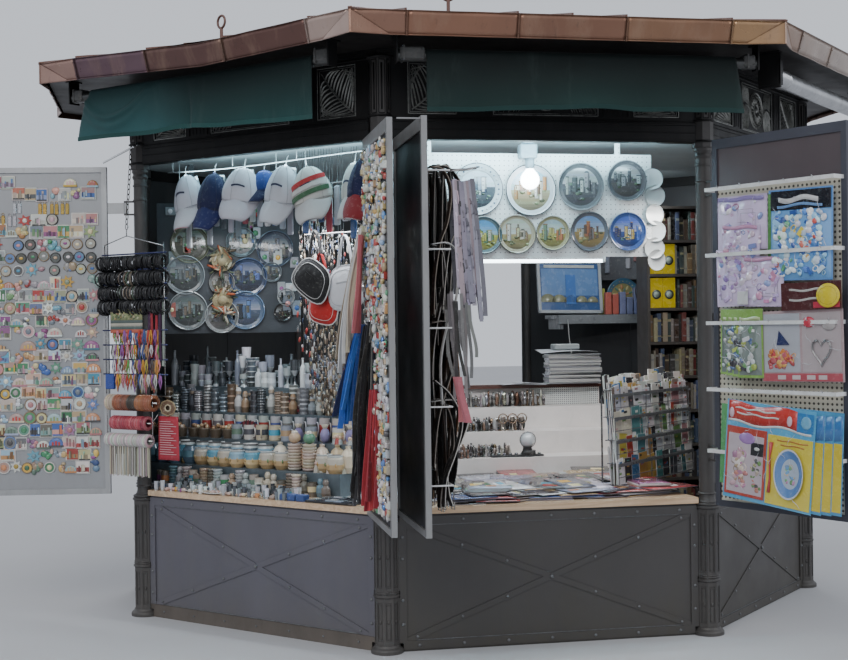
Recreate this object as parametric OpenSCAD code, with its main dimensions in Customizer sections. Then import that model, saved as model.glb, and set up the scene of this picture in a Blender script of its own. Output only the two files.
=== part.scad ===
// Eight-sided street kiosk: cast corner columns on panelled pedestals, sheet
// metal base walls, two display openings with side-hung display leaves, a
// framed frieze, a deep sheet-metal eave and a low pyramid roof.
// Millimetres, +Z up, origin on the ground under the middle of the plan.
// The front opening faces -Y and the left opening is turned 45 degrees.

/* [Plan] */
// Length of the four long faces, column centre to column centre
face_l = 1660; // [1600:10:1720]
// Length of the two side faces next to the front
side_l = 1450; // [1350:10:1550]
// Length of the two short end faces
end_l = 750; // [700:10:850]

/* [Heights] */
// Top of the counter boards
counter_z = 700; // [690:5:710]
// Underside of the lintel beams
lintel_z = 2500; // [2480:5:2520]
// Underside of the cornice, top of the frieze
frieze_top = 2905; // [2890:5:2920]
// Bottom edge of the eave fascia
eave_z = 2909; // [2900:1:2915]
// Height of the eave fascia
fascia_h = 103; // [95:1:110]
// Height of the roof's apex over the eave
roof_rise = 420; // [300:10:450]

/* [Columns] */
// Diameter of the column shafts
shaft_d = 78; // [76:1:88]
// Width of the octagonal pedestals across the flats
pedestal_w = 114; // [110:2:120]
// Diameter of the turned rings on the pedestals
ring_d = 131; // [126:1:134]
// Diameter of the flared foot
foot_d = 160; // [145:1:164]

/* [Eave and awnings] */
// Distance of the fascia's top edge from the column line
overhang = 514; // [480:2:540]
// How far the fascia's bottom edge leans in along each side
fascia_lean = 32; // [10:1:40]
// Sag of the left eave at its middle
left_sag = 38; // [0:1:45]
// Distance of the awning rollers from the column line
roller_out = 330; // [300:5:360]
// Diameter of the awning rollers
roller_d = 56; // [45:1:60]
// Diameter of the bare roller on the right side
side_roller_d = 90; // [70:5:100]
// Drop of the awning cloths below their rollers
cloth_drop = 262; // [220:1:270]

/* [Display leaves] */
// Width of the two middle leaves
inner_w = 748; // [700:1:750]
// Width of the two outer leaves
outer_w = 788; // [700:1:790]
// Bottom edge of the leaves
leaf_z0 = 677; // [675:1:690]
// Top edge of the leaves
leaf_z1 = 2494; // [2400:1:2494]
// Thickness of the leaf frames
leaf_t = 26; // [22:1:28]
// Opening of the outer left leaf
open_a = 143; // [90:1:145]
// Opening of the inner left leaf
open_b = 135; // [90:1:136]
// Opening of the inner right leaf
open_c = 90; // [60:1:90]
// Opening of the outer right leaf
open_d = 116; // [90:1:145]

/* [Hidden] */
$fn = 48;

// Faces are counted from the front one: 0 front, 1 right side, 2 right end,
// 3 rear right, 4 rear, 5 rear left side, 6 left end, 7 left.
face_ls = [face_l, side_l, end_l, face_l, face_l, side_l, end_l, face_l];
function cum(k) = k == 0 ? [0, 0]
  : cum(k - 1) + face_ls[k - 1] * [cos(45 * (k - 1)), sin(45 * (k - 1))];
ctr = cum(4) / 2;
function corner(k) = cum(k) - ctr;
function nrm(k) = [sin(45 * k), -cos(45 * k)];
// Corner k of the plan pushed outwards by d
function off(k, d) = corner(k) + d * (nrm(k - 1) + nrm(k)) / (1 + cos(45));
// Centre the children on face k: x runs along it, y points into the kiosk
module on_face(k) {
  translate([corner(k)[0], corner(k)[1], 0]) rotate([0, 0, 45 * k]) children();
}
module at_corner(k) { translate([corner(k)[0], corner(k)[1], 0]) children(); }
module plan(d) { polygon([for (k = [0:7]) off(k, d)]); }
module oct(w, h) {
  rotate([0, 0, 22.5]) cylinder(d = w / cos(22.5), h = h, $fn = 8);
}
module box(x0, x1, y0, y1, z0, z1) {
  translate([x0, y0, z0]) cube([x1 - x0, y1 - y0, z1 - z0]);
}

ped_r = pedestal_w / 2;
ring1_z = 270;
ring2_z = 640;
post_w = 100;
// Play left between neighbours that would only touch along an edge
gap = 0.1;
wall_t = 24;
kick_h = 70;
door_x1 = 880;
door_z = 2100;
// Hinge axes, along the face from the leaf's own column and outwards: the
// two middle leaves, the outer left leaf and the outer right leaf
hinge_m = [62, -50];
hinge_a = [-67, -48];
hinge_d = [-10, -99];
// Hinge edge and mid-plane of the closed leaves in the same terms
edge_m = [76, -50];
edge_o = [36, -56];
pin_r = 5;
roller_z = eave_z - 64;
cornice_z = frieze_top + 30;
pocket_z0 = 2620;
pocket_z1 = 2886;
// Frieze layout: margin, small panel, gap; what is left is the large panel
lay_face = [128, 252, 174];
lay_side = [95, 272, 126];

// Space kept free round a pedestal's rings and foot
module pedestal_space(k) {
  at_corner(k) {
    translate([0, 0, -1]) cylinder(d = foot_d + 1, h = 44);
    translate([0, 0, ring1_z - 3]) cylinder(d = ring_d + 1, h = 34);
    translate([0, 0, ring2_z - 3]) cylinder(d = ring_d + 1, h = 34);
  }
}

// Space kept free round a column above its pedestal
module column_space(k) {
  at_corner(k) rotate([0, 0, 45 * k - 112.5]) {
    translate([0, 0, counter_z - 1])
      cylinder(d = shaft_d + 0.6, h = 2415 - counter_z + 1);
    translate([0, 0, 2414]) cylinder(d = shaft_d + 13, h = 63);
  }
  at_corner(k) translate([0, 0, 2476]) oct(post_w + 0.2, 100);
}

module floor_deck() {
  color([0.35, 0.35, 0.35]) difference() {
    linear_extrude(40) plan(-wall_t / 2 - 0.2);
    for (k = [0:7]) at_corner(k) translate([0, 0, -1]) {
      oct(pedestal_w, 50);
      cylinder(d = foot_d + 1, h = 50);
    }
  }
}

module pedestal() {
  rotate_extrude() polygon([[0, 0], [foot_d / 2, 0], [foot_d / 2, 16],
    [foot_d / 2 - 4, 22], [ped_r + 8, 30], [ped_r + 4, 40], [0, 40]]);
  difference() {
    translate([0, 0, 40]) oct(pedestal_w, ring1_z - 40);
    for (i = [0:7]) rotate([0, 0, 45 * i])
      box(ped_r - 3, ped_r + 5, -14, 14, 62, ring1_z - 22);
  }
  difference() {
    translate([0, 0, ring1_z]) oct(pedestal_w, ring2_z - ring1_z);
    for (i = [0:7]) rotate([0, 0, 45 * i])
      box(ped_r - 3, ped_r + 5, -14, 14, ring1_z + 50, ring2_z - 22);
  }
  for (z = [ring1_z, ring2_z]) translate([0, 0, z]) {
    rotate_extrude() polygon([[0, 0], [ring_d / 2 - 5, 0], [ring_d / 2, 5],
      [ring_d / 2, 11], [ring_d / 2 - 5, 16], [ring_d / 2 - 8, 18],
      [ring_d / 2 - 5, 20], [ring_d / 2 - 3, 24], [ring_d / 2 - 6, 28],
      [0, 28]]);
  }
}
module column_pedestals() {
  color([0.24, 0.24, 0.24]) for (k = [0:7]) at_corner(k) pedestal();
}

module shaft() {
  r = shaft_d / 2;
  rotate_extrude() polygon([[0, ring2_z + 28], [r + 9, ring2_z + 28],
    [r + 9, ring2_z + 36], [r + 3, ring2_z + 46], [r, ring2_z + 60],
    [r - 2, 2420], [r + 2, 2426], [r + 5, 2434], [r + 2, 2442],
    [r - 1, 2448], [r + 6, 2462], [r + 6, lintel_z - 24], [0, lintel_z - 24]]);
  translate([0, 0, lintel_z - 24]) oct(post_w, frieze_top - lintel_z + 24);
}
module column_shafts() {
  color([0.2, 0.2, 0.2]) for (k = [0:7]) at_corner(k) shaft();
}

module base_wall(k, x0, x1) {
  open = (k == 0 || k == 7);
  difference() {
    on_face(k) box(x0, x1, -wall_t / 2, wall_t / 2, 0,
      open ? counter_z - 30 : counter_z);
    pedestal_space(k);
    pedestal_space((k + 1) % 8);
  }
}
module base_panels() {
  color([0.34, 0.36, 0.38]) for (k = [0:7])
    base_wall(k, k == 4 ? door_x1 + 40 : ped_r, face_ls[k] - ped_r);
}

// Flat bars framing the base panel of face k
module rail_frame(k) {
  l = face_ls[k];
  zb = k == 7 ? kick_h + 1 : 10;
  x0 = k == 4 ? door_x1 + 40 : ped_r;
  difference() {
    on_face(k) {
      box(x0, l - ped_r, -20, -wall_t / 2, 618, 660);
      if (k != 7) box(x0, l - ped_r, -20, -wall_t / 2, zb, zb + 42);
      box(x0, x0 + 40, -20, -wall_t / 2, zb, 660);
      box(l - ped_r - 40, l - ped_r, -20, -wall_t / 2, zb, 660);
    }
    pedestal_space(k);
    pedestal_space((k + 1) % 8);
  }
}
module base_rails() {
  color([0.3, 0.31, 0.33]) for (k = [0:7]) rail_frame(k);
}

// Two flat bars from corner to corner inside the rails
module x_brace(x0, x1, z0, z1) {
  w = x1 - x0;
  h = z1 - z0;
  a = atan2(h, w);
  d = sqrt(w * w + h * h);
  intersection() {
    box(x0, x1, -17, -wall_t / 2, z0, z1);
    union() for (s = [-1, 1])
      translate([(x0 + x1) / 2, -wall_t / 2 - 2.5, (z0 + z1) / 2])
        rotate([0, s * a, 0]) cube([d + 40, 5, 30], center = true);
  }
}
module cross_braces() {
  color([0.3, 0.31, 0.33]) for (k = [0:7]) {
    x0 = k == 4 ? door_x1 + 40 : ped_r;
    on_face(k) x_brace(x0 + 40, face_ls[k] - ped_r - 40,
      k == 7 ? kick_h + 1 : 52, 618);
  }
}

module kick_plate() {
  color([0.3, 0.26, 0.23]) difference() {
    on_face(7) box(ped_r, face_l - ped_r, -19, -wall_t / 2, 0, kick_h);
    pedestal_space(7);
    pedestal_space(0);
  }
}

module counter_board(k) {
  difference() {
    on_face(k) linear_extrude(30)
      polygon([[ped_r, -30], [face_l - ped_r, -30],
        [face_l - ped_r, 40], [face_l - ped_r - 30, 200],
        [ped_r + 30, 200], [ped_r, 40]]);
  }
}
module counter_boards() {
  color([0.75, 0.6, 0.42]) translate([0, 0, counter_z - 30]) {
    counter_board(0);
    counter_board(7);
  }
}

// Point of the left face's local frame, and of the front face's, on the plan
function lf(x, y) = corner(7) + x * [cos(-45), sin(-45)] + y * [-sin(-45), cos(-45)];
function ff(x, y) = corner(0) + [x, y];
deck_edge = [lf(-160, 200.2), off(0, -200.2), ff(1540, 200.2), ff(1620, 260),
  ff(1620, 1640), ff(400, 1640), ff(400, 1000), lf(1230, 860), lf(-480, 860),
  lf(-480, 600), lf(-460, 510)];
module display_deck() {
  color([0.85, 0.85, 0.83]) {
    translate([0, 0, counter_z - 30]) linear_extrude(30) polygon(deck_edge);
    for (p = [ff(1580, 300), ff(1580, 1600), ff(440, 1600), ff(440, 1040),
        lf(1190, 820), lf(360, 820), lf(-420, 800), lf(-100, 260),
        lf(500, 260)])
      translate([p[0] - 20, p[1] - 20, 40]) cube([40, 40, counter_z - 70]);
  }
}

module lintel_beams() {
  color([0.07, 0.07, 0.075]) for (k = [0:7]) on_face(k)
    box(post_w / 2 + gap, face_ls[k] - post_w / 2 - gap, -30, 30,
      lintel_z, 2600);
}

function panels(l) =
  l < 1000 ? [[110, l - 110]]
  : let (m = l > 1550 ? lay_face : lay_side)
    [[m[0], m[0] + m[1]], [m[0] + m[1] + m[2], l - m[0] - m[1] - m[2]],
     [l - m[0] - m[1], l - m[0]]];
module frieze_boards() {
  color([0.07, 0.07, 0.075]) for (k = [0:7]) on_face(k) difference() {
    box(post_w / 2 + gap, face_ls[k] - post_w / 2 - gap, -22, 22, 2600 + gap,
      frieze_top - gap);
    for (p = panels(face_ls[k])) box(p[0], p[1], -30, -8, pocket_z0, pocket_z1);
  }
}
module frieze_grilles() {
  color([0.25, 0.25, 0.24]) for (k = [0:7]) on_face(k)
    for (p = panels(face_ls[k])) difference() {
      box(p[0] + 1, p[1] - 1, -20, -8, pocket_z0 + 1, pocket_z1 - 1);
      box(p[0] + 12, p[1] - 12, -25, -12, pocket_z0 + 12, pocket_z1 - 12);
    }
}

module cornice() {
  color([0.09, 0.09, 0.09]) {
    translate([0, 0, frieze_top]) linear_extrude(12) difference() {
      plan(34);
      plan(-22);
    }
    translate([0, 0, frieze_top + 12]) linear_extrude(18) difference() {
      plan(46);
      plan(-22);
    }
  }
}

module soffit() {
  color([0.22, 0.17, 0.16]) translate([0, 0, cornice_z]) linear_extrude(5)
    difference() {
      plan(overhang - fascia_lean - 6);
      plan(-22);
    }
}

// One sheet of the fascia. p runs round its outer face, a folded sheet's
// outer corner last, as its faces fan out from there; i leads to its inner face
module sheet_piece(p, i) {
  n = len(p);
  polyhedron(points = concat(p, [for (q = p) q + i]),
    faces = concat([for (j = [0:n - 3]) [n - 1, j + 1, j]],
      [for (j = [0:n - 3]) [2 * n - 1, n + j, n + j + 1]],
      [for (j = [0:n - 1]) [j, (j + 1) % n, (j + 1) % n + n, j + n]]));
}
// Seams along face k's eave: two short end sheets and three long ones
function seams(l) = let (e = 262, m = (l - 2 * e) / 3)
  [0, e, e + m, e + 2 * m, l - e, l];
// Where each end sheet folds out to the corner, along its bottom edge
fold_l = 186;
// Point s along face k's eave, t up from its bottom edge, leaning in by m
function eave_at(k, s, t, m) = let (a = off(k, overhang),
  d = off((k + 1) % 8, overhang) - a, q = a + d * s / norm(d) - nrm(k) * m)
  [q[0], q[1], eave_z + t - (k == 7 ? sag(s / norm(d)) : 0)];
module eave_side(k) {
  l = norm(off((k + 1) % 8, overhang) - off(k, overhang));
  s = seams(l);
  g = 0.4;
  h = fascia_h - 0.3;
  step = [-4 * nrm(k)[0], -4 * nrm(k)[1], 0];
  lean = fascia_lean;
  for (i = [0:4]) {
    s0 = s[i] + (i == 0 ? 6 : g);
    s1 = s[i + 1] - (i == 4 ? 6 : g);
    if (i == 0)
      sheet_piece([eave_at(k, s0, 0, 0), eave_at(k, fold_l, 0, lean),
        eave_at(k, s1, 0, lean), eave_at(k, s1, h, 0),
        eave_at(k, s0, h, 0)], step);
    else if (i == 4)
      sheet_piece([eave_at(k, s0, h, 0), eave_at(k, s0, 0, lean),
        eave_at(k, l - fold_l, 0, lean), eave_at(k, s1, 0, 0),
        eave_at(k, s1, h, 0)], step);
    else
      sheet_piece([eave_at(k, s0, 0, lean), eave_at(k, s1, 0, lean),
        eave_at(k, s1, h, 0), eave_at(k, s0, h, 0)], step);
  }
}
module eave_fascia() {
  color([0.42, 0.29, 0.25]) for (k = [0:7]) eave_side(k);
}

roof_z = eave_z + fascia_h;
function sag(t) = left_sag * max(0, 1 - abs(t - 0.55) / 0.45);
// The rim sags with the left eave, in straight runs from seam to seam
module roof_cone(d, z0, z1) {
  a = off(7, d);
  b = off(0, d);
  l = norm(b - a);
  s = seams(l);
  rim = concat([for (k = [0:7]) [off(k, d)[0], off(k, d)[1], z0]],
    [for (i = [1:4]) let (p = a + (b - a) * s[i] / l)
      [p[0], p[1], z0 - sag(s[i] / l)]]);
  n = len(rim);
  polyhedron(points = concat(rim, [[0, 0, z1], [0, 0, z0]]),
    faces = concat([for (k = [0:n - 1]) [(k + 1) % n, k, n]],
      [for (k = [0:n - 1]) [k, (k + 1) % n, n + 1]]));
}
module roof_shell() {
  color([0.36, 0.25, 0.22]) difference() {
    roof_cone(overhang + 6, roof_z, roof_z + roof_rise);
    roof_cone(overhang + 6, roof_z - 14, roof_z + roof_rise - 14);
  }
}

// A forged eye on a foot plate, on the roof over the wall line of face k
module lifting_eye(k, x) {
  dist = -corner(k) * nrm(k) < 0 ? corner(k) * nrm(k) : -corner(k) * nrm(k);
  run = dist + overhang + 6;
  tilt = atan(roof_rise / run);
  zs = roof_z + roof_rise * (overhang + 6) / run;
  on_face(k) translate([x, 0, zs]) {
    rotate([tilt, 0, 0]) translate([-40, -40, 0.3]) cube([80, 80, 8]);
    translate([0, 0, 6]) cylinder(r = 9, h = 58.5);
    translate([0, 0, 98]) rotate([90, 0, -12])
      rotate_extrude() translate([32.5, 0]) circle(r = 6.5);
  }
}
module lifting_eyes() {
  color([0.3, 0.22, 0.2]) {
    lifting_eye(7, 625);
    lifting_eye(0, 345);
    lifting_eye(3, 625);
    lifting_eye(4, 345);
  }
}

// Rollers: face, ends along it, diameter, drop below the usual height
rollers = [[0, 30, 1800, roller_d, 0], [1, 70, 1560, side_roller_d, 25],
  [7, -150, 1622, roller_d, 0]];
module awning_rollers() {
  color([0.72, 0.73, 0.74]) for (r = rollers) on_face(r[0])
    translate([r[1], -roller_out, roller_z - r[4]]) rotate([0, 90, 0])
      cylinder(d = r[3], h = r[2] - r[1]);
}
module awning_brackets() {
  color([0.1, 0.1, 0.1]) for (r = rollers) on_face(r[0])
    for (x = [r[1] - 8, r[2]]) {
      w = r[3] / 2 + 6;
      box(x, x + 8, -roller_out - w, -roller_out + w, roller_z - r[4] - w,
        cornice_z);
      box(x - 16, x + 24, -roller_out - w - 6, -roller_out + w + 6,
        cornice_z - 6, cornice_z);
    }
}
module front_awning_cloth() {
  color([0.1, 0.24, 0.22]) on_face(0) box(165, 1740,
    -roller_out - roller_d / 2 - 14, -roller_out - roller_d / 2 - 2,
    roller_z - cloth_drop, roller_z + 4);
}
module left_awning_cloth() {
  color([0.1, 0.24, 0.22]) on_face(7) box(-60, 1505,
    -roller_out - roller_d / 2 - 14, -roller_out - roller_d / 2 - 2,
    roller_z - cloth_drop, roller_z + 4);
}

// Closed shutter boards over the base of the faces that aren't open
module shutter_boards(k) {
  l = face_ls[k];
  difference() {
    on_face(k) {
      if (l < 1000) box(30, l - 30, -10, 10, counter_z, lintel_z);
      else if (k != 4) {
        box(30, l / 2 - 2, -10, 10, counter_z, lintel_z);
        box(l / 2 + 2, l - 30, -10, 10, counter_z, lintel_z);
      } else {
        box(door_x1 + 40, l - 30, -10, 10, counter_z, lintel_z);
        box(30, door_x1 + 38, -10, 10, door_z + 40, lintel_z);
      }
    }
    column_space(k);
    column_space((k + 1) % 8);
  }
}
module shutter_panels() {
  color([0.2, 0.2, 0.21]) for (k = [1:6]) shutter_boards(k);
}
// Frame of the rear doorway, which runs up to the column beside it
module rear_door_frame() {
  color([0.16, 0.16, 0.17]) difference() {
    on_face(4) {
      box(door_x1, door_x1 + 40 - gap, -20, 12, 0, door_z + 40);
      box(30, door_x1, -20, 12, door_z, door_z + 40);
    }
    column_space(4);
  }
}
// The rear door stands open, square to its wall
module rear_door_leaf() {
  color([0.2, 0.2, 0.21]) on_face(4)
    box(door_x1 - 36, door_x1, -20 - 826, -24, 50, door_z - 6);
}

module ceiling_panel() {
  color([0.9, 0.92, 0.93]) translate([0, 0, 2560]) linear_extrude(12)
    difference() {
      plan(-30);
      for (k = [0:7]) translate(corner(k)) rotate(22.5)
        circle(d = (post_w + 1) / cos(22.5), $fn = 8);
    }
}

module hanging_pegboard() {
  color([0.93, 0.94, 0.94]) on_face(0) {
    box(100, 1530, 400, 412, 1945, 2490);
    for (x = [300, 1330]) box(x, x + 30, 412, 418, 2300, 2560);
  }
}
module stepped_display() {
  color([0.88, 0.87, 0.84]) on_face(0) {
    translate([450, 0, counter_z]) rotate([90, 0, 90]) linear_extrude(1150)
      polygon([[956, 0], [956, 130], [1156, 130], [1156, 260], [1356, 260],
        [1356, 390], [1560, 390], [1560, 495], [1590, 495], [1590, 0]]);
    box(740, 1600, 1530, 1640, counter_z + 497, counter_z + 519);
  }
}
// Four display tiers rising away from the left opening, each one as long as
// the room behind the left column allows
module tiered_shelves() {
  color([0.86, 0.88, 0.9]) on_face(7) for (i = [0:3]) {
    y = 220 + 140 * i;
    box(max(50 - y, -480), 1210, y, 820, counter_z, counter_z + 120 + 140 * i);
  }
}
module backing_board() {
  color([0.5, 0.53, 0.56]) on_face(0) {
    box(-1090, -250, 1600, 1612, 1560, 2330);
    for (x = [-900, -420]) box(x, x + 30, 1612, 1618, 2200, 2560);
  }
}
module bookcase() {
  color([0.3, 0.28, 0.27]) on_face(0) difference() {
    box(1940, 2340, 1600, 1800, 40, 2325);
    for (i = [0:9]) box(1958, 2322, 1590, 1788, 175 + i * 215, 372 + i * 215);
  }
}
module strip_light() {
  color([0.97, 0.98, 1]) on_face(0) {
    box(560, 1270, 398, 424, 1931, 1945);
    translate([575, 410, 1924]) rotate([0, 90, 0]) cylinder(r = 8, h = 680);
  }
}
module bulb_lamp() {
  color([1, 1, 0.97]) on_face(0) translate([850, 330, 0]) {
    translate([0, 0, 2548]) cylinder(r = 55, h = 12);
    translate([0, 0, 2390]) cylinder(r = 18, h = 158);
    translate([0, 0, 2350]) sphere(r = 48);
  }
}

// Display leaves. Local frame of a leaf that is hinged at its left edge:
// the axis at the origin, the leaf along +x, its street side at -y.
module place_leaf(k, right, h, angle) {
  on_face(k) translate([right ? face_l - h[0] : h[0], h[1], 0])
    rotate([0, 0, right ? angle : -angle]) mirror([right ? 1 : 0, 0, 0])
      children();
}
leaf_hz = [leaf_z0 + 220, leaf_z1 - 260];
// Frame w wide whose hinge edge lies at e from the axis, with a strap arm and
// a knuckle at each hinge pin
module leaf_frame(rail, w, e) {
  t = leaf_t / 2;
  translate([e[0], e[1], 0]) difference() {
    box(0, w, -t, t, leaf_z0, leaf_z1);
    box(30, w - 30, -t - 1, t + 1, leaf_z0 + 30, leaf_z1 - rail);
  }
  u = e / norm(e);
  n = 4 * [-u[1], u[0]];
  q = e + 6 * u;
  a = atan2(e[1], e[0]);
  for (z = leaf_hz) translate([0, 0, z]) linear_extrude(60) difference() {
    union() {
      rotate(a + 180) circle(r = 10);
      polygon([n, -n, q - n, q + n]);
    }
    rotate(a + 180) circle(r = pin_r + 0.05);
  }
}
module leaf_board(rail, w, e) {
  translate([e[0], e[1], 0])
    box(30, w - 30, -5, 5, leaf_z0 + 30, leaf_z1 - rail);
}
// Wire racks: a U of round bar at each height, on the leaf's inner side
module u_rack(z, x0, x1, reach) {
  r = 4;
  for (x = [x0, x1]) translate([x, 5, z]) rotate([-90, 0, 0])
    cylinder(r = r, h = reach - 5);
  translate([x0 - r, reach, z]) rotate([0, 90, 0])
    cylinder(r = r, h = x1 - x0 + 2 * r);
}
// A flat strip held off the leaf's inner side by two flat arms
module strip_rack(z, x0, x1, reach) {
  for (x = [x0, x1 - 3]) box(x, x + 3, leaf_t / 2, reach, z - 9, z + 9);
  box(x0, x1, reach, reach + 3, z - 9, z + 9);
}
off_m = edge_m - hinge_m;
off_a = edge_o - hinge_a;
off_d = edge_o - hinge_d;
module outer_left_leaf_frame() {
  color([0.62, 0.63, 0.65]) place_leaf(7, false, hinge_a, open_a)
    leaf_frame(30, outer_w, off_a);
}
module outer_left_leaf_board() {
  color([0.5, 0.51, 0.53]) place_leaf(7, false, hinge_a, open_a)
    leaf_board(30, outer_w, off_a);
}
module inner_left_leaf_frame() {
  color([0.5, 0.5, 0.5]) place_leaf(7, true, hinge_m, open_b)
    leaf_frame(60, inner_w, off_m);
}
module inner_left_leaf_board() {
  color([0.3, 0.3, 0.3]) place_leaf(7, true, hinge_m, open_b)
    leaf_board(60, inner_w, off_m);
}
module inner_right_leaf_frame() {
  color([0.5, 0.48, 0.45]) place_leaf(0, false, hinge_m, open_c) {
    leaf_frame(60, inner_w, off_m);
    // rod that spaces the two middle leaves apart at the top
    translate([off_m[0] + inner_w - 15, -leaf_t / 2 - 104, leaf_z1 - 12])
      rotate([-90, 0, 0]) cylinder(r = 4, h = 104.5);
  }
}
module inner_right_leaf_board() {
  color([0.15, 0.15, 0.16]) place_leaf(0, false, hinge_m, open_c)
    leaf_board(60, inner_w, off_m);
}
module inner_right_leaf_racks() {
  color([0.9, 0.9, 0.88]) place_leaf(0, false, hinge_m, open_c)
    translate([off_m[0], off_m[1], 0])
      for (i = [0:4]) u_rack(888 + i * 346, 96, inner_w - 110, 130);
}
module outer_right_leaf_frame() {
  color([0.45, 0.48, 0.54]) place_leaf(0, true, hinge_d, open_d)
    leaf_frame(48, outer_w, off_d);
}
module outer_right_leaf_head_board() {
  color([0.24, 0.21, 0.22]) place_leaf(0, true, hinge_d, open_d)
    translate([off_d[0], off_d[1], 0])
      box(30, outer_w - 30, -5, 5, 2250, leaf_z1 - 48);
}
module outer_right_leaf_pegboard() {
  color([0.8, 0.77, 0.68]) place_leaf(0, true, hinge_d, open_d)
    translate([off_d[0], off_d[1], 0])
      box(30, outer_w - 30, -5, 5, leaf_z0 + 30, 2249);
}
module outer_right_leaf_racks() {
  color([0.9, 0.9, 0.9]) place_leaf(0, true, hinge_d, open_d)
    translate([off_d[0], off_d[1], 0])
      for (z = [955, 1258, 1584, 1917, 2240])
        strip_rack(z, 14, outer_w - 14, 84);
}

// Lugs on a column that hold a leaf's hinge pins: built along +x from the
// column's axis to the pin
module hinge_bracket(k, right, h) {
  s = right ? -1 : 1;
  d = norm(h);
  on_face(k) translate([right ? face_l : 0, 0, 0])
    rotate([0, 0, atan2(h[1], s * h[0])]) for (z = leaf_hz) {
      difference() {
        union() for (zz = [z - 10, z + 61]) {
          translate([d, 0, zz]) cylinder(r = 10, h = 9);
          box(shaft_d / 2 - 2, d, -7, 7, zz, zz + 9);
        }
        translate([0, 0, z - 30]) rotate([0, 0, 180])
          cylinder(d = shaft_d + 0.2, h = 140);
      }
      translate([d, 0, z - 9.5]) cylinder(r = pin_r, h = 79);
    }
}
module hinge_brackets() {
  color([0.3, 0.3, 0.3]) {
    hinge_bracket(7, false, hinge_a);
    hinge_bracket(7, true, hinge_m);
    hinge_bracket(0, false, hinge_m);
    hinge_bracket(0, true, hinge_d);
  }
}

// Cylinder from point a to point b
module rod(a, b, r) {
  d = b - a;
  translate(a) rotate([0, acos(d[2] / norm(d)), atan2(d[1], d[0])])
    cylinder(r = r, h = norm(d));
}
// Hooked stay from the left column's head to just over the outer left leaf
module stay_rod() {
  a = [-31, -97, 2592];
  color([0.85, 0.85, 0.86]) at_corner(7) {
    rod(a, [-199, -15, 2512], 5);
    translate(a) sphere(r = 7);
    rod(a, [-14, -53, 2612], 4);
    translate([-14, -50.05, 2612]) rotate([90, 0, 0]) cylinder(r = 9, h = 6);
  }
}

floor_deck();
column_pedestals();
column_shafts();
base_panels();
base_rails();
cross_braces();
kick_plate();
counter_boards();
display_deck();
lintel_beams();
frieze_boards();
frieze_grilles();
cornice();
soffit();
eave_fascia();
roof_shell();
lifting_eyes();
awning_rollers();
awning_brackets();
front_awning_cloth();
left_awning_cloth();
shutter_panels();
rear_door_frame();
rear_door_leaf();
ceiling_panel();
hanging_pegboard();
stepped_display();
tiered_shelves();
backing_board();
bookcase();
strip_light();
bulb_lamp();
hinge_brackets();
stay_rod();
outer_left_leaf_frame();
outer_left_leaf_board();
inner_left_leaf_frame();
inner_left_leaf_board();
inner_right_leaf_frame();
inner_right_leaf_board();
inner_right_leaf_racks();
outer_right_leaf_frame();
outer_right_leaf_head_board();
outer_right_leaf_pegboard();
outer_right_leaf_racks();
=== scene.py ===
import bpy, math, random
from mathutils import Vector, Matrix


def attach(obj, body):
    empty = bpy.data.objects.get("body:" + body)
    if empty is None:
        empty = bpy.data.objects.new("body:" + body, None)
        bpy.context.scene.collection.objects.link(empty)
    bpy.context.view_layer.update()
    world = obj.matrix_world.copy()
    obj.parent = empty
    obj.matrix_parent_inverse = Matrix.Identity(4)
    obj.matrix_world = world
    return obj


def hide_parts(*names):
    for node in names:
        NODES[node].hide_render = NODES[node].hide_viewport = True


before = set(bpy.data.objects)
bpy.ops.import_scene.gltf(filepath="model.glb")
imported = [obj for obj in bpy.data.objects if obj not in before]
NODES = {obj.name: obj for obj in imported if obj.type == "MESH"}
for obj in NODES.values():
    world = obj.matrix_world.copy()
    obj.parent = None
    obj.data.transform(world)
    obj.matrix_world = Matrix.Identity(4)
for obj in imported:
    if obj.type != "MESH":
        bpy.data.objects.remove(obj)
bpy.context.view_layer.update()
rnd = random.Random(20)

# ---------------------------------------------------------------- plan frame
FL = [1.66, 1.45, .75, 1.66, 1.66, 1.45, .75, 1.66]
_p = [(0., 0.)]
for _k in range(7):
    _a = math.radians(45 * _k)
    _p.append((_p[-1][0] + FL[_k] * math.cos(_a), _p[-1][1] + FL[_k] * math.sin(_a)))
CORNER = [(q[0] - _p[4][0] / 2, q[1] - _p[4][1] / 2) for q in _p]
HINGE_M, HINGE_A, HINGE_D = (.062, -.050), (-.067, -.048), (-.010, -.099)
OFF_M, OFF_A, OFF_D = (.014, 0.), (.103, -.008), (.046, .043)
LZ0, LZ1 = .677, 2.494
OUTER_W, INNER_W = .788, .748
EAVE_Z, FASCIA_H, OVERHANG, LEAN, SAG = 2.909, .103, .514, .032, .038
ROLLER_Z, ROLLER_OUT, ROLLER_R = EAVE_Z - .064, .330, .028
COUNTER_Z = .700


def FM(k):
    """Matrix of face k's own frame: x along it, y into the kiosk, z up."""
    return Matrix.Translation((CORNER[k][0], CORNER[k][1], 0)) @ \
        Matrix.Rotation(math.radians(45 * k), 4, 'Z')


def LM(k, right, h, e, angle):
    """Matrix of a leaf's own frame: x from its hinge edge, y=0 its mid-plane,
    +y its inner side when closed."""
    m = FM(k) @ Matrix.Translation(((FL[k] - h[0]) if right else h[0], h[1], 0))
    m = m @ Matrix.Rotation(math.radians(angle if right else -angle), 4, 'Z')
    if right:
        m = m @ Matrix.Diagonal((-1, 1, 1, 1))
    return m @ Matrix.Translation((e[0], e[1], 0))


LEAF_A = LM(7, False, HINGE_A, OFF_A, 143)
LEAF_B = LM(7, True, HINGE_M, OFF_M, 135)
LEAF_C = LM(0, False, HINGE_M, OFF_M, 90)
LEAF_D = LM(0, True, HINGE_D, OFF_D, 116)


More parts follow.
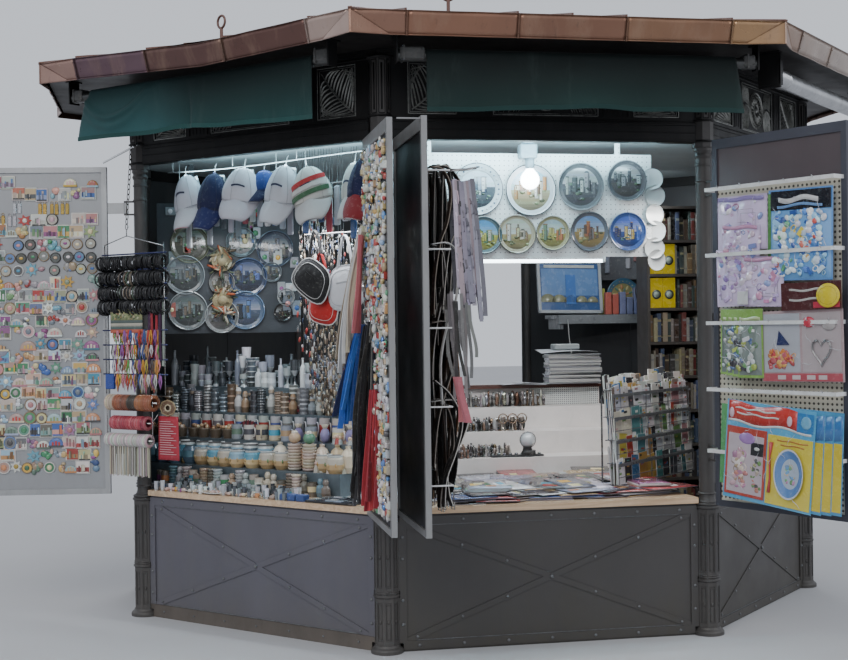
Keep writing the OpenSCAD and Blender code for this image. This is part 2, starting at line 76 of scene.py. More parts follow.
# ---------------------------------------------------------------- mesh maker
class MB:
    def __init__(self):
        self.v, self.f, self.m, self.s, self.c = [], [], [], [], []
        self.mat, self.col, self.smooth = 0, (1, 1, 1), False

    def add(self, verts, faces, M=None, smooth=None):
        n = len(self.v)
        flip = False
        if M is not None:
            verts = [M @ Vector(q) for q in verts]
            flip = M.determinant() < 0
        self.v += [tuple(q) for q in verts]
        sm = self.smooth if smooth is None else smooth
        for q in faces:
            q = [n + i for i in q]
            self.f.append(q[::-1] if flip else q)
            self.m.append(self.mat)
            self.s.append(sm)
            self.c.append(self.col)

    def box(self, x0, x1, y0, y1, z0, z1, M=None, b=0):
        x0, x1 = min(x0, x1), max(x0, x1)
        y0, y1 = min(y0, y1), max(y0, y1)
        z0, z1 = min(z0, z1), max(z0, z1)
        if b <= 0:
            v = [(x, y, z) for z in (z0, z1) for y in (y0, y1) for x in (x0, x1)]
            f = [(0, 2, 3, 1), (4, 5, 7, 6), (0, 1, 5, 4), (2, 6, 7, 3), (0, 4, 6, 2), (1, 3, 7, 5)]
            self.add(v, f, M, False)
            return
        b = min(b, (x1 - x0) * .45, (y1 - y0) * .45, (z1 - z0) * .45)
        # chamfered box: three points for each corner
        v, idx = [], {}
        for sx in (0, 1):
            for sy in (0, 1):
                for sz in (0, 1):
                    X, Y, Z = (x0, x1)[sx], (y0, y1)[sy], (z0, z1)[sz]
                    dx, dy, dz = (b, -b)[sx], (b, -b)[sy], (b, -b)[sz]
                    for a, q in enumerate(((X, Y + dy, Z + dz), (X + dx, Y, Z + dz), (X + dx, Y + dy, Z))):
                        idx[(sx, sy, sz, a)] = len(v)
                        v.append(q)
        g = lambda sx, sy, sz, a: idx[(sx, sy, sz, a)]
        f = []
        for s in (0, 1):
            q = [g(s, 0, 0, 0), g(s, 1, 0, 0), g(s, 1, 1, 0), g(s, 0, 1, 0)]
            f.append(q if s else q[::-1])
            q = [g(0, s, 0, 1), g(1, s, 0, 1), g(1, s, 1, 1), g(0, s, 1, 1)]
            f.append(q[::-1] if s else q)
            q = [g(0, 0, s, 2), g(1, 0, s, 2), g(1, 1, s, 2), g(0, 1, s, 2)]
            f.append(q if s else q[::-1])
        for s in (0, 1):
            for t in (0, 1):
                q = [g(s, t, 0, 0), g(s, t, 0, 1), g(s, t, 1, 1), g(s, t, 1, 0)]
                f.append(q if s == t else q[::-1])
                q = [g(s, 0, t, 0), g(s, 0, t, 2), g(s, 1, t, 2), g(s, 1, t, 0)]
                f.append(q[::-1] if s == t else q)
                q = [g(0, s, t, 1), g(0, s, t, 2), g(1, s, t, 2), g(1, s, t, 1)]
                f.append(q if s == t else q[::-1])
        for sx in (0, 1):
            for sy in (0, 1):
                for sz in (0, 1):
                    q = [g(sx, sy, sz, 0), g(sx, sy, sz, 1), g(sx, sy, sz, 2)]
                    f.append(q if (sx + sy + sz) % 2 else q[::-1])
        self.add(v, f, M, False)

    def lathe(self, prof, n=16, M=None, smooth=True, a0=0., a1=2 * math.pi):
        """prof: (r, z) points; closed at the axis where r is 0."""
        full = abs(a1 - a0 - 2 * math.pi) < 1e-6
        cols = n if full else n + 1
        v, f, rows = [], [], []
        for r, z in prof:
            if r < 1e-7:
                rows.append([len(v)] * cols)
                v.append((0, 0, z))
            else:
                rows.append(list(range(len(v), len(v) + cols)))
                v += [(r * math.cos(a0 + (a1 - a0) * i / n), r * math.sin(a0 + (a1 - a0) * i / n), z) for i in range(cols)]
        for a, b in zip(rows, rows[1:]):
            for i in range(n):
                j = (i + 1) % cols
                q = [a[i], a[j], b[j], b[i]]
                q = [t for k, t in enumerate(q) if t != q[k - 1]]
                if len(q) > 2:
                    f.append(q)
        self.add(v, f, M, smooth)

    def tube(self, pts, r, n=6, M=None, caps=True, closed=False, smooth=True, flat=None):
        """Round bar along points; r may be a list; flat is not used."""
        pts = [Vector(q) for q in pts]
        k = len(pts)
        rs = r if isinstance(r, (list, tuple)) else [r] * k
        v, f = [], []
        up = None
        for i, q in enumerate(pts):
            a = pts[i - 1] if (i or closed) else q
            b = pts[(i + 1) % k] if (i < k - 1 or closed) else q
            t = (b - a)
            t = t.normalized() if t.length > 1e-9 else Vector((0, 0, 1))
            if up is None:
                w = Vector((0, 0, 1)) if abs(t.z) < .9 else Vector((1, 0, 0))
                up = (w - t * w.dot(t)).normalized()
            else:
                up = (up - t * up.dot(t))
                up = up.normalized() if up.length > 1e-6 else t.orthogonal().normalized()
            sd = t.cross(up)
            for j in range(n):
                an = 2 * math.pi * j / n
                v.append(q + (up * math.cos(an) + sd * math.sin(an)) * rs[i])
        for i in range(k if closed else k - 1):
            for j in range(n):
                a, b = i * n + j, i * n + (j + 1) % n
                c, d = ((i + 1) % k) * n + (j + 1) % n, ((i + 1) % k) * n + j
                f.append((a, d, c, b))
        if caps and not closed:
            f.append(tuple(range(n)))
            f.append(tuple(reversed(range((k - 1) * n, k * n))))
        self.add(v, f, M, smooth)

    def cyl(self, p0, p1, r, n=12, M=None, smooth=True):
        self.tube([p0, p1], r, n, M, smooth=smooth)

    def ball(self, c, r, M=None, n=8, m=6, sc=(1, 1, 1)):
        pr = [(math.sin(math.pi * i / m) * r, -math.cos(math.pi * i / m) * r) for i in range(m + 1)]
        T = Matrix.Translation(c) @ Matrix.Diagonal((sc[0], sc[1], sc[2], 1))
        self.lathe(pr, n, T if M is None else M @ T)

    def grid(self, fn, nu, nv, M=None, smooth=True, two=0.):
        """Sheet fn(u, v); two gives it thickness along its normals, closed."""
        v = [Vector(fn(i / nu, j / nv)) for j in range(nv + 1) for i in range(nu + 1)]
        W = nu + 1
        f = [(j * W + i, j * W + i + 1, (j + 1) * W + i + 1, (j + 1) * W + i) for j in range(nv) for i in range(nu)]
        if two:
            nr = []
            for j in range(nv + 1):
                for i in range(nu + 1):
                    a = v[j * W + min(i + 1, nu)] - v[j * W + max(i - 1, 0)]
                    b = v[min(j + 1, nv) * W + i] - v[max(j - 1, 0) * W + i]
                    c = a.cross(b)
                    nr.append(c.normalized() if c.length > 1e-12 else Vector((0, 0, 1)))
            n0 = len(v)
            v += [p - q * two for p, q in zip(v, nr)]
            f += [tuple(n0 + t for t in reversed(q)) for q in list(f)]
            rim = [i for i in range(W)] + [j * W + nu for j in range(1, nv + 1)] + \
                  [nv * W + i for i in range(nu - 1, -1, -1)] + [j * W for j in range(nv - 1, 0, -1)]
            for a, b in zip(rim, rim[1:] + rim[:1]):
                f.append((b, a, n0 + a, n0 + b))
        self.add(v, f, M, smooth)

    def build(self, name, mats, body):
        me = bpy.data.meshes.new(name)
        me.from_pydata(self.v, [], self.f)
        for q in mats:
            me.materials.append(q)
        me.polygons.foreach_set("material_index", self.m)
        me.polygons.foreach_set("use_smooth", self.s)
        at = me.attributes.new("tint", 'FLOAT_COLOR', 'CORNER')
        data = []
        for p, q in zip(me.polygons, self.c):
            data += [q[0], q[1], q[2], 1.] * p.loop_total
        at.data.foreach_set("color", data)
        me.update()
        ob = bpy.data.objects.new(name, me)
        bpy.context.scene.collection.objects.link(ob)
        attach(ob, body)
        return ob


# ----------------------------------------------------------------- materials
class NT:
    def __init__(self, name):
        self.m = bpy.data.materials.new(name)
        self.m.use_nodes = True
        self.t = self.m.node_tree
        self.t.nodes.clear()
        self.out = self.t.nodes.new('ShaderNodeOutputMaterial')
        self.b = self.t.nodes.new('ShaderNodeBsdfPrincipled')
        self.link(self.b.outputs[0], self.out.inputs[0])
        self.tc = None

    def link(self, a, b):
        self.t.links.new(a, b)

    def n(self, kind, **kw):
        q = self.t.nodes.new(kind)
        for a, b in kw.items():
            if hasattr(q, a):
                setattr(q, a, b)
        return q

    def set(self, **kw):
        for a, b in kw.items():
            s = self.b.inputs[a.replace('_', ' ')]
            s.default_value = (*b, 1) if isinstance(b, tuple) and len(b) == 3 else b

    def pos(self, scale=(1, 1, 1)):
        if self.tc is None:
            self.tc = self.n('ShaderNodeTexCoord')
        mp = self.n('ShaderNodeMapping')
        mp.inputs['Scale'].default_value = scale
        self.link(self.tc.outputs['Object'], mp.inputs[0])
        return mp.outputs[0]

    def noise(self, scale, detail=4., rough=.55, at=(1, 1, 1), lo=.35, hi=.65, dist=0.):
        q = self.n('ShaderNodeTexNoise')
        q.inputs['Scale'].default_value = scale
        q.inputs['Detail'].default_value = detail
        q.inputs['Roughness'].default_value = rough
        q.inputs['Distortion'].default_value = dist
        self.link(self.pos(at), q.inputs['Vector'])
        return self.ramp(q.outputs[0], lo, hi)

    def ramp(self, x, lo, hi, a=0., b=1.):
        r = self.n('ShaderNodeMapRange')
        for i, val in zip((1, 2, 3, 4), (lo, hi, a, b)):
            r.inputs[i].default_value = val
        self.link(x, r.inputs[0])
        return r.outputs[0]

    def mix(self, fac, a, b, mode='MIX'):
        q = self.n('ShaderNodeMix')
        q.data_type = 'RGBA'
        q.blend_type = mode
        ins = [s for s in q.inputs if s.type == 'RGBA']
        if isinstance(fac, (int, float)):
            q.inputs[0].default_value = fac
        else:
            self.link(fac, q.inputs[0])
        for s, val in zip(ins, (a, b)):
            if isinstance(val, tuple):
                s.default_value = (*val[:3], 1)
            else:
                self.link(val, s)
        return [s for s in q.outputs if s.type == 'RGBA'][0]

    def math(self, op, a, b=0., clamp=False):
        q = self.n('ShaderNodeMath')
        q.operation = op
        q.use_clamp = clamp
        for s, val in zip(q.inputs, (a, b)):
            if isinstance(val, (int, float)):
                s.default_value = val
            else:
                self.link(val, s)
        return q.outputs[0]

    def sep(self, which):
        g = self.n('ShaderNodeSeparateXYZ')
        self.link(self.pos(), g.inputs[0])
        return g.outputs[which]

    def bump(self, h, strength=.2, dist=.002, bevel=0.):
        q = self.n('ShaderNodeBump')
        q.inputs['Strength'].default_value = strength
        q.inputs['Distance'].default_value = dist
        self.link(h, q.inputs['Height'])
        if bevel:
            bv = self.n('ShaderNodeBevel')
            bv.samples = 3
            bv.inputs['Radius'].default_value = bevel
            self.link(bv.outputs[0], q.inputs['Normal'])
        self.link(q.outputs[0], self.b.inputs['Normal'])

    def color(self, x):
        if isinstance(x, tuple):
            self.b.inputs['Base Color'].default_value = (*x[:3], 1)
        else:
            self.link(x, self.b.inputs['Base Color'])

    def rough(self, x):
        if isinstance(x, (int, float)):
            self.b.inputs['Roughness'].default_value = x
        else:
            self.link(x, self.b.inputs['Roughness'])

    def emit(self, col, s):
        self.b.inputs['Emission Color'].default_value = (*col, 1)
        self.b.inputs['Emission Strength'].default_value = s


def mul(c, k):
    return tuple(min(1., x * k) for x in c)


def paint(name, col, rough=.45, metal=0., var=.18, scale=2.2, dirt=None, dirt_amt=.35,
          grime_z=None, bump=.12, fine=160., bevel=.0, streak=False, chips=None):
    """Painted or bare metal: broad tone changes, fine grain, grime low down."""
    t = NT(name)
    big = t.noise(scale, 5, .6, (1, 1, .45) if streak else (1, 1, 1), .3, .7)
    c = t.mix(big, mul(col, 1 - var), mul(col, 1 + var))
    if dirt:
        d = t.noise(scale * 3.1, 8, .72, (1, 1, .25) if streak else (1, 1, 1), .48, .74, .6)
        d = t.math('MULTIPLY', d, dirt_amt)
        c = t.mix(d, c, dirt)
    if grime_z:
        g = t.ramp(t.sep(2), grime_z[0], grime_z[1], 1., 0.)
        g = t.math('MULTIPLY', g, t.noise(9., 6, .7, (1, 1, .6), .25, .7))
        c = t.mix(t.math('MULTIPLY', g, grime_z[2]), c, grime_z[3])
    if chips:
        s = t.noise(chips[0], 3, .8, (1, 1, 1), chips[1], chips[1] + .03)
        c = t.mix(s, c, chips[2])
    t.color(c)
    r = t.noise(scale * 2.3, 6, .6, (1, 1, 1), .3, .7)
    t.rough(t.ramp(r, 0, 1, rough * .82, min(1, rough * 1.22)))
    t.set(Metallic=metal)
    h = t.math('ADD', t.math('MULTIPLY', t.noise(fine, 2, .6, (1, 1, 1), .2, .8), .25), t.noise(scale * 2.5, 3, .5, (1, 1, 1), 0, 1))
    t.bump(h, bump, .0016, bevel)
    return t.m


# ------------------------------------------------------- materials in the set
CAST = paint("cast_grey_paint", (.060, .056, .054), .5, .25, .22, 3., (.115, .105, .095), .5,
             (0.02, .35, .45, (.13, .12, .105)), .35, 190., .003, True, (38., .73, (.16, .15, .14)))
BASE = paint("base_grey_paint", (.112, .108, .130), .46, .15, .14, 1.6, (.125, .12, .115), .45,
             (0.0, .30, .55, (.13, .118, .10)), .18, 170., .002, True, (55., .76, (.2, .2, .2)))
# painted light and shade: the base paint is multiplied by (.54, .52, .42) from object x -.72 on, so the left wall keeps
# a lighter, bluer grey as painted light and the walls to its right are painted darker and warmer as painted shade
_t = BASE.node_tree
_b = [q for q in _t.nodes if q.type == 'BSDF_PRINCIPLED'][0]
_src = _b.inputs['Base Color'].links[0].from_socket
_tc = _t.nodes.new('ShaderNodeTexCoord')
_sx = _t.nodes.new('ShaderNodeSeparateXYZ')
_t.links.new(_tc.outputs['Object'], _sx.inputs[0])
_mr = _t.nodes.new('ShaderNodeMapRange')
for _i, _v in zip((1, 2, 3, 4), (-.80, -.72, 0., 1.)):
    _mr.inputs[_i].default_value = _v
_t.links.new(_sx.outputs[0], _mr.inputs[0])
_mx = _t.nodes.new('ShaderNodeMix')
_mx.data_type, _mx.blend_type = 'RGBA', 'MULTIPLY'
_t.links.new(_mr.outputs[0], _mx.inputs[0])
_io = [q for q in _mx.inputs if q.type == 'RGBA']
_t.links.new(_src, _io[0])
_io[1].default_value = (.54, .52, .42, 1)
_t.links.new([q for q in _mx.outputs if q.type == 'RGBA'][0], _b.inputs['Base Color'])
KICK = paint("kick_plate_paint", (.10, .082, .068), .6, .1, .25, 4., (.05, .045, .04), .6,
             (0.0, .1, .6, (.16, .14, .12)), .3, 150., .002, True, (40., .7, (.2, .18, .16)))
BLACK = paint("black_trim_paint", (.0055, .0052, .0055), .50, .05, .3, 3., (.022, .019, .017), .4,
              None, .25, 170., .0, True)
BLACK.node_tree.nodes["Principled BSDF"].inputs['Specular IOR Level'].default_value = .32
SOFFIT = paint("soffit_sheet_paint", (.013, .011, .011), .5, .2, .2, 2., (.06, .05, .045), .4, None, .2)
SHUT = paint("shutter_paint", (.045, .046, .05), .5, .15, .16, 1.8, (.09, .085, .08), .4,
             (0.6, 1.2, .2, (.09, .085, .08)), .2, 150., .002, True)
EAVE = paint("copper_brown_sheet", (.215, .112, .088), .34, .55, .20, 2.6, (.115, .085, .078), .55,
             None, .22, 60., .0015, True)
ROOF = paint("roof_sheet", (.19, .105, .085), .45, .5, .25, 1.7, (.11, .09, .08), .6, None, .25, 60., .0, True)
FLOOR = paint("chequer_sheet", (.16, .16, .16), .5, .5, .2, 4., (.06, .055, .05), .6, None, .35, 90.)
SILVER = paint("dull_silver_tube", (.55, .56, .57), .33, .85, .12, 6., (.25, .24, .23), .4, None, .12, 200., .001, True)
# painted shade: the tube colour is multiplied by .16 below object x 1.06, so the rollers and fittings at the front and
# left are painted dark for the shade under the eave, and only the right face's roller stays bright
_t = SILVER.node_tree
_b = [q for q in _t.nodes if q.type == 'BSDF_PRINCIPLED'][0]
_src = _b.inputs['Base Color'].links[0].from_socket
_tc = _t.nodes.new('ShaderNodeTexCoord')
_sx = _t.nodes.new('ShaderNodeSeparateXYZ')
_t.links.new(_tc.outputs['Object'], _sx.inputs[0])
_mr = _t.nodes.new('ShaderNodeMapRange')
for _i, _v in zip((1, 2, 3, 4), (1.06, 1.12, 1., 0.)):
    _mr.inputs[_i].default_value = _v
_t.links.new(_sx.outputs[0], _mr.inputs[0])
_mx = _t.nodes.new('ShaderNodeMix')
_mx.data_type, _mx.blend_type = 'RGBA', 'MULTIPLY'
_t.links.new(_mr.outputs[0], _mx.inputs[0])
_io = [q for q in _mx.inputs if q.type == 'RGBA']
_t.links.new(_src, _io[0])
_io[1].default_value = (.16, .16, .155, 1)
_t.links.new([q for q in _mx.outputs if q.type == 'RGBA'][0], _b.inputs['Base Color'])
CHROME = paint("chromed_rod", (.82, .83, .84), .16, 1., .05, 9., None, 0, None, .03, 300.)
ALU = paint("leaf_aluminium", (.40, .405, .41), .40, .6, .10, 5., (.22, .21, .20), .35, None, .12, 260., .0018, True)
ALU_B = paint("leaf_aluminium_dull", (.30, .30, .30), .45, .5, .12, 5., (.16, .15, .14), .4, None, .12, 260., .0018, True)
BLUEG = paint("leaf_blue_grey_paint", (.060, .062, .080), .48, .2, .14, 3., (.07, .07, .08), .4, None, .18, 160., .0018, True)
MAGB = paint("magnet_board_steel", (.33, .335, .345), .38, .35, .07, 3., (.24, .235, .23), .3, None, .08, 240., 0, True)
DARKB = paint("dark_board", (.020, .021, .024), .38, .1, .2, 2., (.05, .05, .05), .3, None, .12, 120., .0015, True,
              (60., .78, (.1, .1, .1)))
PURPB = paint("purple_brown_board", (.088, .068, .074), .42, .05, .2, 1.8, (.07, .06, .06), .3, None, .12, 120., .0015, True)
WHITE = paint("white_laminate", (.62, .64, .64), .42, 0., .05, 3., (.42, .42, .40), .35, None, .06, 180., .0015)
CREAMW = paint("cream_steps_laminate", (.765, .72, .69), .45, 0., .05, 3., (.52, .50, .47), .35, None, .06, 180., .002)
CEIL = paint("ceiling_laminate", (.60, .68, .70), .5, 0., .06, 1.5, (.4, .42, .42), .4, None, .08, 120.)
GREYB = paint("grey_backing_board", (.032, .038, .045), .5, .05, .15, 2.5, (.1, .11, .12), .4, None, .1, 120.)
SHELF = paint("dark_shelving_paint", (.06, .052, .046), .5, 0., .2, 4., (.1, .09, .08), .3, None, .15, 120., .0015)
RACKW = paint("white_coated_wire", (.72, .72, .71), .35, .1, .08, 12., (.4, .4, .38), .35, None, .1, 200.)
GRILLE = paint("grille_ground_paint", (.006, .006, .006), .6, .1, .3, 14., (.02, .02, .02), .5, None, .3, 120., 0, False)
# painted shade: the tier shelves get a dark grey-blue for the shade among the crowded wares on them
TIERM = paint("tier_shelf_laminate", (.10, .13, .15), .35, .0, .25, 6., (.04, .05, .055), .6, None, .12, 120.)


def perforated(name, col, hole, pitch, face, var=.05, rough=.45, r=.19):
    """Perforated board: rows of round holes across the board's own plane."""
    t = NT(name)
    tc = t.n('ShaderNodeTexCoord')
    mp = t.n('ShaderNodeMapping')
    mp.inputs['Rotation'].default_value = (0, 0, math.radians(-face))
    mp.inputs['Scale'].default_value = (1, 1, 1)
    t.link(tc.outputs['Object'], mp.inputs[0])
    s = t.n('ShaderNodeSeparateXYZ')
    t.link(mp.outputs[0], s.inputs[0])
    fx = t.math('SUBTRACT', t.math('FRACT', t.math('DIVIDE', s.outputs[0], pitch)), .5)
    fz = t.math('SUBTRACT', t.math('FRACT', t.math('DIVIDE', s.outputs[2], pitch)), .5)
    d = t.math('SQRT', t.math('ADD', t.math('MULTIPLY', fx, fx), t.math('MULTIPLY', fz, fz)))
    m = t.ramp(d, r - .03, r + .03, 1., 0.)
    big = t.noise(2.5, 4, .6, (1, 1, 1), .3, .7)
    c = t.mix(big, mul(col, 1 - var), mul(col, 1 + var))
    c = t.mix(t.math('MULTIPLY', t.noise(9., 6, .7, (1, 1, .3), .5, .75), .3), c, mul(col, .6))
    # painted shade: each hole is painted the dark hole colour for the shade seen through it, with only a bump for its
    # edge
    t.color(t.mix(m, c, hole))
    t.rough(rough)
    t.bump(t.math('SUBTRACT', 1., m), .5, .002)
    return t.m


PEGW = perforated("white_perforated_board", (.70, .73, .73), (.06, .07, .07), .0254, 0, r=.11)


def wood(name, col, dark, face=0, rough=.32, scale=1.):
    t = NT(name)
    tc = t.n('ShaderNodeTexCoord')
    mp = t.n('ShaderNodeMapping')
    mp.inputs['Rotation'].default_value = (0, 0, math.radians(-face))
    mp.inputs['Scale'].default_value = (.55 * scale, 9 * scale, 9 * scale)
    t.link(tc.outputs['Object'], mp.inputs[0])
    q = t.n('ShaderNodeTexNoise')
    q.inputs['Scale'].default_value = 3.2
    q.inputs['Detail'].default_value = 7
    q.inputs['Roughness'].default_value = .62
    q.inputs['Distortion'].default_value = 1.4
    t.link(mp.outputs[0], q.inputs['Vector'])
    g = t.ramp(q.outputs[0], .36, .66)
    c = t.mix(g, dark, col)
    c = t.mix(t.math('MULTIPLY', t.noise(6., 5, .7, (1, 1, 1), .5, .8), .35), c, mul(dark, .7))
    t.color(c)
    t.rough(t.ramp(g, 0, 1, rough * 1.2, rough * .85))
    t.set(Coat_Weight=.25)
    t.b.inputs['Coat Roughness'].default_value = .2
    t.bump(g, .12, .0012, .002)
    return t.m


COUNTER = wood("counter_varnished_wood", (.74, .55, .37), (.52, .35, .21), 0)


def lamp(name, col, s):
    t = NT(name)
    t.set(Base_Color=(.9, .95, .97), Roughness=.3)
    t.emit(col, s)
    # a faint mottling keeps the tube from being a flat colour
    t.color(t.mix(t.noise(30., 2), (.85, .9, .92), (.95, .98, 1.)))
    return t.m


TUBE_LIT = lamp("lit_tube", (.80, .93, 1.), 9.)
BULB_LIT = lamp("lit_bulb", (.93, .98, 1.), 14.)

ON = {
    "floor_deck": FLOOR, "column_pedestals": CAST, "column_shafts": CAST, "base_panels": BASE,
    "base_rails": BASE, "cross_braces": BASE, "kick_plate": KICK, "counter_boards": COUNTER,
    "display_deck": WHITE, "lintel_beams": BLACK, "frieze_boards": BLACK, "frieze_grilles": GRILLE,
    "cornice": BLACK, "soffit": SOFFIT, "eave_fascia": EAVE, "roof_shell": ROOF, "lifting_eyes": ROOF,
    "awning_rollers": SILVER, "awning_brackets": BLACK, "front_awning_cloth": BLACK,
    "left_awning_cloth": BLACK, "shutter_panels": SHUT, "rear_door_frame": SHUT, "rear_door_leaf": SHUT,
    "ceiling_panel": CEIL, "hanging_pegboard": PEGW, "stepped_display": CREAMW, "tiered_shelves": TIERM,
    "backing_board": GREYB, "bookcase": SHELF, "strip_light": TUBE_LIT, "bulb_lamp": BULB_LIT,
    "hinge_brackets": CAST, "stay_rod": CHROME, "outer_left_leaf_frame": ALU,
    "outer_left_leaf_board": MAGB, "inner_left_leaf_frame": ALU_B, "inner_left_leaf_board": DARKB,
    "inner_right_leaf_frame": ALU_B, "inner_right_leaf_board": DARKB, "inner_right_leaf_racks": RACKW,
    "outer_right_leaf_frame": BLUEG, "outer_right_leaf_head_board": PURPB,
    "outer_right_leaf_pegboard": None, "outer_right_leaf_racks": RACKW,
}
_d = perforated("cream_perforated_board", (.56, .52, .42), (.06, .05, .04), .0254, -64, r=.25)
ON["outer_right_leaf_pegboard"] = _d
for nm, mt in ON.items():
    me = NODES[nm].data
    me.materials.clear()
    me.materials.append(mt)
assert set(ON) == set(NODES), set(ON) ^ set(NODES)

# ------------------------------------------------------------ more mesh tools
def rot(a, ax):
    return Matrix.Rotation(math.radians(a), 4, ax)


def T3(x, y, z):
    return Matrix.Translation((x, y, z))


def bar(mb, p0, p1, w, h, up=(0, 0, 1), b=0., M=None):
    """Square bar from p0 to p1, w wide, standing h high on that line."""
    p0, p1 = Vector(p0), Vector(p1)
    x = p1 - p0
    ln = x.length
    x /= ln
    up = Vector(up)
    z = (up - x * up.dot(x)).normalized()
    y = z.cross(x)
    t = Matrix(((x.x, y.x, z.x, p0.x), (x.y, y.y, z.y, p0.y), (x.z, y.z, z.z, p0.z), (0, 0, 0, 1)))
    mb.box(0, ln, -w / 2, w / 2, 0, h, t if M is None else M @ t, b)


def stroke(mb, pts, ws, y0, h, M):
    """Raised tapering line on a face: pts are (x, z) on the plane y = y0."""
    n = len(pts)
    v, f = [], []
    for i, (x, z) in enumerate(pts):
        a, b = pts[max(i - 1, 0)], pts[min(i + 1, n - 1)]
        tx, tz = b[0] - a[0], b[1] - a[1]
        ln = math.hypot(tx, tz) or 1.
        nx, nz = -tz / ln, tx / ln
        w = ws[i] / 2
        v += [(x + nx * w, y0, z + nz * w), (x, y0 - h, z), (x - nx * w, y0, z - nz * w)]
    for i in range(n - 1):
        a, b = 3 * i, 3 * i + 3
        f += [(a, a + 1, b + 1, b), (a + 1, a + 2, b + 2, b + 1), (a + 2, a, b, b + 2)]
    f += [(0, 2, 1), (3 * n - 1, 3 * n - 3, 3 * n - 2)]
    mb.add(v, f, M, False)


DOME = [(0, -.001), (1., -.001), (1., .15), (.93, .38), (.72, .62), (.4, .78), (0, .84)]


def bolt(mb, x, z, y0, M, r=.008, n=9):
    """Round bolt head standing outwards from the plane y = y0."""
    mb.lathe([(a * r, b * r) for a, b in DOME], n, M @ T3(x, y0, z) @ rot(90, 'X'))


def hexbolt(mb, x, z, y0, M, r=.009):
    mb.lathe([(0, -.001), (r, -.001), (r, r * .55), (r * .85, r * .7), (0, r * .7)], 6, M @ T3(x, y0, z) @ rot(90, 'X'), False)


def nrm(k):
    a = math.radians(45 * k)
    return Vector((math.sin(a), -math.cos(a), 0))


def off(k, d):
    c = CORNER[k % 8]
    return Vector((c[0], c[1], 0)) + (nrm(k - 1) + nrm(k)) * (d / (1 + math.cos(math.radians(45))))


def seam_at(l):
    e = .262
    m = (l - 2 * e) / 3
    return [0, e, e + m, e + 2 * m, l - e, l]


def sagz(t):
    return SAG * max(0., 1 - abs(t - .55) / .45)


def lerp(a, b, t):
    return a + (b - a) * t


def tinted(name, rough=.5, metal=0., bump=.1, fine=220., var=.22, coat=0., sheen=0., rv=.15, weave=0., spec=.5, sub=0.):
    """Finish whose base colour is painted on the mesh, then dulled and grained."""
    t = NT(name)
    a = t.n('ShaderNodeAttribute')
    a.attribute_name = "tint"
    big = t.noise(9., 4, .6, (1, 1, 1), .3, .72)
    c = t.mix(t.math('MULTIPLY', big, var), a.outputs['Color'], (.03, .03, .03))
    sp = t.noise(46., 3, .7, (1, 1, 1), .56, .72)
    c = t.mix(t.math('MULTIPLY', sp, var * .7), c, (.75, .74, .70), 'MIX')
    t.color(c)
    t.rough(t.ramp(t.noise(20., 3), 0, 1, max(.04, rough - rv), min(1, rough + rv)))
    t.set(Metallic=metal, Coat_Weight=coat, Sheen_Weight=sheen)
    t.b.inputs['Specular IOR Level'].default_value = spec
    h = t.noise(fine, 2, .6, (1, 1, 1), .2, .8)
    if weave:
        s = t.n('ShaderNodeSeparateXYZ')
        t.link(t.pos(), s.inputs[0])
        q = t.math('ADD', t.math('ADD', s.outputs[0], s.outputs[1]), 0.)
        wx = t.math('SINE', t.math('MULTIPLY', q, 2 * math.pi / weave))
        wz = t.math('SINE', t.math('MULTIPLY', s.outputs[2], 2 * math.pi / weave))
        h = t.math('ADD', t.math('MULTIPLY', t.math('MULTIPLY', wx, wz), .5), h)
    t.bump(h, bump, .0012)
    return t.m


GOODS = tinted("painted_goods", .42, 0., .12, 240., .20)
GLOSS = tinted("film_wrapped_goods", .22, 0., .35, 60., .14, .35, 0., .1)
CERAM = tinted("glazed_ware", .20, 0., .06, 160., .12, .4, 0., .08)
PAPER = tinted("printed_paper", .50, 0., .10, 260., .12, .1)
CLOTHG = tinted("sewn_cloth_goods", .86, 0., .5, 320., .14, 0., .10, .08, .0032)
LEATH = tinted("leather_goods", .46, 0., .35, 150., .18, .1)
SHINY = tinted("bright_trinket_metal", .24, .9, .15, 200., .18)
GLASSG = tinted("pale_glassware", .10, 0., .04, 120., .08, .6, 0., .05, 0., .8)
FILMM = tinted("clear_packet_film", .13, 0., .9, 34., .10, .8, 0., .07, 0., .7)
# ----------------------------------------------------------- eave and roof
def eave_material():
    t = NT("copper_brown_eave_sheet")
    a = t.n('ShaderNodeAttribute')
    a.attribute_name = "tint"
    big = t.noise(1.7, 5, .6, (1, 1, .5), .3, .7)
    c = t.mix(t.math('MULTIPLY', big, .45), a.outputs['Color'], (.10, .055, .05))
    d = t.noise(6., 7, .7, (1, 1, .22), .50, .72, .5)
    c = t.mix(t.math('MULTIPLY', d, .40), c, (.40, .27, .19))
    s = t.noise(26., 4, .8, (1, 1, .35), .60, .72)
    c = t.mix(t.math('MULTIPLY', s, .35), c, (.06, .04, .038))
    t.color(c)
    t.rough(t.ramp(t.noise(5., 5, .6, (1, 1, .5), .3, .7), 0, 1, .24, .44))
    t.set(Metallic=.62)
    h = t.math('ADD', t.math('MULTIPLY', t.noise(90., 2, .6, (1, 1, 1), .2, .8), .12), t.noise(3.6, 3, .5, (1, 1, 1), 0, 1))
    t.bump(h, .35, .004)
    return t.m


COPPER = eave_material()
ROOF_Z = EAVE_Z + FASCIA_H
ROOF_RISE = .420


def rim(k, d):
    a, b = off(k, d), off(k + 1, d)
    return a, b, (b - a).length, (b - a).normalized()


def roof_point(k, s, d, dd=.520):
    """Point on the roof over face k, s along its rim and d in from it."""
    a, b, l, u = rim(k, dd)
    run = a.dot(nrm(k))
    sa = (-a).dot(u)
    f = d / run
    sr = sa + (s - sa) / max(1 - f, 1e-4)
    z0 = ROOF_Z - (sagz(sr / l) if k == 7 else 0)
    p = a + u * s - nrm(k) * d
    return Vector((p.x, p.y, z0 * (1 - f) + (ROOF_Z + ROOF_RISE) * f))
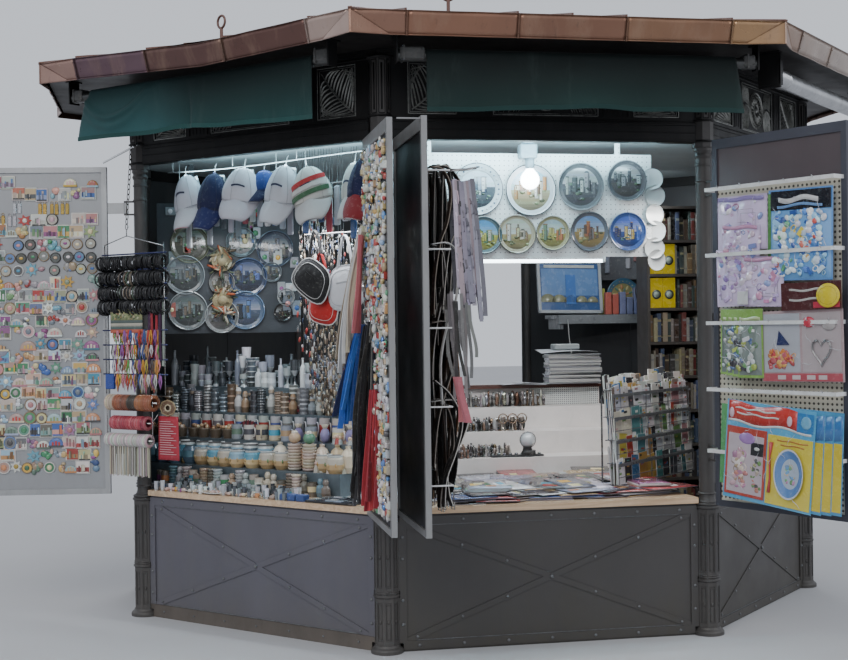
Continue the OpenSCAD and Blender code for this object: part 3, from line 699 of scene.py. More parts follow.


# Colours of the five sheets per face: partly the sheets' own differing tone, partly painted light. Face 1's pale sheets
# are a painted reflection of the bright sky, face 7's lighter end sheets are painted light on the corner facets and its
# bluish second sheet a painted sheen, and face 0's golden last sheet is a painted highlight.
SHEET_TONE_AND_SHEEN = {
    0: [(.32, .175, .12), (.30, .155, .10), (.28, .145, .092), (.31, .17, .10), (.44, .27, .14)],
    1: [(.40, .28, .21), (.48, .40, .34), (.52, .45, .39), (.48, .40, .35), (.40, .28, .21)],
    7: [(.40, .25, .21), (.150, .090, .112), (.125, .066, .058), (.135, .070, .058), (.50, .38, .33)],
}
eave = MB()
for k in range(8):
    a, b, l, u = rim(k, OVERHANG)
    n = nrm(k)
    ss = seam_at(l)
    tints = SHEET_TONE_AND_SHEEN.get(k) or [mul((.26, .135, .09), rnd.uniform(.75, 1.25)) for _ in range(5)]
    for i in range(5):
        s0, s1 = ss[i], ss[i + 1]
        eave.col = tints[i]
        ph, pq = rnd.uniform(0, 6), rnd.uniform(0, 6)
        am = rnd.uniform(.0012, .0026)

        def surf(s, t, i=i, s0=s0, s1=s1, a=a, u=u, n=n, l=l, ph=ph, pq=pq, am=am, k=k):
            q = s / .186 if i == 0 else ((l - s) / .186 if i == 4 else 9.)
            lean = LEAN * min(1 - t, q)
            edge = min(s - s0, s1 - s) / .03
            wave = am * math.sin(ph + s * 19) * math.sin(pq + t * 4) * min(1., max(0., edge))
            z = EAVE_Z + FASCIA_H * t - (sagz(s / l) if k == 7 else 0)
            p = a + u * s - n * (lean - wave)
            return (p.x, p.y, z)
        if i == 0:
            eave.grid(lambda x, y: surf(.0006 + (.186 * (1 - y)) * x, y), 5, 4, None, False, .0013)
            eave.grid(lambda x, y: surf(lerp(.186 * (1 - y) + .0006, s1 - .0008, x), y), 10, 5, None, True, .0013)
        elif i == 4:
            eave.grid(lambda x, y: surf(lerp(s0 + .0008, l - .186 * (1 - y) - .0006, x), y), 10, 5, None, True, .0013)
            eave.grid(lambda x, y: surf(l - .0006 - (.186 * (1 - y)) * (1 - x), y), 5, 4, None, False, .0013)
        else:
            eave.grid(lambda x, y: surf(lerp(s0 + .0008, s1 - .0008, x), y), 20, 5, None, True, .0013)
        # rolled hem under the sheet and turned edge over it
        eave.col = mul(tints[i], .8)
        m = 14
        fold = [.186] if i == 0 else ([l - .186] if i == 4 else [])
        at_s = sorted([lerp(s0, s1, w / m) for w in range(m + 1)] + fold)
        eave.tube([surf(q, 0) for q in at_s], .0034, 6, None)
        eave.tube([surf(q, 1) for q in at_s], .0026, 6, None)
    # standing cover strips over the seams
    for i in range(1, 5):
        s = ss[i]
        dz = sagz(s / l) if k == 7 else 0
        p0 = a + u * s - n * LEAN + Vector((0, 0, EAVE_Z - .004 - dz))
        p1 = a + u * s + Vector((0, 0, ROOF_Z + .002 - dz))
        eave.col = mul(tints[i], .62)
        bar(eave, p0, p1, .0085, .0035, tuple(n), .001)
        for t in (.22, .78):
            q = p0.lerp(p1, t)
            eave.ball((q.x + n.x * .005, q.y + n.y * .005, q.z), .0035, None, 6, 4)
    # folded corner
    c = off(k, OVERHANG)
    eave.col = mul(tints[0], .9)
    nn = (nrm(k - 1) + nrm(k)).normalized()
    bar(eave, (c.x - nn.x * .002, c.y - nn.y * .002, EAVE_Z - .002), (c.x - nn.x * .002, c.y - nn.y * .002, ROOF_Z + .002), .010, .004, tuple(nn), .0015)
eave_ob = eave.build("eave_sheets", [COPPER], "kiosk")
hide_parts("eave_fascia")

roof = MB()
roof.col = (.24, .13, .10)
for k in range(8):
    a, b, l, u = rim(k, .520)
    n = nrm(k)
    run = a.dot(n)
    sa = (-a).dot(u)
    for s in seam_at(l)[1:5] + [l * .5]:
        dm = run * (s / sa if s < sa else (l - s) / (l - sa)) - .03
        pts = [roof_point(k, s, lerp(.030, dm, t / 5)) for t in range(6)]
        for p, q in zip(pts, pts[1:]):
            bar(roof, p, q, .009, .011, (0, 0, 1))
    pts = [roof_point(k, .002, .0) + (Vector((0, 0, ROOF_Z + ROOF_RISE)) - roof_point(k, .002, .0)) * (t / 4) for t in range(5)]
    for p, q in zip(pts, pts[1:]):
        bar(roof, p, q, .022, .010, (0, 0, 1), .003)
roof.lathe([(0, .405), (.13, .372), (.132, .380), (.10, .402), (.05, .425), (.028, .436), (.024, .458), (0, .470)], 16, T3(0, 0, ROOF_Z))
roof.build("roof_seams", [COPPER], "kiosk")


# ------------------------------------------------------------- awning cloths
def cloth_material():
    t = NT("green_teal_awning_cloth")
    a = t.n('ShaderNodeAttribute')
    a.attribute_name = "tint"
    big = t.noise(2.2, 5, .6, (1, 1, .5), .3, .7)
    c = t.mix(t.math('MULTIPLY', big, .35), a.outputs['Color'], (.006, .018, .017))
    d = t.noise(7., 6, .7, (1, 1, .2), .55, .78)
    c = t.mix(t.math('MULTIPLY', d, .22), c, (.075, .11, .10))
    t.color(c)
    t.rough(.72)
    t.set(Sheen_Weight=.06)
    t.b.inputs['Specular IOR Level'].default_value = .25
    s = t.n('ShaderNodeSeparateXYZ')
    t.link(t.pos(), s.inputs[0])
    q = t.math('ADD', s.outputs[0], s.outputs[1])
    w = t.math('MULTIPLY', t.math('SINE', t.math('MULTIPLY', q, 2 * math.pi / .0024)), t.math('SINE', t.math('MULTIPLY', s.outputs[2], 2 * math.pi / .0024)))
    t.bump(t.math('ADD', t.math('MULTIPLY', w, .4), t.noise(40., 3)), .25, .0012)
    return t.m


AWN = cloth_material()


def hang_profile(x, table):
    for (xa, za), (xb, zb) in zip(table, table[1:]):
        if x <= xb:
            t = max(0., (x - xa) / (xb - xa))
            t = t * t * (3 - 2 * t)
            return lerp(za, zb, t)
    return table[-1][1]


def make_awning(name, k, xt0, xt1, xb0, xb1, table, bulge, node):
    RR = .0325
    arc = RR * math.pi / 2
    mb = MB()
    M = FM(k)

    def fn(a, b):
        zb = hang_profile(lerp(xb0, xb1, a), table)
        L = arc + ROLLER_Z - zb
        s = (1 - b) * L
        h = max(0., s - arc) / (L - arc)
        x = lerp(lerp(xt0, xt1, a), lerp(xb0, xb1, a), h)
        if s < arc:
            th = s / RR
            return (x, -ROLLER_OUT - RR * math.sin(th), ROLLER_Z + RR * math.cos(th))
        return (x, -ROLLER_OUT - RR - bulge(x, h), ROLLER_Z - (s - arc))
    mb.col = (.013, .045, .040)
    mb.grid(fn, 120, 34, M, True, .0011)
    # painted light and shade: each cloth is painted darker towards the top (hi) as painted shadow under the eave and
    # lighter towards its foot (lo); the first third of the left cloth, which hangs fuller, is painted lighter still as
    # painted light, and the front cloth gets a painted highlight band around x .95
    for i, f in enumerate(mb.f):
        p = M.inverted() @ Vector(mb.v[f[0]])
        h = min(1., max(0., (ROLLER_Z - p.z) / .50))
        h = h * h * (3 - 2 * h)
        if k == 7:
            t = 1 / (1 + math.exp((p.x - .60) / .06))
            lo = tuple(lerp(w, q, t) for q, w in zip((.046, .165, .175), (.016, .086, .082)))
            hi = tuple(lerp(w, q, t) for q, w in zip((.010, .040, .042), (.0030, .0115, .0115)))
        else:
            t = 1 / (1 + math.exp((p.x - .45) / .15))
            w = math.exp(-((p.x - .95) / .16) ** 2) * .5
            lo = tuple(lerp(a, q, t) * (1 + w) for q, a in zip((.013, .045, .040), (.015, .055, .048)))
            hi = (.0030, .0058, .0056)
        mb.c[i] = tuple(lerp(w, q, h) for q, w in zip(lo, hi))
    hem = MB()
    # hem: a doubled strip along the lower edge
    # painted light: the left cloth's hem is painted lighter than the front one's, matching that cloth's painted light
    hem.col = (.008, .036, .033) if k == 0 else (.013, .064, .060)
    pts = []
    for i in range(61):
        p = Vector(fn(i / 60, 0))
        pts.append((p.x, p.y - .0018, p.z + .010))
    n = len(pts)
    v, f = [], []
    for x, y, z in pts:
        v += [(x, y, z + .012), (x, y - .0016, z + .011), (x, y - .0016, z - .010), (x, y + .0004, z - .011)]
    for i in range(n - 1):
        for j in range(4):
            f.append((4 * i + j, 4 * i + (j + 1) % 4, 4 * i + 4 + (j + 1) % 4, 4 * i + 4 + j))
    f += [(3, 2, 1, 0), (4 * n - 4, 4 * n - 3, 4 * n - 2, 4 * n - 1)]
    hem.add(v, f, M, False)
    hob = hem.build(name + "_hem", [AWN], "kiosk")
    ob = mb.build(name, [AWN], "kiosk")
    # cut: width between the roller ends, and a quarter turn on the roller plus the drop to the hem
    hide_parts(node)


def bulge_front(x, h):
    return h * (.010 + .008 * math.sin(x * 9.3 + 1) + .006 * math.sin(x * 23 + 2.2 * h)) + \
        .004 * math.exp(-((x - .45 - .22 * h) / .05) ** 2) * h + .003 * math.sin(x * 5 + h * 7) * h * (1 - h) * 3


def bulge_left(x, h):
    z = h * .245
    d = x - .2
    u = .018 + .125 * max(0., 1 - (d / .23) ** 2)
    q = max(0., 1 - (d / .30) ** 2)
    fold = (.027 * math.exp(-((z - u) / .018) ** 2) + .014 * math.exp(-((z - u - .045) / .022) ** 2)) * q
    crease = -.018 * math.exp(-((x - .724) / .022) ** 2) * min(1., h * 1.6) + .007 * math.exp(-((x - .765) / .03) ** 2) * h
    full = .030 * math.exp(-((x - .10) / .3) ** 2) * math.sin(min(1., h) * 2.2)
    return h * (.008 + .005 * math.sin(x * 8.1) + .0035 * math.sin(x * 21 + 3 * h)) + fold + crease + full


make_awning("front_awning_sheet", 0, .162, 1.690, .160, 1.726,
            [(.160, 2.580), (.774, 2.597), (.970, 2.610), (1.218, 2.597), (1.726, 2.599)], bulge_front, "front_awning_cloth")
make_awning("left_awning_sheet", 7, -.001, 1.528, -.057, 1.534,
            [(-.057, 2.600), (.478, 2.592), (.657, 2.604), (1.004, 2.583), (1.534, 2.570)], bulge_left, "left_awning_cloth")

# roller end boxes, ribbed strip and collars
rollers = MB()
for k, x0, x1, z0, z1 in ((0, .040, .157, 2.821, 2.884), (7, 1.534, 1.620, 2.835, 2.897), (7, -.135, -.062, 2.822, 2.884), (0, 1.732, 1.790, 2.822, 2.884)):
    rollers.box(x0, x1, -ROLLER_OUT - .036, -ROLLER_OUT + .034, z0, z1, FM(k), .008)
    rollers.box(x0 + .012, x0 + .022, -ROLLER_OUT - .040, -ROLLER_OUT + .036, z0 - .004, z1 + .004, FM(k), .002)
    for zz in (z0 + .014, z1 - .014):
        bolt(rollers, x1 - .014, zz, -ROLLER_OUT - .036, FM(k), .0045, 6)
rollers.mat = 1
for i in range(16):
    x = .085 + i * .012
    rollers.lathe([(.0455, 0), (.0490, .002), (.0490, .006), (.0455, .008)], 20, FM(1) @ T3(x, -ROLLER_OUT, ROLLER_Z - .025) @ rot(90, 'Y'))
rollers.mat = 2
rollers.box(.066, .084, -ROLLER_OUT - .058, -ROLLER_OUT + .058, 2.755, 2.932, FM(1), .004)
rollers.box(.066, .110, -ROLLER_OUT - .056, -ROLLER_OUT - .046, 2.770, 2.90, FM(1), .002)
rollers.mat = 1
rollers.lathe([(0, 0), (.050, 0), (.050, .016), (.047, .02), (0, .02)], 20, FM(1) @ T3(1.54, -ROLLER_OUT, ROLLER_Z - .025) @ rot(90, 'Y'))
# painted shade: the grey cast end boxes are painted near black for the shade they sit in under the eave
ENDBOX = paint("pale_cast_end_box", (.070, .070, .068), .5, .2, .2, 8., (.16, .15, .14), .5, None, .3, 160.)
rollers.build("roller_fittings", [ENDBOX, SILVER, BLACK], "kiosk")


# --------------------------------------------------------- frieze ornament
def ornament_material():
    t = NT("worn_ornament_metal")
    big = t.noise(14., 4, .6, (1, 1, 1), .25, .75)
    c = t.mix(big, (.46, .47, .44), (.20, .20, .19))
    d = t.noise(60., 3, .7, (1, 1, 1), .54, .68)
    c = t.mix(t.math('MULTIPLY', d, .7), c, (.03, .03, .03))
    t.color(c)
    t.rough(.42)
    t.set(Metallic=.55)
    t.bump(t.noise(160., 2), .3, .001)
    return t.m


ORN = ornament_material()


def panel_spans(l):
    if l < 1.:
        return [(.110, l - .110)]
    m = (.128, .252, .174) if l > 1.55 else (.095, .272, .126)
    return [(m[0], m[0] + m[1]), (m[0] + m[1] + m[2], l - m[0] - m[1] - m[2]), (l - m[0] - m[1], l - m[0])]


PZ0, PZ1 = 2.620, 2.886


def curve3(p0, p1, p2, n=7):
    out = []
    for i in range(n + 1):
        t = i / n
        out.append((lerp(lerp(p0[0], p1[0], t), lerp(p1[0], p2[0], t), t), lerp(lerp(p0[1], p1[1], t), lerp(p1[1], p2[1], t), t)))
    return out


def taper(n, w, w0=.25):
    return [w * (w0 + (1 - w0) * math.sin(math.pi * min(1., .12 + .88 * i / n)) ** .8) for i in range(n + 1)]


def fan_panel(mb, x0, x1, M, flip):
    """Diagonal rib with close curved strokes fanning off both sides of it."""
    w, h = x1 - x0, PZ1 - PZ0
    e = .022

    def P(u, v):
        u, v = min(1., max(0., u)), min(1., max(0., v))
        u = 1 - u if flip else u
        return (x0 + e + (w - 2 * e) * u, PZ0 + e + (h - 2 * e) * v)
    rib = curve3(P(.02, .02), P(.52, .34), P(.98, .97), 10)
    stroke(mb, rib, taper(10, .011, .4), -.0125, .008, M)
    n = 11
    for i in range(n):
        t = .06 + i * .86 / n
        bx, bz = t, t * (.66 + .34 * t)
        q = .40 + .16 * math.sin(t * 3.1)
        r = .03 * math.sin(i * 2.7)
        stroke(mb, curve3(P(bx, bz + .03), P(bx - .05, bz + q * .62), P(bx - .30 + r, bz + q + .22), 7), taper(7, .0088), -.0125, .0065, M)
        stroke(mb, curve3(P(bx + .04, bz), P(bx + q * .62, bz - .04), P(bx + q + .22, bz - .28 + r), 7), taper(7, .0088), -.0125, .0065, M)
    for i in range(5):
        t = i / 5
        stroke(mb, curve3(P(0., .42 + .12 * i), P(.08 + .05 * i, .58 + .1 * i), P(.03 + .08 * i, .98), 5), taper(5, .007), -.0125, .005, M)
        stroke(mb, curve3(P(.50 + .11 * i, 0.), P(.62 + .08 * i, .08 + .03 * i), P(.99, .05 + .07 * i), 5), taper(5, .007), -.0125, .005, M)


def medallion_panel(mb, x0, x1, M):
    """Ring medallion in the middle, sprays of close strokes to both sides."""
    cx, cz = (x0 + x1) / 2, (PZ0 + PZ1) / 2
    for r, w in ((.098, .0075), (.080, .0045), (.034, .006)):
        pts = [(cx + r * math.cos(i * math.pi / 16), cz + r * math.sin(i * math.pi / 16)) for i in range(33)]
        stroke(mb, pts, [w] * 33, -.0125, .0065, M)
    for i in range(18):
        a = i * math.pi / 9
        p0 = (cx + .038 * math.cos(a), cz + .038 * math.sin(a))
        p1 = (cx + .056 * math.cos(a + .28), cz + .056 * math.sin(a + .28))
        p2 = (cx + .076 * math.cos(a + .1), cz + .076 * math.sin(a + .1))
        stroke(mb, curve3(p0, p1, p2, 4), taper(4, .0075), -.0125, .006, M)
    for i in range(28):
        a = i * math.pi / 14
        mb.ball((cx + .089 * math.cos(a), -.0135, cz + .089 * math.sin(a)), .0028, M, 5, 3)
    mb.lathe([(0, 0), (.014, 0), (.012, .006), (.004, .010), (0, .010)], 12, M @ T3(cx, -.012, cz) @ rot(90, 'X'))
    half = (x1 - x0) / 2 - .122
    for sg in (-1, 1):
        def P(u, v):
            u, v = min(1., max(0., u)), min(1., max(0., v))
            return (cx + sg * (.108 + half * u), PZ0 + .020 + (PZ1 - PZ0 - .040) * v)
        stroke(mb, curve3(P(0, .5), P(.5, .66), P(.98, .40), 10), taper(10, .010, .4), -.0125, .008, M)
        m = 11 if half > .1 else 5
        for i in range(m):
            t = .03 + i * .93 / m
            z = .5 + .11 * math.sin(t * 3.1)
            r = .03 * math.sin(i * 3.3)
            stroke(mb, curve3(P(t, z + .03), P(t + .02, .78), P(t + .17, .98 + r), 6), taper(6, .0082), -.0125, .0065, M)
            stroke(mb, curve3(P(t, z - .03), P(t + .02, .22), P(t + .17, .02 - r), 6), taper(6, .0082), -.0125, .0065, M)


orn = MB()
for k in range(8):
    M = FM(k)
    sp = panel_spans(FL[k])
    for j, (x0, x1) in enumerate(sp):
        for q in (.0055, .0155):
            w = .0032 if q < .01 else .0016
            for xx0, xx1, zz0, zz1 in ((x0 + q, x1 - q, PZ0 + q, PZ0 + q + w), (x0 + q, x1 - q, PZ1 - q - w, PZ1 - q),
                                       (x0 + q, x0 + q + w, PZ0 + q, PZ1 - q), (x1 - q - w, x1 - q, PZ0 + q, PZ1 - q)):
                y = -.0225 if q < .01 else -.0150
                orn.box(xx0, xx1, y, y + .004, zz0, zz1, M)
        if len(sp) == 3 and j != 1:
            fan_panel(orn, x0, x1, M, j == 2)
        else:
            medallion_panel(orn, x0, x1, M)
orn.build("frieze_ornament", [ORN], "kiosk")

# mouldings and small ribs of the frieze, heads and lintels
trim = MB()
for k in range(8):
    M, l = FM(k), FL[k]
    for z0, z1, y in ((2.604, 2.610, -.027), (2.892, 2.900, -.028), (2.503, 2.511, -.036), (2.585, 2.594, -.036), (2.546, 2.552, -.033)):
        trim.box(.052, l - .052, y, -.020, z0, z1, M, .0015)
    sp = panel_spans(l)
    edges = [.056] + [q for p in sp for q in p] + [l - .056]
    for a, b in zip(edges[0::2], edges[1::2]):
        if b - a > .09:
            for x in (a + .022, b - .022):
                trim.box(x - .004, x + .004, -.026, -.021, 2.625, 2.882, M, .0015)
            m = int((b - a - .06) / .022)
            for i in range(1, m):
                x = lerp(a + .022, b - .022, i / m)
                trim.box(x - .0022, x + .0022, -.0240, -.0215, 2.632, 2.875, M)
    c = CORNER[k]
    Cm = T3(c[0], c[1], 0)
    for i in range(8):
        Q = Cm @ rot(45 * i, 'Z')
        # facets of the octagonal head: raised frames with a middle flute
        for y in (-.0155, .0155):
            trim.box(.0495, .0530, y - .002, y + .002, 2.625, 2.880, Q, .0008)
        trim.box(.0495, .0525, -.0155, .0155, 2.621, 2.626, Q, .0008)
        trim.box(.0495, .0525, -.0155, .0155, 2.879, 2.884, Q, .0008)
        trim.tube([(.0500, 0, 2.640), (.0500, 0, 2.866)], .0045, 6, Q)
    trim.lathe([(.052, 2.606), (.060, 2.609), (.062, 2.613), (.058, 2.617), (.052, 2.618)], 24, Cm)
    trim.lathe([(.052, 2.5005), (.059, 2.502), (.061, 2.5075), (.056, 2.512), (.052, 2.513)], 24, Cm)
    trim.lathe([(.052, 2.888), (.062, 2.891), (.066, 2.898), (.060, 2.904), (.052, 2.905)], 24, Cm)
trim.build("frieze_mouldings", [BLACK], "kiosk")

# ------------------------------------------------- base walls and pedestals
fix = MB()
for k in range(8):
    M, l = FM(k), FL[k]
    x0 = .920 if k == 4 else .057
    x1 = l - .057
    n = max(2, int(round((x1 - x0) / .215)))
    for i in range(n):
        x = lerp(x0 + .1, x1 - .1, i / (n - 1)) if n > 2 else lerp(x0 + .12, x1 - .12, i)
        bolt(fix, x, .639, -.020, M)
        if k != 7:
            bolt(fix, x, .030, -.020, M)
    zb = .071 if k == 7 else .052
    for x in (x0 + .020, x1 - .020):
        for z in (.135, .253, .455, .56):
            bolt(fix, x, z, -.020, M)
    cx, cz = (x0 + x1) / 2, (zb + .618) / 2
    hx, hz = (x1 - x0) / 2 - .04, (.618 - zb) / 2
    for sx in (-1, 1):
        for sz in (-1, 1):
            for t in (.31, .62, .93):
                bolt(fix, cx + sx * hx * t, cz + sz * hz * t, -.017, M, .0075)
    bolt(fix, cx, cz, -.0185, M, .010)
    if k == 7:
        for i in range(7):
            bolt(fix, lerp(.16, l - .16, i / 6), .035, -.019, M, .006)
    # rubbed bead where the sheet meets the rail
    fix.box(x0 + .0405, x1 - .0405, -.0150, -.0118, .614, .6175, M)
    fix.box(x0 + .0405, x1 - .0405, -.0150, -.0118, zb + .0005, zb + .004, M)
BOLTM = paint("rubbed_bolt_heads", (.16, .165, .17), .42, .35, .3, 30., (.06, .05, .045), .6, None, .2, 200.)
fix.build("base_bolts", [BOLTM], "kiosk")

ped = MB()
for k in range(8):
    c = CORNER[k]
    Cm = T3(c[0], c[1], 0)
    for i in range(8):
        Q = Cm @ rot(45 * i, 'Z')
        for z0, z1 in ((.066, .244), (.324, .614)):
            # slim raised bead inside each sunk panel of the pedestal
            ped.box(.0535, .0560, -.0105, -.0085, z0 + .006, z1 - .006, Q)
            ped.box(.0535, .0560, .0085, .0105, z0 + .006, z1 - .006, Q)
            ped.box(.0535, .0560, -.0105, .0105, z0 + .004, z0 + .007, Q)
            ped.box(.0535, .0560, -.0105, .0105, z1 - .007, z1 - .004, Q)
            zc = (z0 + z1) / 2
            ped.ball((.0540, 0, zc), .0075, Q, 6, 4, (.5, 1, 1.6))
    for z in (.2985, .6615):
        ped.lathe([(.056, z), (.0605, z + .002), (.061, z + .006), (.0575, z + .009), (.052, z + .010)], 24, Cm)
    # turned beads on the shaft
    ped.lathe([(.036, .712), (.0445, .714), (.0455, .719), (.042, .724), (.036, .725)], 24, Cm)
    ped.lathe([(.036, 2.300), (.0405, 2.302), (.0415, 2.306), (.0395, 2.310), (.036, 2.311)], 24, Cm)
    ped.lathe([(.036, 2.380), (.0405, 2.382), (.0415, 2.387), (.0395, 2.391), (.036, 2.392)], 24, Cm)
ped.build("column_castings", [CAST], "kiosk")

# ------------------------------------------------------- closed shutters
shut = MB()
for k in (1, 2, 3, 4, 5, 6):
    M, l = FM(k), FL[k]
    spans = []
    if l < 1.:
        spans = [(.062, l - .062, .72, 2.478)]
    elif k == 4:
        spans = [(.935, l - .062, .72, 2.478), (.062, .90, 2.160, 2.478)]
    else:
        spans = [(.062, l / 2 - .006, .72, 2.478), (l / 2 + .006, l - .062, .72, 2.478)]
    for x0, x1, z0, z1 in spans:
        # frame bars on the boards and ribs pressed between them
        for a, b, c2, d in ((x0, x1, z0, z0 + .045), (x0, x1, z1 - .045, z1), (x0, x0 + .04, z0, z1), (x1 - .04, x1, z0, z1)):
            shut.box(a, b, -.016, -.0095, c2, d, M, .002)
        w = x1 - x0 - .12
        m = max(3, int(w / .11))
        for i in range(m):
            x = x0 + .06 + w * (i + .5) / m
            if z1 - z0 > .5:
                for za, zb2 in ((z0 + .07, (z0 + z1) / 2 - .03), ((z0 + z1) / 2 + .03, z1 - .07)):
                    shut.tube([(x, -.010, za), (x, -.0105, zb2)], .0055, 6, M)
        if z1 - z0 > .5:
            zc = (z0 + z1) / 2
            shut.box(x0 + .04, x1 - .04, -.0145, -.0095, zc - .02, zc + .02, M, .002)
            for z in (z0 + .2, zc, z1 - .2):
                shut.tube([(x0 + .003, -.018, z - .035), (x0 + .003, -.018, z + .035)], .006, 8, M)
                for s in (-.025, .025):
                    bolt(shut, x0 + .022, z + s, -.016, M, .005, 7)
            xh = x1 - .065
            shut.box(xh - .012, xh + .012, -.020, -.0145, zc - .05, zc + .05, M, .002)
            shut.tube([(xh, -.020, zc - .03), (xh, -.038, zc - .024), (xh, -.038, zc + .024), (xh, -.020, zc + .03)], .004, 7, M)
# door handle and panels of the rear leaf, which stands square to its wall
M = FM(4) @ T3(.844, 0, 0) @ rot(90, 'Z')
for y, s in ((0.0005, 1), (-.0365, -1)):
    for z0, z1 in ((.18, .72), (.80, 1.98)):
        for a, b, c2, d in ((-.80, -.07, z0, z0 + .04), (-.80, -.07, z1 - .04, z1), (-.80, -.76, z0, z1), (-.11, -.07, z0, z1)):
            shut.box(a, b, y - .003, y + .003, c2, d, M, .0015)
    shut.cyl((-.79, y, 1.02), (-.79, y + s * .035, 1.02), .008, 10, M)
    shut.tube([(-.79, y + s * .035, 1.02), (-.76, y + s * .038, 1.02), (-.70, y + s * .036, 1.02)], .007, 8, M)
shut.build("shutter_fittings", [SHUT], "kiosk")

# ------------------------------------------------------------- lamps
lamps = MB()
M0 = FM(0)
lamps.mat = 0
lamps.box(.782, .872, .295, .365, 2.454, 2.530, M0, .006)
lamps.box(.800, .856, .305, .355, 2.530, 2.560, M0, .004)
lamps.lathe([(.019, 2.454), (.024, 2.450), (.024, 2.415), (.019, 2.398), (.012, 2.396), (.012, 2.454)], 20, M0 @ T3(.838, .33, 0))
lamps.mat = 1
lamps.lathe([(0, 2.294), (.018, 2.297), (.036, 2.308), (.047, 2.325), (.050, 2.344), (.047, 2.362), (.037, 2.380), (.024, 2.394), (.019, 2.404), (0, 2.404)], 24, M0 @ T3(.838, .33, 0))
LAMPBOX = paint("lamp_box_grey", (.20, .25, .28), .4, .2, .1, 6., (.1, .12, .13), .4, None, .12, 150.)
lo = lamps.build("lamp_and_bulb", [LAMPBOX, BULB_LIT], "kiosk")
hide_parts("bulb_lamp")
tube = MB()
tube.mat = 0
tube.box(.560, 1.270, .398, .424, 1.932, 1.945, M0, .003)
tube.box(.562, .578, .396, .426, 1.914, 1.945, M0, .003)
tube.box(1.252, 1.268, .396, .426, 1.914, 1.945, M0, .003)
tube.mat = 1
tube.cyl((.577, .410, 1.923), (1.253, .410, 1.923), .0085, 14, M0)
to = tube.build("strip_lamp_tube", [WHITE, TUBE_LIT], "kiosk")
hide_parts("strip_light")
# ---------------------------------------------------------- goods: makers
GM = [GOODS, GLOSS, CERAM, PAPER, CLOTHG, LEATH, SHINY, GLASSG]
G_, W_, C_, P_, T_, L_, M_, X_ = range(8)
PAL = [(.62, .60, .55), (.50, .055, .045), (.045, .13, .40), (.07, .28, .12), (.72, .44, .07), (.08, .36, .52), (.58, .25, .10),
       (.30, .08, .24), (.10, .10, .11), (.78, .77, .73), (.50, .34, .21), (.17, .27, .19), (.30, .52, .66), (.70, .30, .30), (.75, .66, .36)]
BROWNS = [(.30, .17, .08), (.45, .30, .17), (.56, .44, .28), (.20, .12, .07), (.62, .52, .38), (.36, .25, .14)]


def pick(*w):
    return rnd.choice(w if w else PAL)


def jit(c, a=.12):
    k = rnd.uniform(1 - a, 1 + a)
    return tuple(min(.92, max(.004, q * k * rnd.uniform(.94, 1.06))) for q in c)


def away(M, y0, s=1):
    """Frame whose +y stands off the plane y = y0, to the inner or outer side."""
    return M @ T3(0, y0, 0) @ Matrix.Diagonal((1, s, 1, 1))


def disc(mb, Q, x, z, r, col, rimc, t=.005, n=16, m=C_):
    R = Q @ T3(x, 0, z) @ rot(-90, 'X')
    mb.mat, mb.col = m, rimc
    mb.lathe([(r * .80, t * .7), (r * .84, t), (r * .97, t * .9), (r, t * .4), (r, 0), (0, 0)][::-1], n, R)
    mb.col = col
    mb.lathe([(r * .80, t * .7), (0, t * .75)], n, R)


def plate(mb, Q, x, z, r, rimc, ringc, field, motif, petals=9):
    """Glazed plate hung on a board, with a plain ring and flower pattern."""
    R = Q @ T3(x, 0, z) @ rot(-90, 'X')
    mb.mat = C_

    def ring(prof, c):
        mb.col = c
        mb.lathe(prof, 36, R)
    ring([(0, .002), (r * .55, .002), (r, .016), (r, .019)], rimc)
    ring([(r, .019), (r * .965, .0205), (r * .90, .0185)], rimc)
    ring([(r * .90, .0185), (r * .72, .0120)], ringc)
    ring([(r * .72, .0120), (r * .695, .0105)], rimc)
    ring([(r * .695, .0105), (r * .60, .0075), (0, .0070)], field)
    for i in range(24):
        a = i * math.pi / 12
        mb.col = jit(motif[i % len(motif)])
        mb.ball((r * .81 * math.cos(a), r * .81 * math.sin(a), .0152), r * .035, R, 6, 4, (1, 1, .3))
    for ring_r, cnt, size in ((.50, petals, .13), (.30, petals - 2, .12)):
        for i in range(cnt):
            a = 2 * math.pi * i / cnt + ring_r * 5
            mb.col = jit(motif[(i + int(ring_r * 10)) % len(motif)], .2)
            mb.ball((0, 0, 0), r * size, R @ T3(r * ring_r * math.cos(a), r * ring_r * math.sin(a), .0075) @ rot(math.degrees(a), 'Z'), 8, 4, (1.3, .55, .12))
    mb.col = jit(motif[0])
    mb.ball((0, 0, .0075), r * .13, R, 10, 4, (1, 1, .15))


def mix3(a, b, t):
    return tuple(p + (q - p) * t for p, q in zip(a, b))


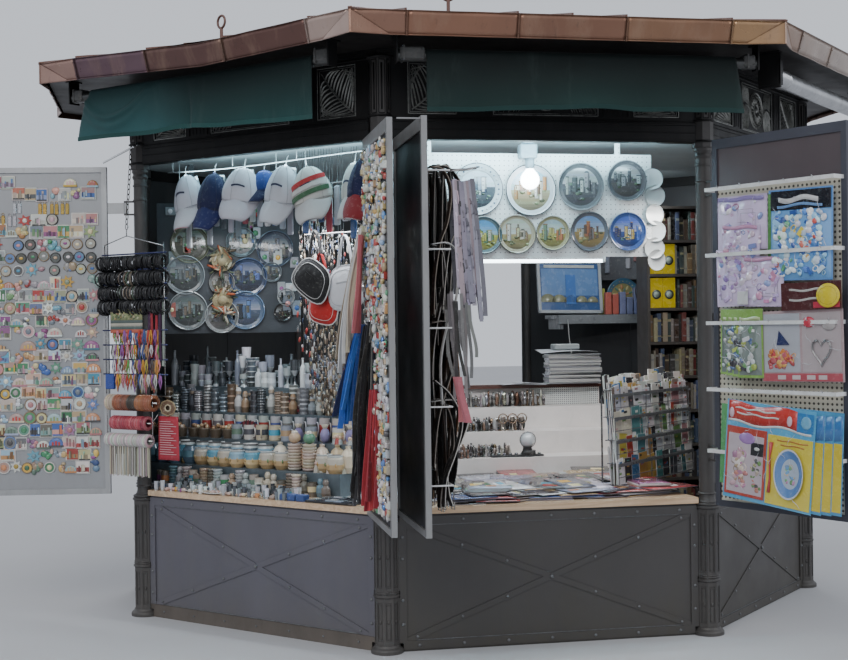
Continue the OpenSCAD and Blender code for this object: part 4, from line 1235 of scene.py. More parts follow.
def view_plate(mb, Q, x, z, r, rimc, ringc, sky, land, deco, lip=None):
    """Glazed plate with a painted hill town: sky, fields, houses and trees."""
    R = Q @ T3(x, 0, z) @ rot(-90, 'X')
    mb.mat = C_
    k = .74 if ringc else .90
    prof = [((0, .002), (r * .55, .002), rimc), ((r * .55, .002), (r, .016), rimc), ((r, .016), (r, .019), lip or rimc), ((r, .019), (r * .965, .0205), lip or rimc),
            ((r * .965, .0205), (r * .93, .0185), rimc), ((r * .93, .0185), (r * k, .0115), ringc or rimc), ((r * k, .0115), (r * (k - .03), .0095), mul(rimc, .8))]
    for a, b, c in prof:
        mb.col = c
        mb.lathe([a, b], 36, R)
    if ringc:
        for i in range(28):
            a = i * math.pi / 14
            mb.col = jit(deco[i % len(deco)])
            mb.ball((r * .84 * math.cos(a), r * .84 * math.sin(a), .0160), r * .042, R, 6, 4, (1, 1, .3))
    rr = r * (k - .03)
    hz = rnd.uniform(-.05, .18)
    n = 16
    for j in range(n):
        z0, z1 = -rr + 2 * rr * j / n, -rr + 2 * rr * (j + 1) / n
        t = ((z0 + z1) / 2 / rr)
        if t > hz:
            mb.col = jit(mix3(mix3(sky, (.52, .54, .52), .45), sky, min(1, (t - hz) * 1.6)), .06)
        else:
            mb.col = jit(mix3(land, mul(land, .35), min(1, (hz - t) * 1.1)), .16)
        w0, w1 = math.sqrt(max(0, rr * rr - z0 * z0)), math.sqrt(max(0, rr * rr - z1 * z1))
        y = .0092
        mb.add([(x - w0, y, z + z0), (x + w0, y, z + z0), (x + w1, y, z + z1), (x - w1, y, z + z1)], [(3, 2, 1, 0)], Q, False)
    H = hz * rr
    for i in range(12):
        a = rnd.uniform(-.80, .62) * rr
        w = rnd.uniform(.11, .28) * rr
        top = H + rnd.choice((.05, .12, .16, .22, .30, .52)) * rr
        top = min(top, .86 * math.sqrt(max(0, rr * rr - max(abs(a), abs(a + w)) ** 2)))
        base = H - rnd.uniform(.06, .52) * rr
        c = jit(deco[i % len(deco)], .2)
        mb.col = c
        mb.box(x + a, x + a + w, .0085, .0100 + .0003 * i, z + base, z + top, Q)
        mb.col = mul(c, .45)
        mb.box(x + a + w * .66, x + a + w, .0085, .0102 + .0003 * i, z + base, z + top, Q)
        mb.col = jit(mul(deco[(i + 1) % len(deco)], .5), .2)
        if i % 3 == 0:
            mb.ball((x + a + w / 2, .0095, z + top), w * .5, Q, 8, 4, (1, .0012 / (w * .5), .9))
        else:
            mb.box(x + a - w * .08, x + a + w * 1.08, .0085, .0104 + .0003 * i, z + top, z + top + rr * .05, Q)
        for q in range(2):
            zz = z + lerp(base, top, .3 + .3 * q)
            mb.box(x + a + w * .18, x + a + w * .38, .0085, .0106 + .0003 * i, zz, zz + rr * .06, Q)
    for i in range(10):
        a, b = rnd.uniform(-.75, .75) * rr, rnd.uniform(-.62, hz) * rr
        if a * a + b * b > .80 * rr * rr:
            continue
        mb.col = jit(mul(mix3(land, (.06, .12, .05), .6), rnd.choice((.5, 1.2))), .3)
        q = rnd.uniform(.05, .11) * rr
        mb.ball((x + a, .0098, z + b), q, Q, 7, 4, (1.3, .0022 / q, .8))


def magnet(mb, Q, x, z, w, h, t=.007):
    """Small moulded fridge piece: tile, disc, arch, fan or cluster."""
    kind = rnd.random()
    c1, c2, c3 = (mix3(jit(pick()), pick((.76, .78, .80), (.40, .52, .64), (.64, .52, .26), (.06, .055, .05)), rnd.uniform(0, .50)) for _ in range(3))
    if kind < .34:
        mb.mat, mb.col = G_, jit((.66, .65, .60))
        mb.box(x - w / 2, x + w / 2, 0, t * .55, z - h / 2, z + h / 2, Q, .0015)
        mb.mat, mb.col = C_, c1
        mb.box(x - w * .42, x + w * .42, t * .5, t * .68, z, z + h * .42, Q)
        mb.col = c2
        mb.box(x - w * .42, x + w * .42, t * .5, t * .74, z - h * .42, z, Q)
        mb.col = c3
        for i in range(5):
            mb.col = jit(c3, .3) if i % 2 else jit(mul(c2, .4), .3)
            xx = x + w * rnd.uniform(-.38, .22)
            mb.box(xx, xx + w * rnd.uniform(.06, .18), t * .5, t * rnd.uniform(.8, 1.1), z - h * rnd.uniform(.2, .4), z + h * rnd.uniform(-.10, .34), Q)
        mb.col = jit(pick((.05, .05, .05), (.60, .58, .52), c1))
        mb.box(x - w * .40, x + w * .40, t * .5, t * .9, z - h * .42, z - h * .32, Q)
    elif kind < .50:
        disc(mb, Q, x, z, min(w, h) * .5, c1, pick((.05, .045, .04), (.62, .60, .56), (.24, .17, .09), c2), t * .8, 14)
        mb.mat, mb.col = C_, c3
        mb.ball((x, t * .6, z), min(w, h) * .24, Q, 7, 4, (1, .18, 1))
    elif kind < .72:
        for i in range(rnd.randint(4, 6)):
            mb.mat, mb.col = C_, jit(pick(c1, c2, c3))
            mb.ball((x + w * rnd.uniform(-.34, .34), t * .4, z + h * rnd.uniform(-.3, .3)), min(w, h) * rnd.uniform(.16, .30), Q, 7, 4,
                    (rnd.uniform(.7, 1.3), .32, rnd.uniform(.6, 1.2)))
    elif kind < .88:
        mb.mat, mb.col = C_, c1
        up = math.pi if rnd.random() < .8 else 0.
        mb.lathe([(0, 0), (w * .5, 0), (w * .5, t * .6), (w * .4, t * .85), (0, t * .85)], 10, Q @ T3(x, 0, z - h * .3) @ rot(-90, 'X'), True, up, up + math.pi)
        mb.lathe([(0, t * .86), (w * .30, t * .86)], 10, Q @ T3(x, 0, z - h * .3) @ rot(-90, 'X'), True, up, up + math.pi)
        mb.col = c2
        mb.box(x - w * .5, x + w * .5, 0, t, z - h * .42, z - h * .28, Q, .001)
        mb.col = c3
        for s in (-1, 0, 1):
            mb.box(x + s * w * .2 - w * .06, x + s * w * .2 + w * .06, t * .5, t, z - h * .28, z + h * (.05 - .08 * abs(s)), Q)
    else:
        mb.mat, mb.col = C_, c1
        v = [(x + w * .5 * math.cos(a) * (1 if i % 2 else .55), 0, z + h * .5 * math.sin(a) * (1 if i % 2 else .55)) for i, a in
             enumerate([j * math.pi / 7 for j in range(14)])]
        f = [tuple(range(14))]
        f += [(i, i + 14, (i + 1) % 14 + 14, (i + 1) % 14) for i in range(14)] + [tuple(14 + j for j in reversed(range(14)))]
        mb.add(v + [(a, t * .6, b) for a, _, b in v], f, Q, False)
        mb.col = c2
        mb.ball((x, t * .6, z), min(w, h) * .2, Q, 8, 4, (1, .35, 1))


def strap(mb, M, pts, w, t=.003, mat=L_, col=(.02, .02, .02), side=(1, 0, 0), edge=None):
    """Flat strap through points, its width along side."""
    sd = Vector(side).normalized() * (w / 2)
    mb.mat, mb.col = mat, col
    v, f = [], []
    pts = [Vector(p) for p in pts]
    n = len(pts)
    for i, p in enumerate(pts):
        tg = (pts[min(i + 1, n - 1)] - pts[max(i - 1, 0)]).normalized()
        nr = tg.cross(sd).normalized() * (t / 2)
        v += [p - sd + nr, p + sd + nr, p + sd - nr, p - sd - nr]
    for i in range(n - 1):
        for j in range(4):
            f.append((4 * i + j, 4 * i + (j + 1) % 4, 4 * i + 4 + (j + 1) % 4, 4 * i + 4 + j))
    f += [(3, 2, 1, 0), (4 * n - 4, 4 * n - 3, 4 * n - 2, 4 * n - 1)]
    mb.add(v, f, M, False)
    if edge:
        mb.col = edge
        for s in (-1, 1):
            mb.tube([p + sd * s for p in pts], t * .55, 4, M)


def magazine(mb, Q, w, h, t, cover, page=(.62, .60, .56)):
    """Lying magazine in the xy plane of Q, its corner at the origin."""
    mb.mat, mb.col = P_, page
    mb.box(.001, w - .001, .001, h - .001, 0, t, Q)
    mb.mat, mb.col = W_, cover
    z = t

    def top(u, v):
        return (w * u, h * v, z + .0006 + .003 * (u * (1 - u)) * (1 if v > .5 else .6))
    mb.grid(top, 5, 3, Q, True, .0005)
    mb.box(-.0008, .0006, 0, h, 0, t + .001, Q)
    for i in range(rnd.randint(2, 4)):
        mb.mat, mb.col = P_, jit(pick(), .2)
        a, b = rnd.uniform(.06, .55) * w, rnd.uniform(.06, .7) * h
        ww, hh = rnd.uniform(.15, .38) * w, rnd.uniform(.08, .25) * h
        ww, hh = min(ww, w * .94 - a), min(hh, h * .94 - b)
        mb.box(a, a + ww, b, b + hh, z + .0006, z + .0018, Q)


def pot(mb, Q, prof, bands, n=14, mat=C_):
    """Turned vessel; bands gives a colour to each stretch of the profile."""
    mb.mat = mat
    for i in range(len(prof) - 1):
        mb.col = bands[min(i, len(bands) - 1)]
        mb.lathe(prof[i:i + 2], n, Q)


def mug(mb, Q, r, h, c1, c2, mat=C_):
    # painted shade: the inside wall and floor of the mug are painted at 80% and 50% of the glaze colour
    pot(mb, Q, [(0, 0), (r * .92, 0), (r, .004), (r, h * .35), (r, h * .72), (r, h), (r * .93, h), (r * .90, h * .5), (0, h * .12)], [c1, c1, c1, c2, c1, c1, mul(c1, .8), mul(c1, .5)], 14, mat)
    mb.mat, mb.col = mat, c1
    mb.tube([(r * .96, 0, h * .80), (r * 1.35, 0, h * .78), (r * 1.52, 0, h * .52), (r * 1.34, 0, h * .24), (r * .96, 0, h * .2)], .0045, 6, Q)


def bottle(mb, Q, r, h, c, mat=X_):
    pot(mb, Q, [(0, 0), (r, .002), (r, h * .58), (r * .85, h * .68), (r * .36, h * .78), (r * .34, h * .94), (r * .42, h * .95), (r * .42, h), (0, h)],
        [c, c, mul(c, .9), c, c, mul(c, .8), mul(c, .6), mul(c, .6)], 12, mat)


def bowls(mb, Q, r, n, c):
    """Stack of ribbed bowls."""
    for i in range(n):
        mb.mat, mb.col = C_, jit(c, .08)
        mb.lathe([(r * .6, i * .016), (r * .86, i * .016 + .004), (r, i * .016 + .014), (r * .97, i * .016 + .0165), (r * .6, i * .016 + .012)], 16, Q)


def cap(mb, Q, c, brim, pipe, back=(.4, .4, .4)):
    """Cloth cap hung by its back, peak down; the crown's middle at Q."""
    mb.mat = T_

    def crown(u, v):
        a = 2 * math.pi * u
        p = math.pi * .60 * v
        z = math.cos(p)
        rr = math.sin(p) ** .80
        if p > math.pi / 2:
            rr = 1 - .10 * (p - math.pi / 2)
        rib = 1 + .012 * abs(math.cos(a * 3)) ** .5
        dent = 1 - .10 * math.exp(-((a - 4.2) / .5) ** 2) * math.exp(-((v - .45) / .25) ** 2)
        lift = .018 * math.sin(a) * max(0., v - .5)
        return (.092 * rr * math.cos(a) * rib * (1 - .22 * max(0., z)), .066 * rr * math.sin(a) * rib * dent, -.005 + .120 * z + lift)
    mb.col = c
    mb.grid(lambda u, v: crown(1 - u, v), 30, 12, Q, True, .002)
    for i in range(6):
        a = (i + .25) / 6
        mb.col = mul(c, .62)
        mb.tube([Vector(crown(a, .04 + .95 * t / 9)) * 1.008 for t in range(10)], .0013, 4, Q)
    mb.col = mul(c, .8)
    mb.ball((0, 0, .116), .008, Q, 8, 5)
    # painted shade: a flat sheet at 45% of the crown colour closes the inside of the crown, for the shade within the
    # cap
    mb.col = mul(c, .45)
    mb.grid(lambda u, v: (.080 * (2 * u - 1), -.020 + .075 * v, -.036), 6, 3, Q)

    def peak(u, v):
        s = 2 * u - 1
        w = .088 * math.sqrt(max(0., 1 - (v * .90) ** 3.0))
        return (s * w, -.058 - .052 * v + .058 * s * s * (1 - .45 * v), -.030 - .104 * v - .006 * s * s)
    mb.col = brim
    mb.grid(peak, 16, 9, Q, True, .0035)
    for t in (.02, .30, .44, .58, .72, .98):
        mb.col = pipe if t > .5 and t != .72 else mul(brim, .68)
        q = [Vector(peak(i / 16, t)) + Vector((0, -.0020, 0)) for i in range(17)]
        mb.tube(q, .0026 if t > .9 else .0014, 4, Q)
    # stitched seam band between crown and peak
    mb.col = mul(c, .55)
    mb.tube([Vector(crown(.5 + .5 * t / 12, .97)) * 1.012 for t in range(13)], .002, 4, Q)
    mb.col = back
    mb.tube([(-.03, .050, .075), (-.015, .058, .11), (.015, .058, .11), (.03, .050, .075)], .006, 6, Q)
    mb.mat, mb.col = G_, (.20, .20, .20)
    mb.tube([(0, 0, .110), (0, .004, .150), (0, .012, .162)], .0022, 5, Q)
    # plain stitched badge on the front
    if sum(c) > .6:
        mb.mat, mb.col = T_, (.035, .04, .085)
        for q, hh in ((0, .0085), (1, .004)):
            strap(mb, Q, [(.048 * math.sin(t) + .004, -.0668 * math.cos(t * .7) * (1 - .1 * q) - .0015, .030 - .018 * q + .004 * math.cos(3 * t)) for t in [-.75 + .25 * j for j in range(7)]], hh, .002, T_, mb.col, (0, 0, 1))


def bag(mb, Q, w, h, d, c, pipe):
    """Soft shoulder bag: padded shield with piping and a small tab."""
    mb.mat, mb.col = T_, c

    def shape(a):
        x, z = math.cos(a), math.sin(a)
        k = 1 / max(abs(x) ** 3 + abs(z) ** 3, 1e-6) ** (1 / 3)
        return x * k * w / 2 * (1 - .14 * z * k), z * k * h / 2
    n = 28
    rings = []
    for s in (-1, 1):
        for t, y in ((0, 1.), (.45, .92), (.75, .66), (.93, .30), (1., 0.)):
            rings.append([(shape(2 * math.pi * i / n)[0] * t, s * d / 2 * y, shape(2 * math.pi * i / n)[1] * t) for i in range(n)])
    v, f = [], []
    order = rings[:5] + rings[5:][::-1]
    for r in order:
        v += r
    for j in range(len(order) - 1):
        for i in range(n):
            f.append((j * n + i, j * n + (i + 1) % n, (j + 1) * n + (i + 1) % n, (j + 1) * n + i))
    mb.add(v, f, Q, True)
    mb.col = pipe
    mb.tube([(shape(2 * math.pi * i / n)[0] * 1.01, 0, shape(2 * math.pi * i / n)[1] * 1.01) for i in range(n)], .0038, 6, Q, closed=True)
    mb.tube([(shape(2 * math.pi * i / n)[0] * .80, -d * .30, shape(2 * math.pi * i / n)[1] * .80) for i in range(n)], .0018, 4, Q, closed=True)
    mb.col = mul(c, .6)
    mb.box(-w * .16, w * .16, -d * .52, -d * .44, h * .10, h * .14, Q, .001)


def jag(a, b, t):
    return a + (b - a) * t
# ------------------------------------------------ outer left leaf: magnets
gA = MB()
QA = away(LEAF_A, .005)
row_z = 2.415
rows = 0
while row_z > .76:
    h = .066 if rows < 3 else rnd.uniform(.060, .070)
    x = .046 + rnd.uniform(0, .02)
    while x < .735:
        w = rnd.uniform(.052, .078)
        skip = (rows == 0 and .21 < x < .42) or (rows < 3 and rnd.random() < .22) or rnd.random() < .045
        if not skip:
            zz = row_z + rnd.uniform(-.006, .006)
            if rows == 2 or (rows == 3 and .45 < x < .62):
                # bronze and silver engraved tags on split rings
                c = pick((.55, .36, .10), (.60, .42, .14), (.46, .46, .44))
                gA.mat, gA.col = M_, jit(c)
                for s in (-.014, .012):
                    gA.box(x + w / 2 + s - .010, x + w / 2 + s + .010, 0, .006, zz - .040, zz + .018, QA, .002)
                    gA.tube([(x + w / 2 + s + .007 * math.cos(a * .785), .004, zz + .026 + .007 * math.sin(a * .785)) for a in range(8)], .0012, 4, QA, closed=True)
                    for q in range(3):
                        gA.box(x + w / 2 + s - .007, x + w / 2 + s + .007, .005, .0072, zz - .034 + q * .017, zz - .024 + q * .017, QA)
            elif rows in (5, 6, 7) and rnd.random() < .72:
                disc(gA, QA, x + w / 2, zz, .031, jit(pick((.22, .22, .20), (.12, .22, .40), (.42, .40, .34), (.10, .10, .09))), pick((.028, .026, .024), (.05, .04, .03), (.60, .60, .58), (.22, .15, .08)), .008, 18)
                gA.mat, gA.col = C_, jit(pick())
                gA.ball((x + w / 2, .006, zz), .012, QA, 8, 4, (1, .15, .7))
            else:
                magnet(gA, QA, x + w / 2, zz, w * 1.16, h * 1.14, .0115)
        x += w + rnd.uniform(.000, .004)
    row_z -= h + .004
    rows += 1
gA.build("fridge_magnets", GM, "outer_left_leaf")

# ------------------------------- inner left leaf: small pieces and straps
gB = MB()
QB = away(LEAF_B, .005)
WARMS = [(.66, .66, .64), (.72, .70, .62), (.60, .50, .34), (.66, .56, .30), (.56, .58, .62), (.74, .72, .68), (.34, .33, .32), (.62, .60, .55), (.48, .42, .34),
         (.78, .78, .78), (.78, .77, .80), (.46, .07, .06), (.12, .26, .56), (.14, .36, .20), (.66, .40, .16), (.30, .46, .62), (.64, .66, .72), (.74, .70, .60)]
for r in range(44):
    z = 2.400 - r * .0388
    for cc in range(15):
        x = .055 + cc * .0455 + rnd.uniform(-.014, .014)
        zz = max(z + rnd.uniform(-.012, .012), .756)
        t = rnd.uniform(.012, .034)
        warm = pick(*WARMS)
        if z > 1.75:
            warm = pick((.66, .58, .36), (.70, .66, .54), (.60, .44, .20), (.64, .62, .58), (.16, .22, .42), (.40, .30, .18)) if r % 3 else warm
        gB.mat = pick(C_, C_, G_, P_, M_)
        gB.col = jit(warm)
        k = rnd.random()
        w, h = rnd.uniform(.024, .043), rnd.uniform(.026, .050)
        if k < .34:
            Q = QB @ T3(x, 0, zz) @ rot(rnd.uniform(-25, 25), 'Y')
            gB.box(-w / 2, w / 2, 0, t * .7, -h / 2, h / 2, Q, .002)
            gB.mat, gB.col = C_, jit(pick(*WARMS))
            gB.box(-w * .35, w * .3, t * .65, t, -h * .35, h * .2, Q)
        elif k < .80:
            for i in range(3):
                gB.col = jit(pick(warm, pick(*WARMS)))
                gB.ball((x + rnd.uniform(-.014, .014), t * rnd.uniform(.3, .8), zz + rnd.uniform(-.018, .018)), rnd.uniform(.007, .014), QB, 6, 4, (1, rnd.uniform(.6, 1.3), rnd.uniform(.7, 1.8)))
        else:
            disc(gB, QB, x, zz, w * .5, jit(warm), jit(pick((.1, .1, .1), (.7, .7, .68), (.5, .1, .08))), t * .8, 10)
gB.build("leaf_trinkets_left", GM, "inner_left_leaf")

gS = MB()
# hooks and rod that carry the straps
gS.mat, gS.col = M_, (.45, .45, .44)
for x in (.10, .30, .52):
    gS.tube([(x, .006, 2.08), (x, .030, 2.075), (x, .052, 2.085), (x, .056, 2.100)], .003, 6, LEAF_B)
    gS.tube([(x, .006, 1.60), (x, .030, 1.595), (x, .052, 1.605), (x, .056, 1.620)], .003, 6, LEAF_B)


def hang_strap(mb, M, x, y, z0, z1, w, c, sway=.01, mat=T_, t=.004, edge=None, n=12, side=(1, 0, 0), drift=0., arc=0.):
    """Strap hanging from a hook; drift carries its foot outwards."""
    ph = rnd.uniform(0, 6)
    pts = []
    for i in range(n + 1):
        q = i / n
        pts.append((x + sway * math.sin(ph + 3.1 * q) * q, y + drift * q ** .9 + arc * math.sin(math.pi * q) + sway * .6 * math.cos(ph * 1.7 + 4 * q) * q, lerp(z0, z1, q)))
    strap(mb, M, pts, w, t, mat, c, side, edge)


def loop_strap(mb, M, x, y, z0, z1, w, c, gap=.03, mat=L_, t=.004, edge=None):
    """Strap hung over a hook, both tails down."""
    pts = []
    n = 10
    for i in range(n + 1):
        pts.append((x - gap / 2 - .004 * math.sin(i * .6), y + .004, lerp(z1 + rnd.uniform(0, .03), z0 - .02, i / n)))
    for i in range(1, 6):
        a = math.pi * (1 - i / 6)
        pts.append((x + gap / 2 * math.cos(a), y, z0 - .02 + gap / 2 * math.sin(a)))
    for i in range(n + 1):
        pts.append((x + gap / 2 + .004 * math.sin(i * .6), y - .004, lerp(z0 - .02, z1, i / n)))
    strap(mb, M, pts, w, t, mat, c, (0, 1, 0), edge)


# pale ribbons and scarves, then blue, dark and red ones further down
for i in range(20):
    q = i / 19
    hang_strap(gS, LEAF_B, .05 + rnd.uniform(0, .14), .028 + .020 * q, 2.075 - .05 * q, rnd.uniform(1.37, 1.50), rnd.uniform(.016, .026),
               jit(pick((.44, .40, .30), (.62, .59, .52), (.34, .28, .18), (.52, .46, .36), (.66, .64, .60), (.26, .22, .16)), .12), .016, T_, .005, None, 14, (rnd.uniform(.2, .8), 1, 0), .020 + .085 * q, .012)
for i in range(4):
    hang_strap(gS, LEAF_B, .16 + i * .03, .040 + .008 * i, 2.02, 1.56, .018, jit((.42, .12, .13)), .012, T_, .005, None, 10, (.5, 1, 0), .03)
for i in range(14):
    q = i / 13
    hang_strap(gS, LEAF_B, .06 + rnd.uniform(0, .10), .035 + .02 * q, 1.60, rnd.uniform(1.10, 1.20), rnd.uniform(.018, .028), jit(pick((.012, .05, .22), (.02, .09, .36), (.008, .014, .06), (.03, .12, .40))), .014, T_, .005, None, 12, (rnd.uniform(.2, .8), 1, 0), .02 + .10 * q, .006)
for i in range(26):
    q = i / 25
    hang_strap(gS, LEAF_B, .12 + rnd.uniform(0, .26), .018 + .030 * q, rnd.uniform(1.50, 1.62), rnd.uniform(.735, 1.02), rnd.uniform(.012, .024),
               jit(pick((.010, .010, .011), (.020, .017, .016), (.05, .045, .038), (.09, .09, .10), (.012, .012, .020), (.16, .15, .14))), .020, T_, .005, None, 12, (rnd.uniform(.2, .9), 1, 0), -.01 + .085 * q, .010)
for i in range(10):
    q = i / 9
    hang_strap(gS, LEAF_B, .30 + rnd.uniform(0, .14), .016 + .018 * q, 1.30, rnd.uniform(.735, .80), rnd.uniform(.014, .026), jit(pick((.30, .025, .035), (.42, .04, .05), (.20, .012, .02))), .010, T_, .006, None, 10, (rnd.uniform(.2, .8), 1, 0), .012 + .03 * q)
for x in (.20, .34, .48):
    gS.mat, gS.col = M_, (.5, .5, .5)
    gS.tube([(x - .05, .035, 1.605), (x + .05, .035, 1.605)], .003, 6, LEAF_B)
gS.c = [tuple(min(.72, 1.45 * q) for q in c) for c in gS.c]
gS.build("hanging_straps_left", GM, "inner_left_leaf")

# ------------------------------------------- caps and bags under the lintel
F7, F0 = FM(7), FM(0)
gC = MB()
caps = [(94, 333, 2139, 2474, (.58, .61, .68), (.52, .55, .60), (.42, .04, .05), -10), (294, 488, 2132, 2470, (.004, .008, .055), (.008, .014, .09), (.30, .32, .36), 6),
        (495, 719, 2173, 2482, (.60, .59, .64), (.50, .49, .54), (.30, .28, .30), 8), (640, 790, 2263, 2456, (.008, .036, .20), (.004, .008, .05), (.3, .3, .3), -4),
        (788, 995, 2137, 2475, (.56, .57, .61), (.50, .51, .55), (.30, .30, .30), 10), (987, 1201, 2126, 2459, (.56, .55, .51), (.50, .50, .50), (.10, .10, .10), -14),
        (1246, 1408, 2136, 2462, (.54, .54, .50), (.50, .50, .50), (.3, .3, .3), 0), (1342, 1520, 2129, 2479, (.004, .006, .050), (.22, .015, .02), (.5, .5, .5), 6)]
for i, (x0, x1, z0, z1, c, b, p, tilt) in enumerate(caps):
    w = (x1 - x0) / 1000
    s = (z1 - z0) / 275.
    sx = min(1.30, max(.90, w / .175))
    Q = F7 @ T3((x0 + x1) / 2000, .165 + (.065 if i in (3, 6) else 0), (z1 / 1000) - .140 * s) @ rot(tilt, 'Y') @ rot(12 * (i % 3 - 1), 'Z') @ Matrix.Diagonal((sx, 1, s, 1))
    cap(gC, Q, c, b, p)
    if i == 5:
        for z, col in ((.044, (.50, .04, .04)), (.018, (.60, .59, .56)), (-.010, (.05, .13, .06))):
            gC.mat, gC.col = T_, col
            pts = [(.096 * math.cos(a) * (1 - 2.2 * max(0, z)), -.070 * abs(math.sin(a)) * (1 - 1.2 * max(0, z)) - .002, z + .012 * math.cos(a)) for a in [math.pi * (1.10 + .80 * t / 10) for t in range(11)]]
            strap(gC, Q, pts, .020, .003, T_, col, (0, 0, 1))
# cord the caps are pegged on, and its hooks
gC.mat, gC.col = G_, (.25, .25, .25)
gC.tube([(x, .155, 2.470 - .010 * math.sin(x * 3)) for x in [.06 + .06 * i for i in range(26)]], .003, 6, F7)
for x in (.10, .55, 1.00, 1.45):
    gC.tube([(x, .155, 2.470), (x, .155, 2.5595)], .002, 5, F7)
# goods hanging behind the caps: slim packets and small soft toys
for i in range(26):
    x = .08 + i * .053
    zt = 2.30 + rnd.uniform(-.05, .05)
    gC.mat, gC.col = pick(W_, G_, T_), jit(pick((.45, .50, .56), (.60, .62, .64), (.05, .10, .26), (.10, .10, .11), (.45, .06, .09), (.35, .38, .40), (.20, .24, .28)))
    gC.box(x, x + .036, .215, .235, zt - rnd.uniform(.14, .24), zt, F7, .006)
    gC.mat, gC.col = M_, (.4, .4, .4)
    gC.tube([(x + .018, .225, zt), (x + .018, .225, zt + .03)], .0015, 4, F7)
gC.tube([(.06, .225, 2.34), (1.48, .225, 2.34)], .003, 6, F7)
for x in (.08, .8, 1.46):
    gC.tube([(x, .225, 2.34), (x, .225, 2.559)], .002, 5, F7)
# three padded bags on a low rod
for x, z, w, h, tilt, c, p, yy in ((1.000, 1.840, .250, .200, 34, (.010, .010, .011), (.62, .62, .62), .270), (1.035, 1.712, .190, .215, 12, (.48, .018, .016), (.66, .62, .60), .326),
                               (1.200, 1.795, .225, .230, -8, (.66, .67, .70), (.50, .50, .52), .300)):
    Q = F7 @ T3(x, yy, z) @ rot(tilt, 'Y')
    bag(gC, Q, w, h, .055, c, p)
    gC.mat, gC.col = T_, mul(c, .8)
    strap(gC, F7, [(x - .05 + .1 * t / 8, .300, z + h * .42 + math.sin(math.pi * t / 8) * .18) for t in range(9)], .022, .004, T_, mul(c, .85), (0, 1, 0))
gC.mat, gC.col = M_, (.45, .45, .45)
gC.tube([(.93, .300, 2.085), (1.42, .300, 2.085)], .004, 6, F7)
for x in (.94, 1.41):
    gC.tube([(x, .300, 2.085), (x, .300, 2.559)], .0025, 5, F7)
gC.build("caps_and_bags", GM, "kiosk")

# ----------------------------------- plates and bunches on the grey board
gP = MB()
QG = away(F0, 1.600, -1)
for x, z, r, sky, land, ring in ((-.931, 1.906, .116, (.10, .13, .15), (.05, .06, .06), (.30, .34, .36)), (-.916, 1.696, .116, (.09, .12, .12), (.04, .05, .045), (.36, .40, .41)),
                                 (-.562, 1.892, .114, (.05, .08, .20), (.02, .03, .06), (.07, .11, .22)), (-.579, 1.695, .114, (.06, .11, .24), (.05, .07, .11), (.16, .25, .40)),
                                 (-.716, 1.860, .075, (.20, .19, .17), (.14, .12, .08), (.38, .38, .36)), (-.337, 1.771, .052, (.08, .10, .12), (.04, .05, .06), (.52, .55, .55)),
                                 (-.356, 1.680, .056, (.04, .04, .04), (.02, .02, .02), (.07, .07, .07)), (-.90, 2.09, .115, (.10, .12, .10), (.06, .06, .03), (.20, .21, .14)),
                                 (-.72, 1.66, .10, (.26, .28, .28), (.14, .14, .13), (.42, .44, .44)), (-.60, 2.10, .09, (.08, .15, .18), (.04, .06, .06), (.22, .27, .29)),
                                 (-.40, 2.06, .11, (.06, .08, .11), (.03, .03, .04), (.10, .12, .17)), (-.42, 1.92, .06, (.12, .16, .18), (.06, .07, .08), (.30, .34, .36))):
    view_plate(gP, QG, x, z, r, mul(ring, .42), None, mul(sky, .8), land, [mul(ring, .4), mul(sky, 1.6), mul(land, .5), (.14, .12, .08)], mul(ring, .95))
# bunches of straw, dried flowers and small hats
QS = away(F0, 1.560, -1)
for x, z, n in ((-.716, 2.03, 20), (-.72, 1.93, 18), (-.712, 1.79, 16), (-.70, 1.68, 22)):
    for i in range(n):
        a, r = rnd.uniform(0, 6.28), rnd.uniform(.02, .085)
        gP.mat, gP.col = pick(G_, T_), jit(pick((.30, .24, .13), (.40, .33, .20), (.10, .11, .06), (.40, .09, .03), (.10, .07, .04), (.50, .45, .34), (.06, .08, .05)))
        c = (x + r * math.cos(a), rnd.uniform(0, .03), z + .6 * r * math.sin(a))
        gP.ball((0, 0, 0), rnd.uniform(.008, .016), QS @ T3(*c) @ rot(-math.degrees(a) + rnd.uniform(-20, 20), 'Y'), 7, 4, (2.1, .6, .55))
        gP.tube([(x, .005, z + .04), ((x + c[0]) / 2, .02, (z + c[2]) / 2 + .02), c], .0018, 4, QS)
for x, z in ((-.715, 1.755), (-.715, 1.985)):
    gP.mat, gP.col = T_, (.34, .28, .16)
    gP.lathe([(.062, .0), (.058, .004), (.030, .006), (.026, .024), (0, .03)], 16, QS @ T3(x, .004, z) @ rot(-90, 'X') @ rot(12, 'Y'))
    gP.col = (.22, .15, .06)
    gP.lathe([(.031, .007), (.030, .013)], 16, QS @ T3(x, .005, z) @ rot(-90, 'X') @ rot(12, 'Y'))
# small cards, purses and pouches filling the board
for i in range(44):
    x, z = rnd.uniform(-1.06, -.29), rnd.uniform(1.60, 2.30)
    if min((x + .93) ** 2 + (z - 1.80) ** 2, (x + .57) ** 2 + (z - 1.80) ** 2) < .03 or abs(x + .72) < .09:
        continue
    w, h = rnd.uniform(.03, .07), rnd.uniform(.04, .10)
    gP.mat, gP.col = pick(W_, G_, P_), jit(pick((.20, .24, .27), (.12, .14, .16), (.35, .38, .40), (.40, .10, .08), (.08, .14, .30), (.30, .28, .20), (.50, .52, .52)))
    gP.box(x, x + w, 0, .012, z, z + h, QG, .003)
    gP.mat, gP.col = C_, jit(pick())
    gP.ball((x + w / 2, .012, z + h / 2), min(w, h) * .3, QG, 7, 4, (1, .25, 1))
gP.build("plates_on_grey_board", GM, "kiosk")

# ------------------------------------------------- tiers and left counter
gT = MB()
CLEAR = [(.20, .24, .27), (.42, .46, .49), (.11, .13, .15), (.62, .65, .67), (.05, .06, .07)]
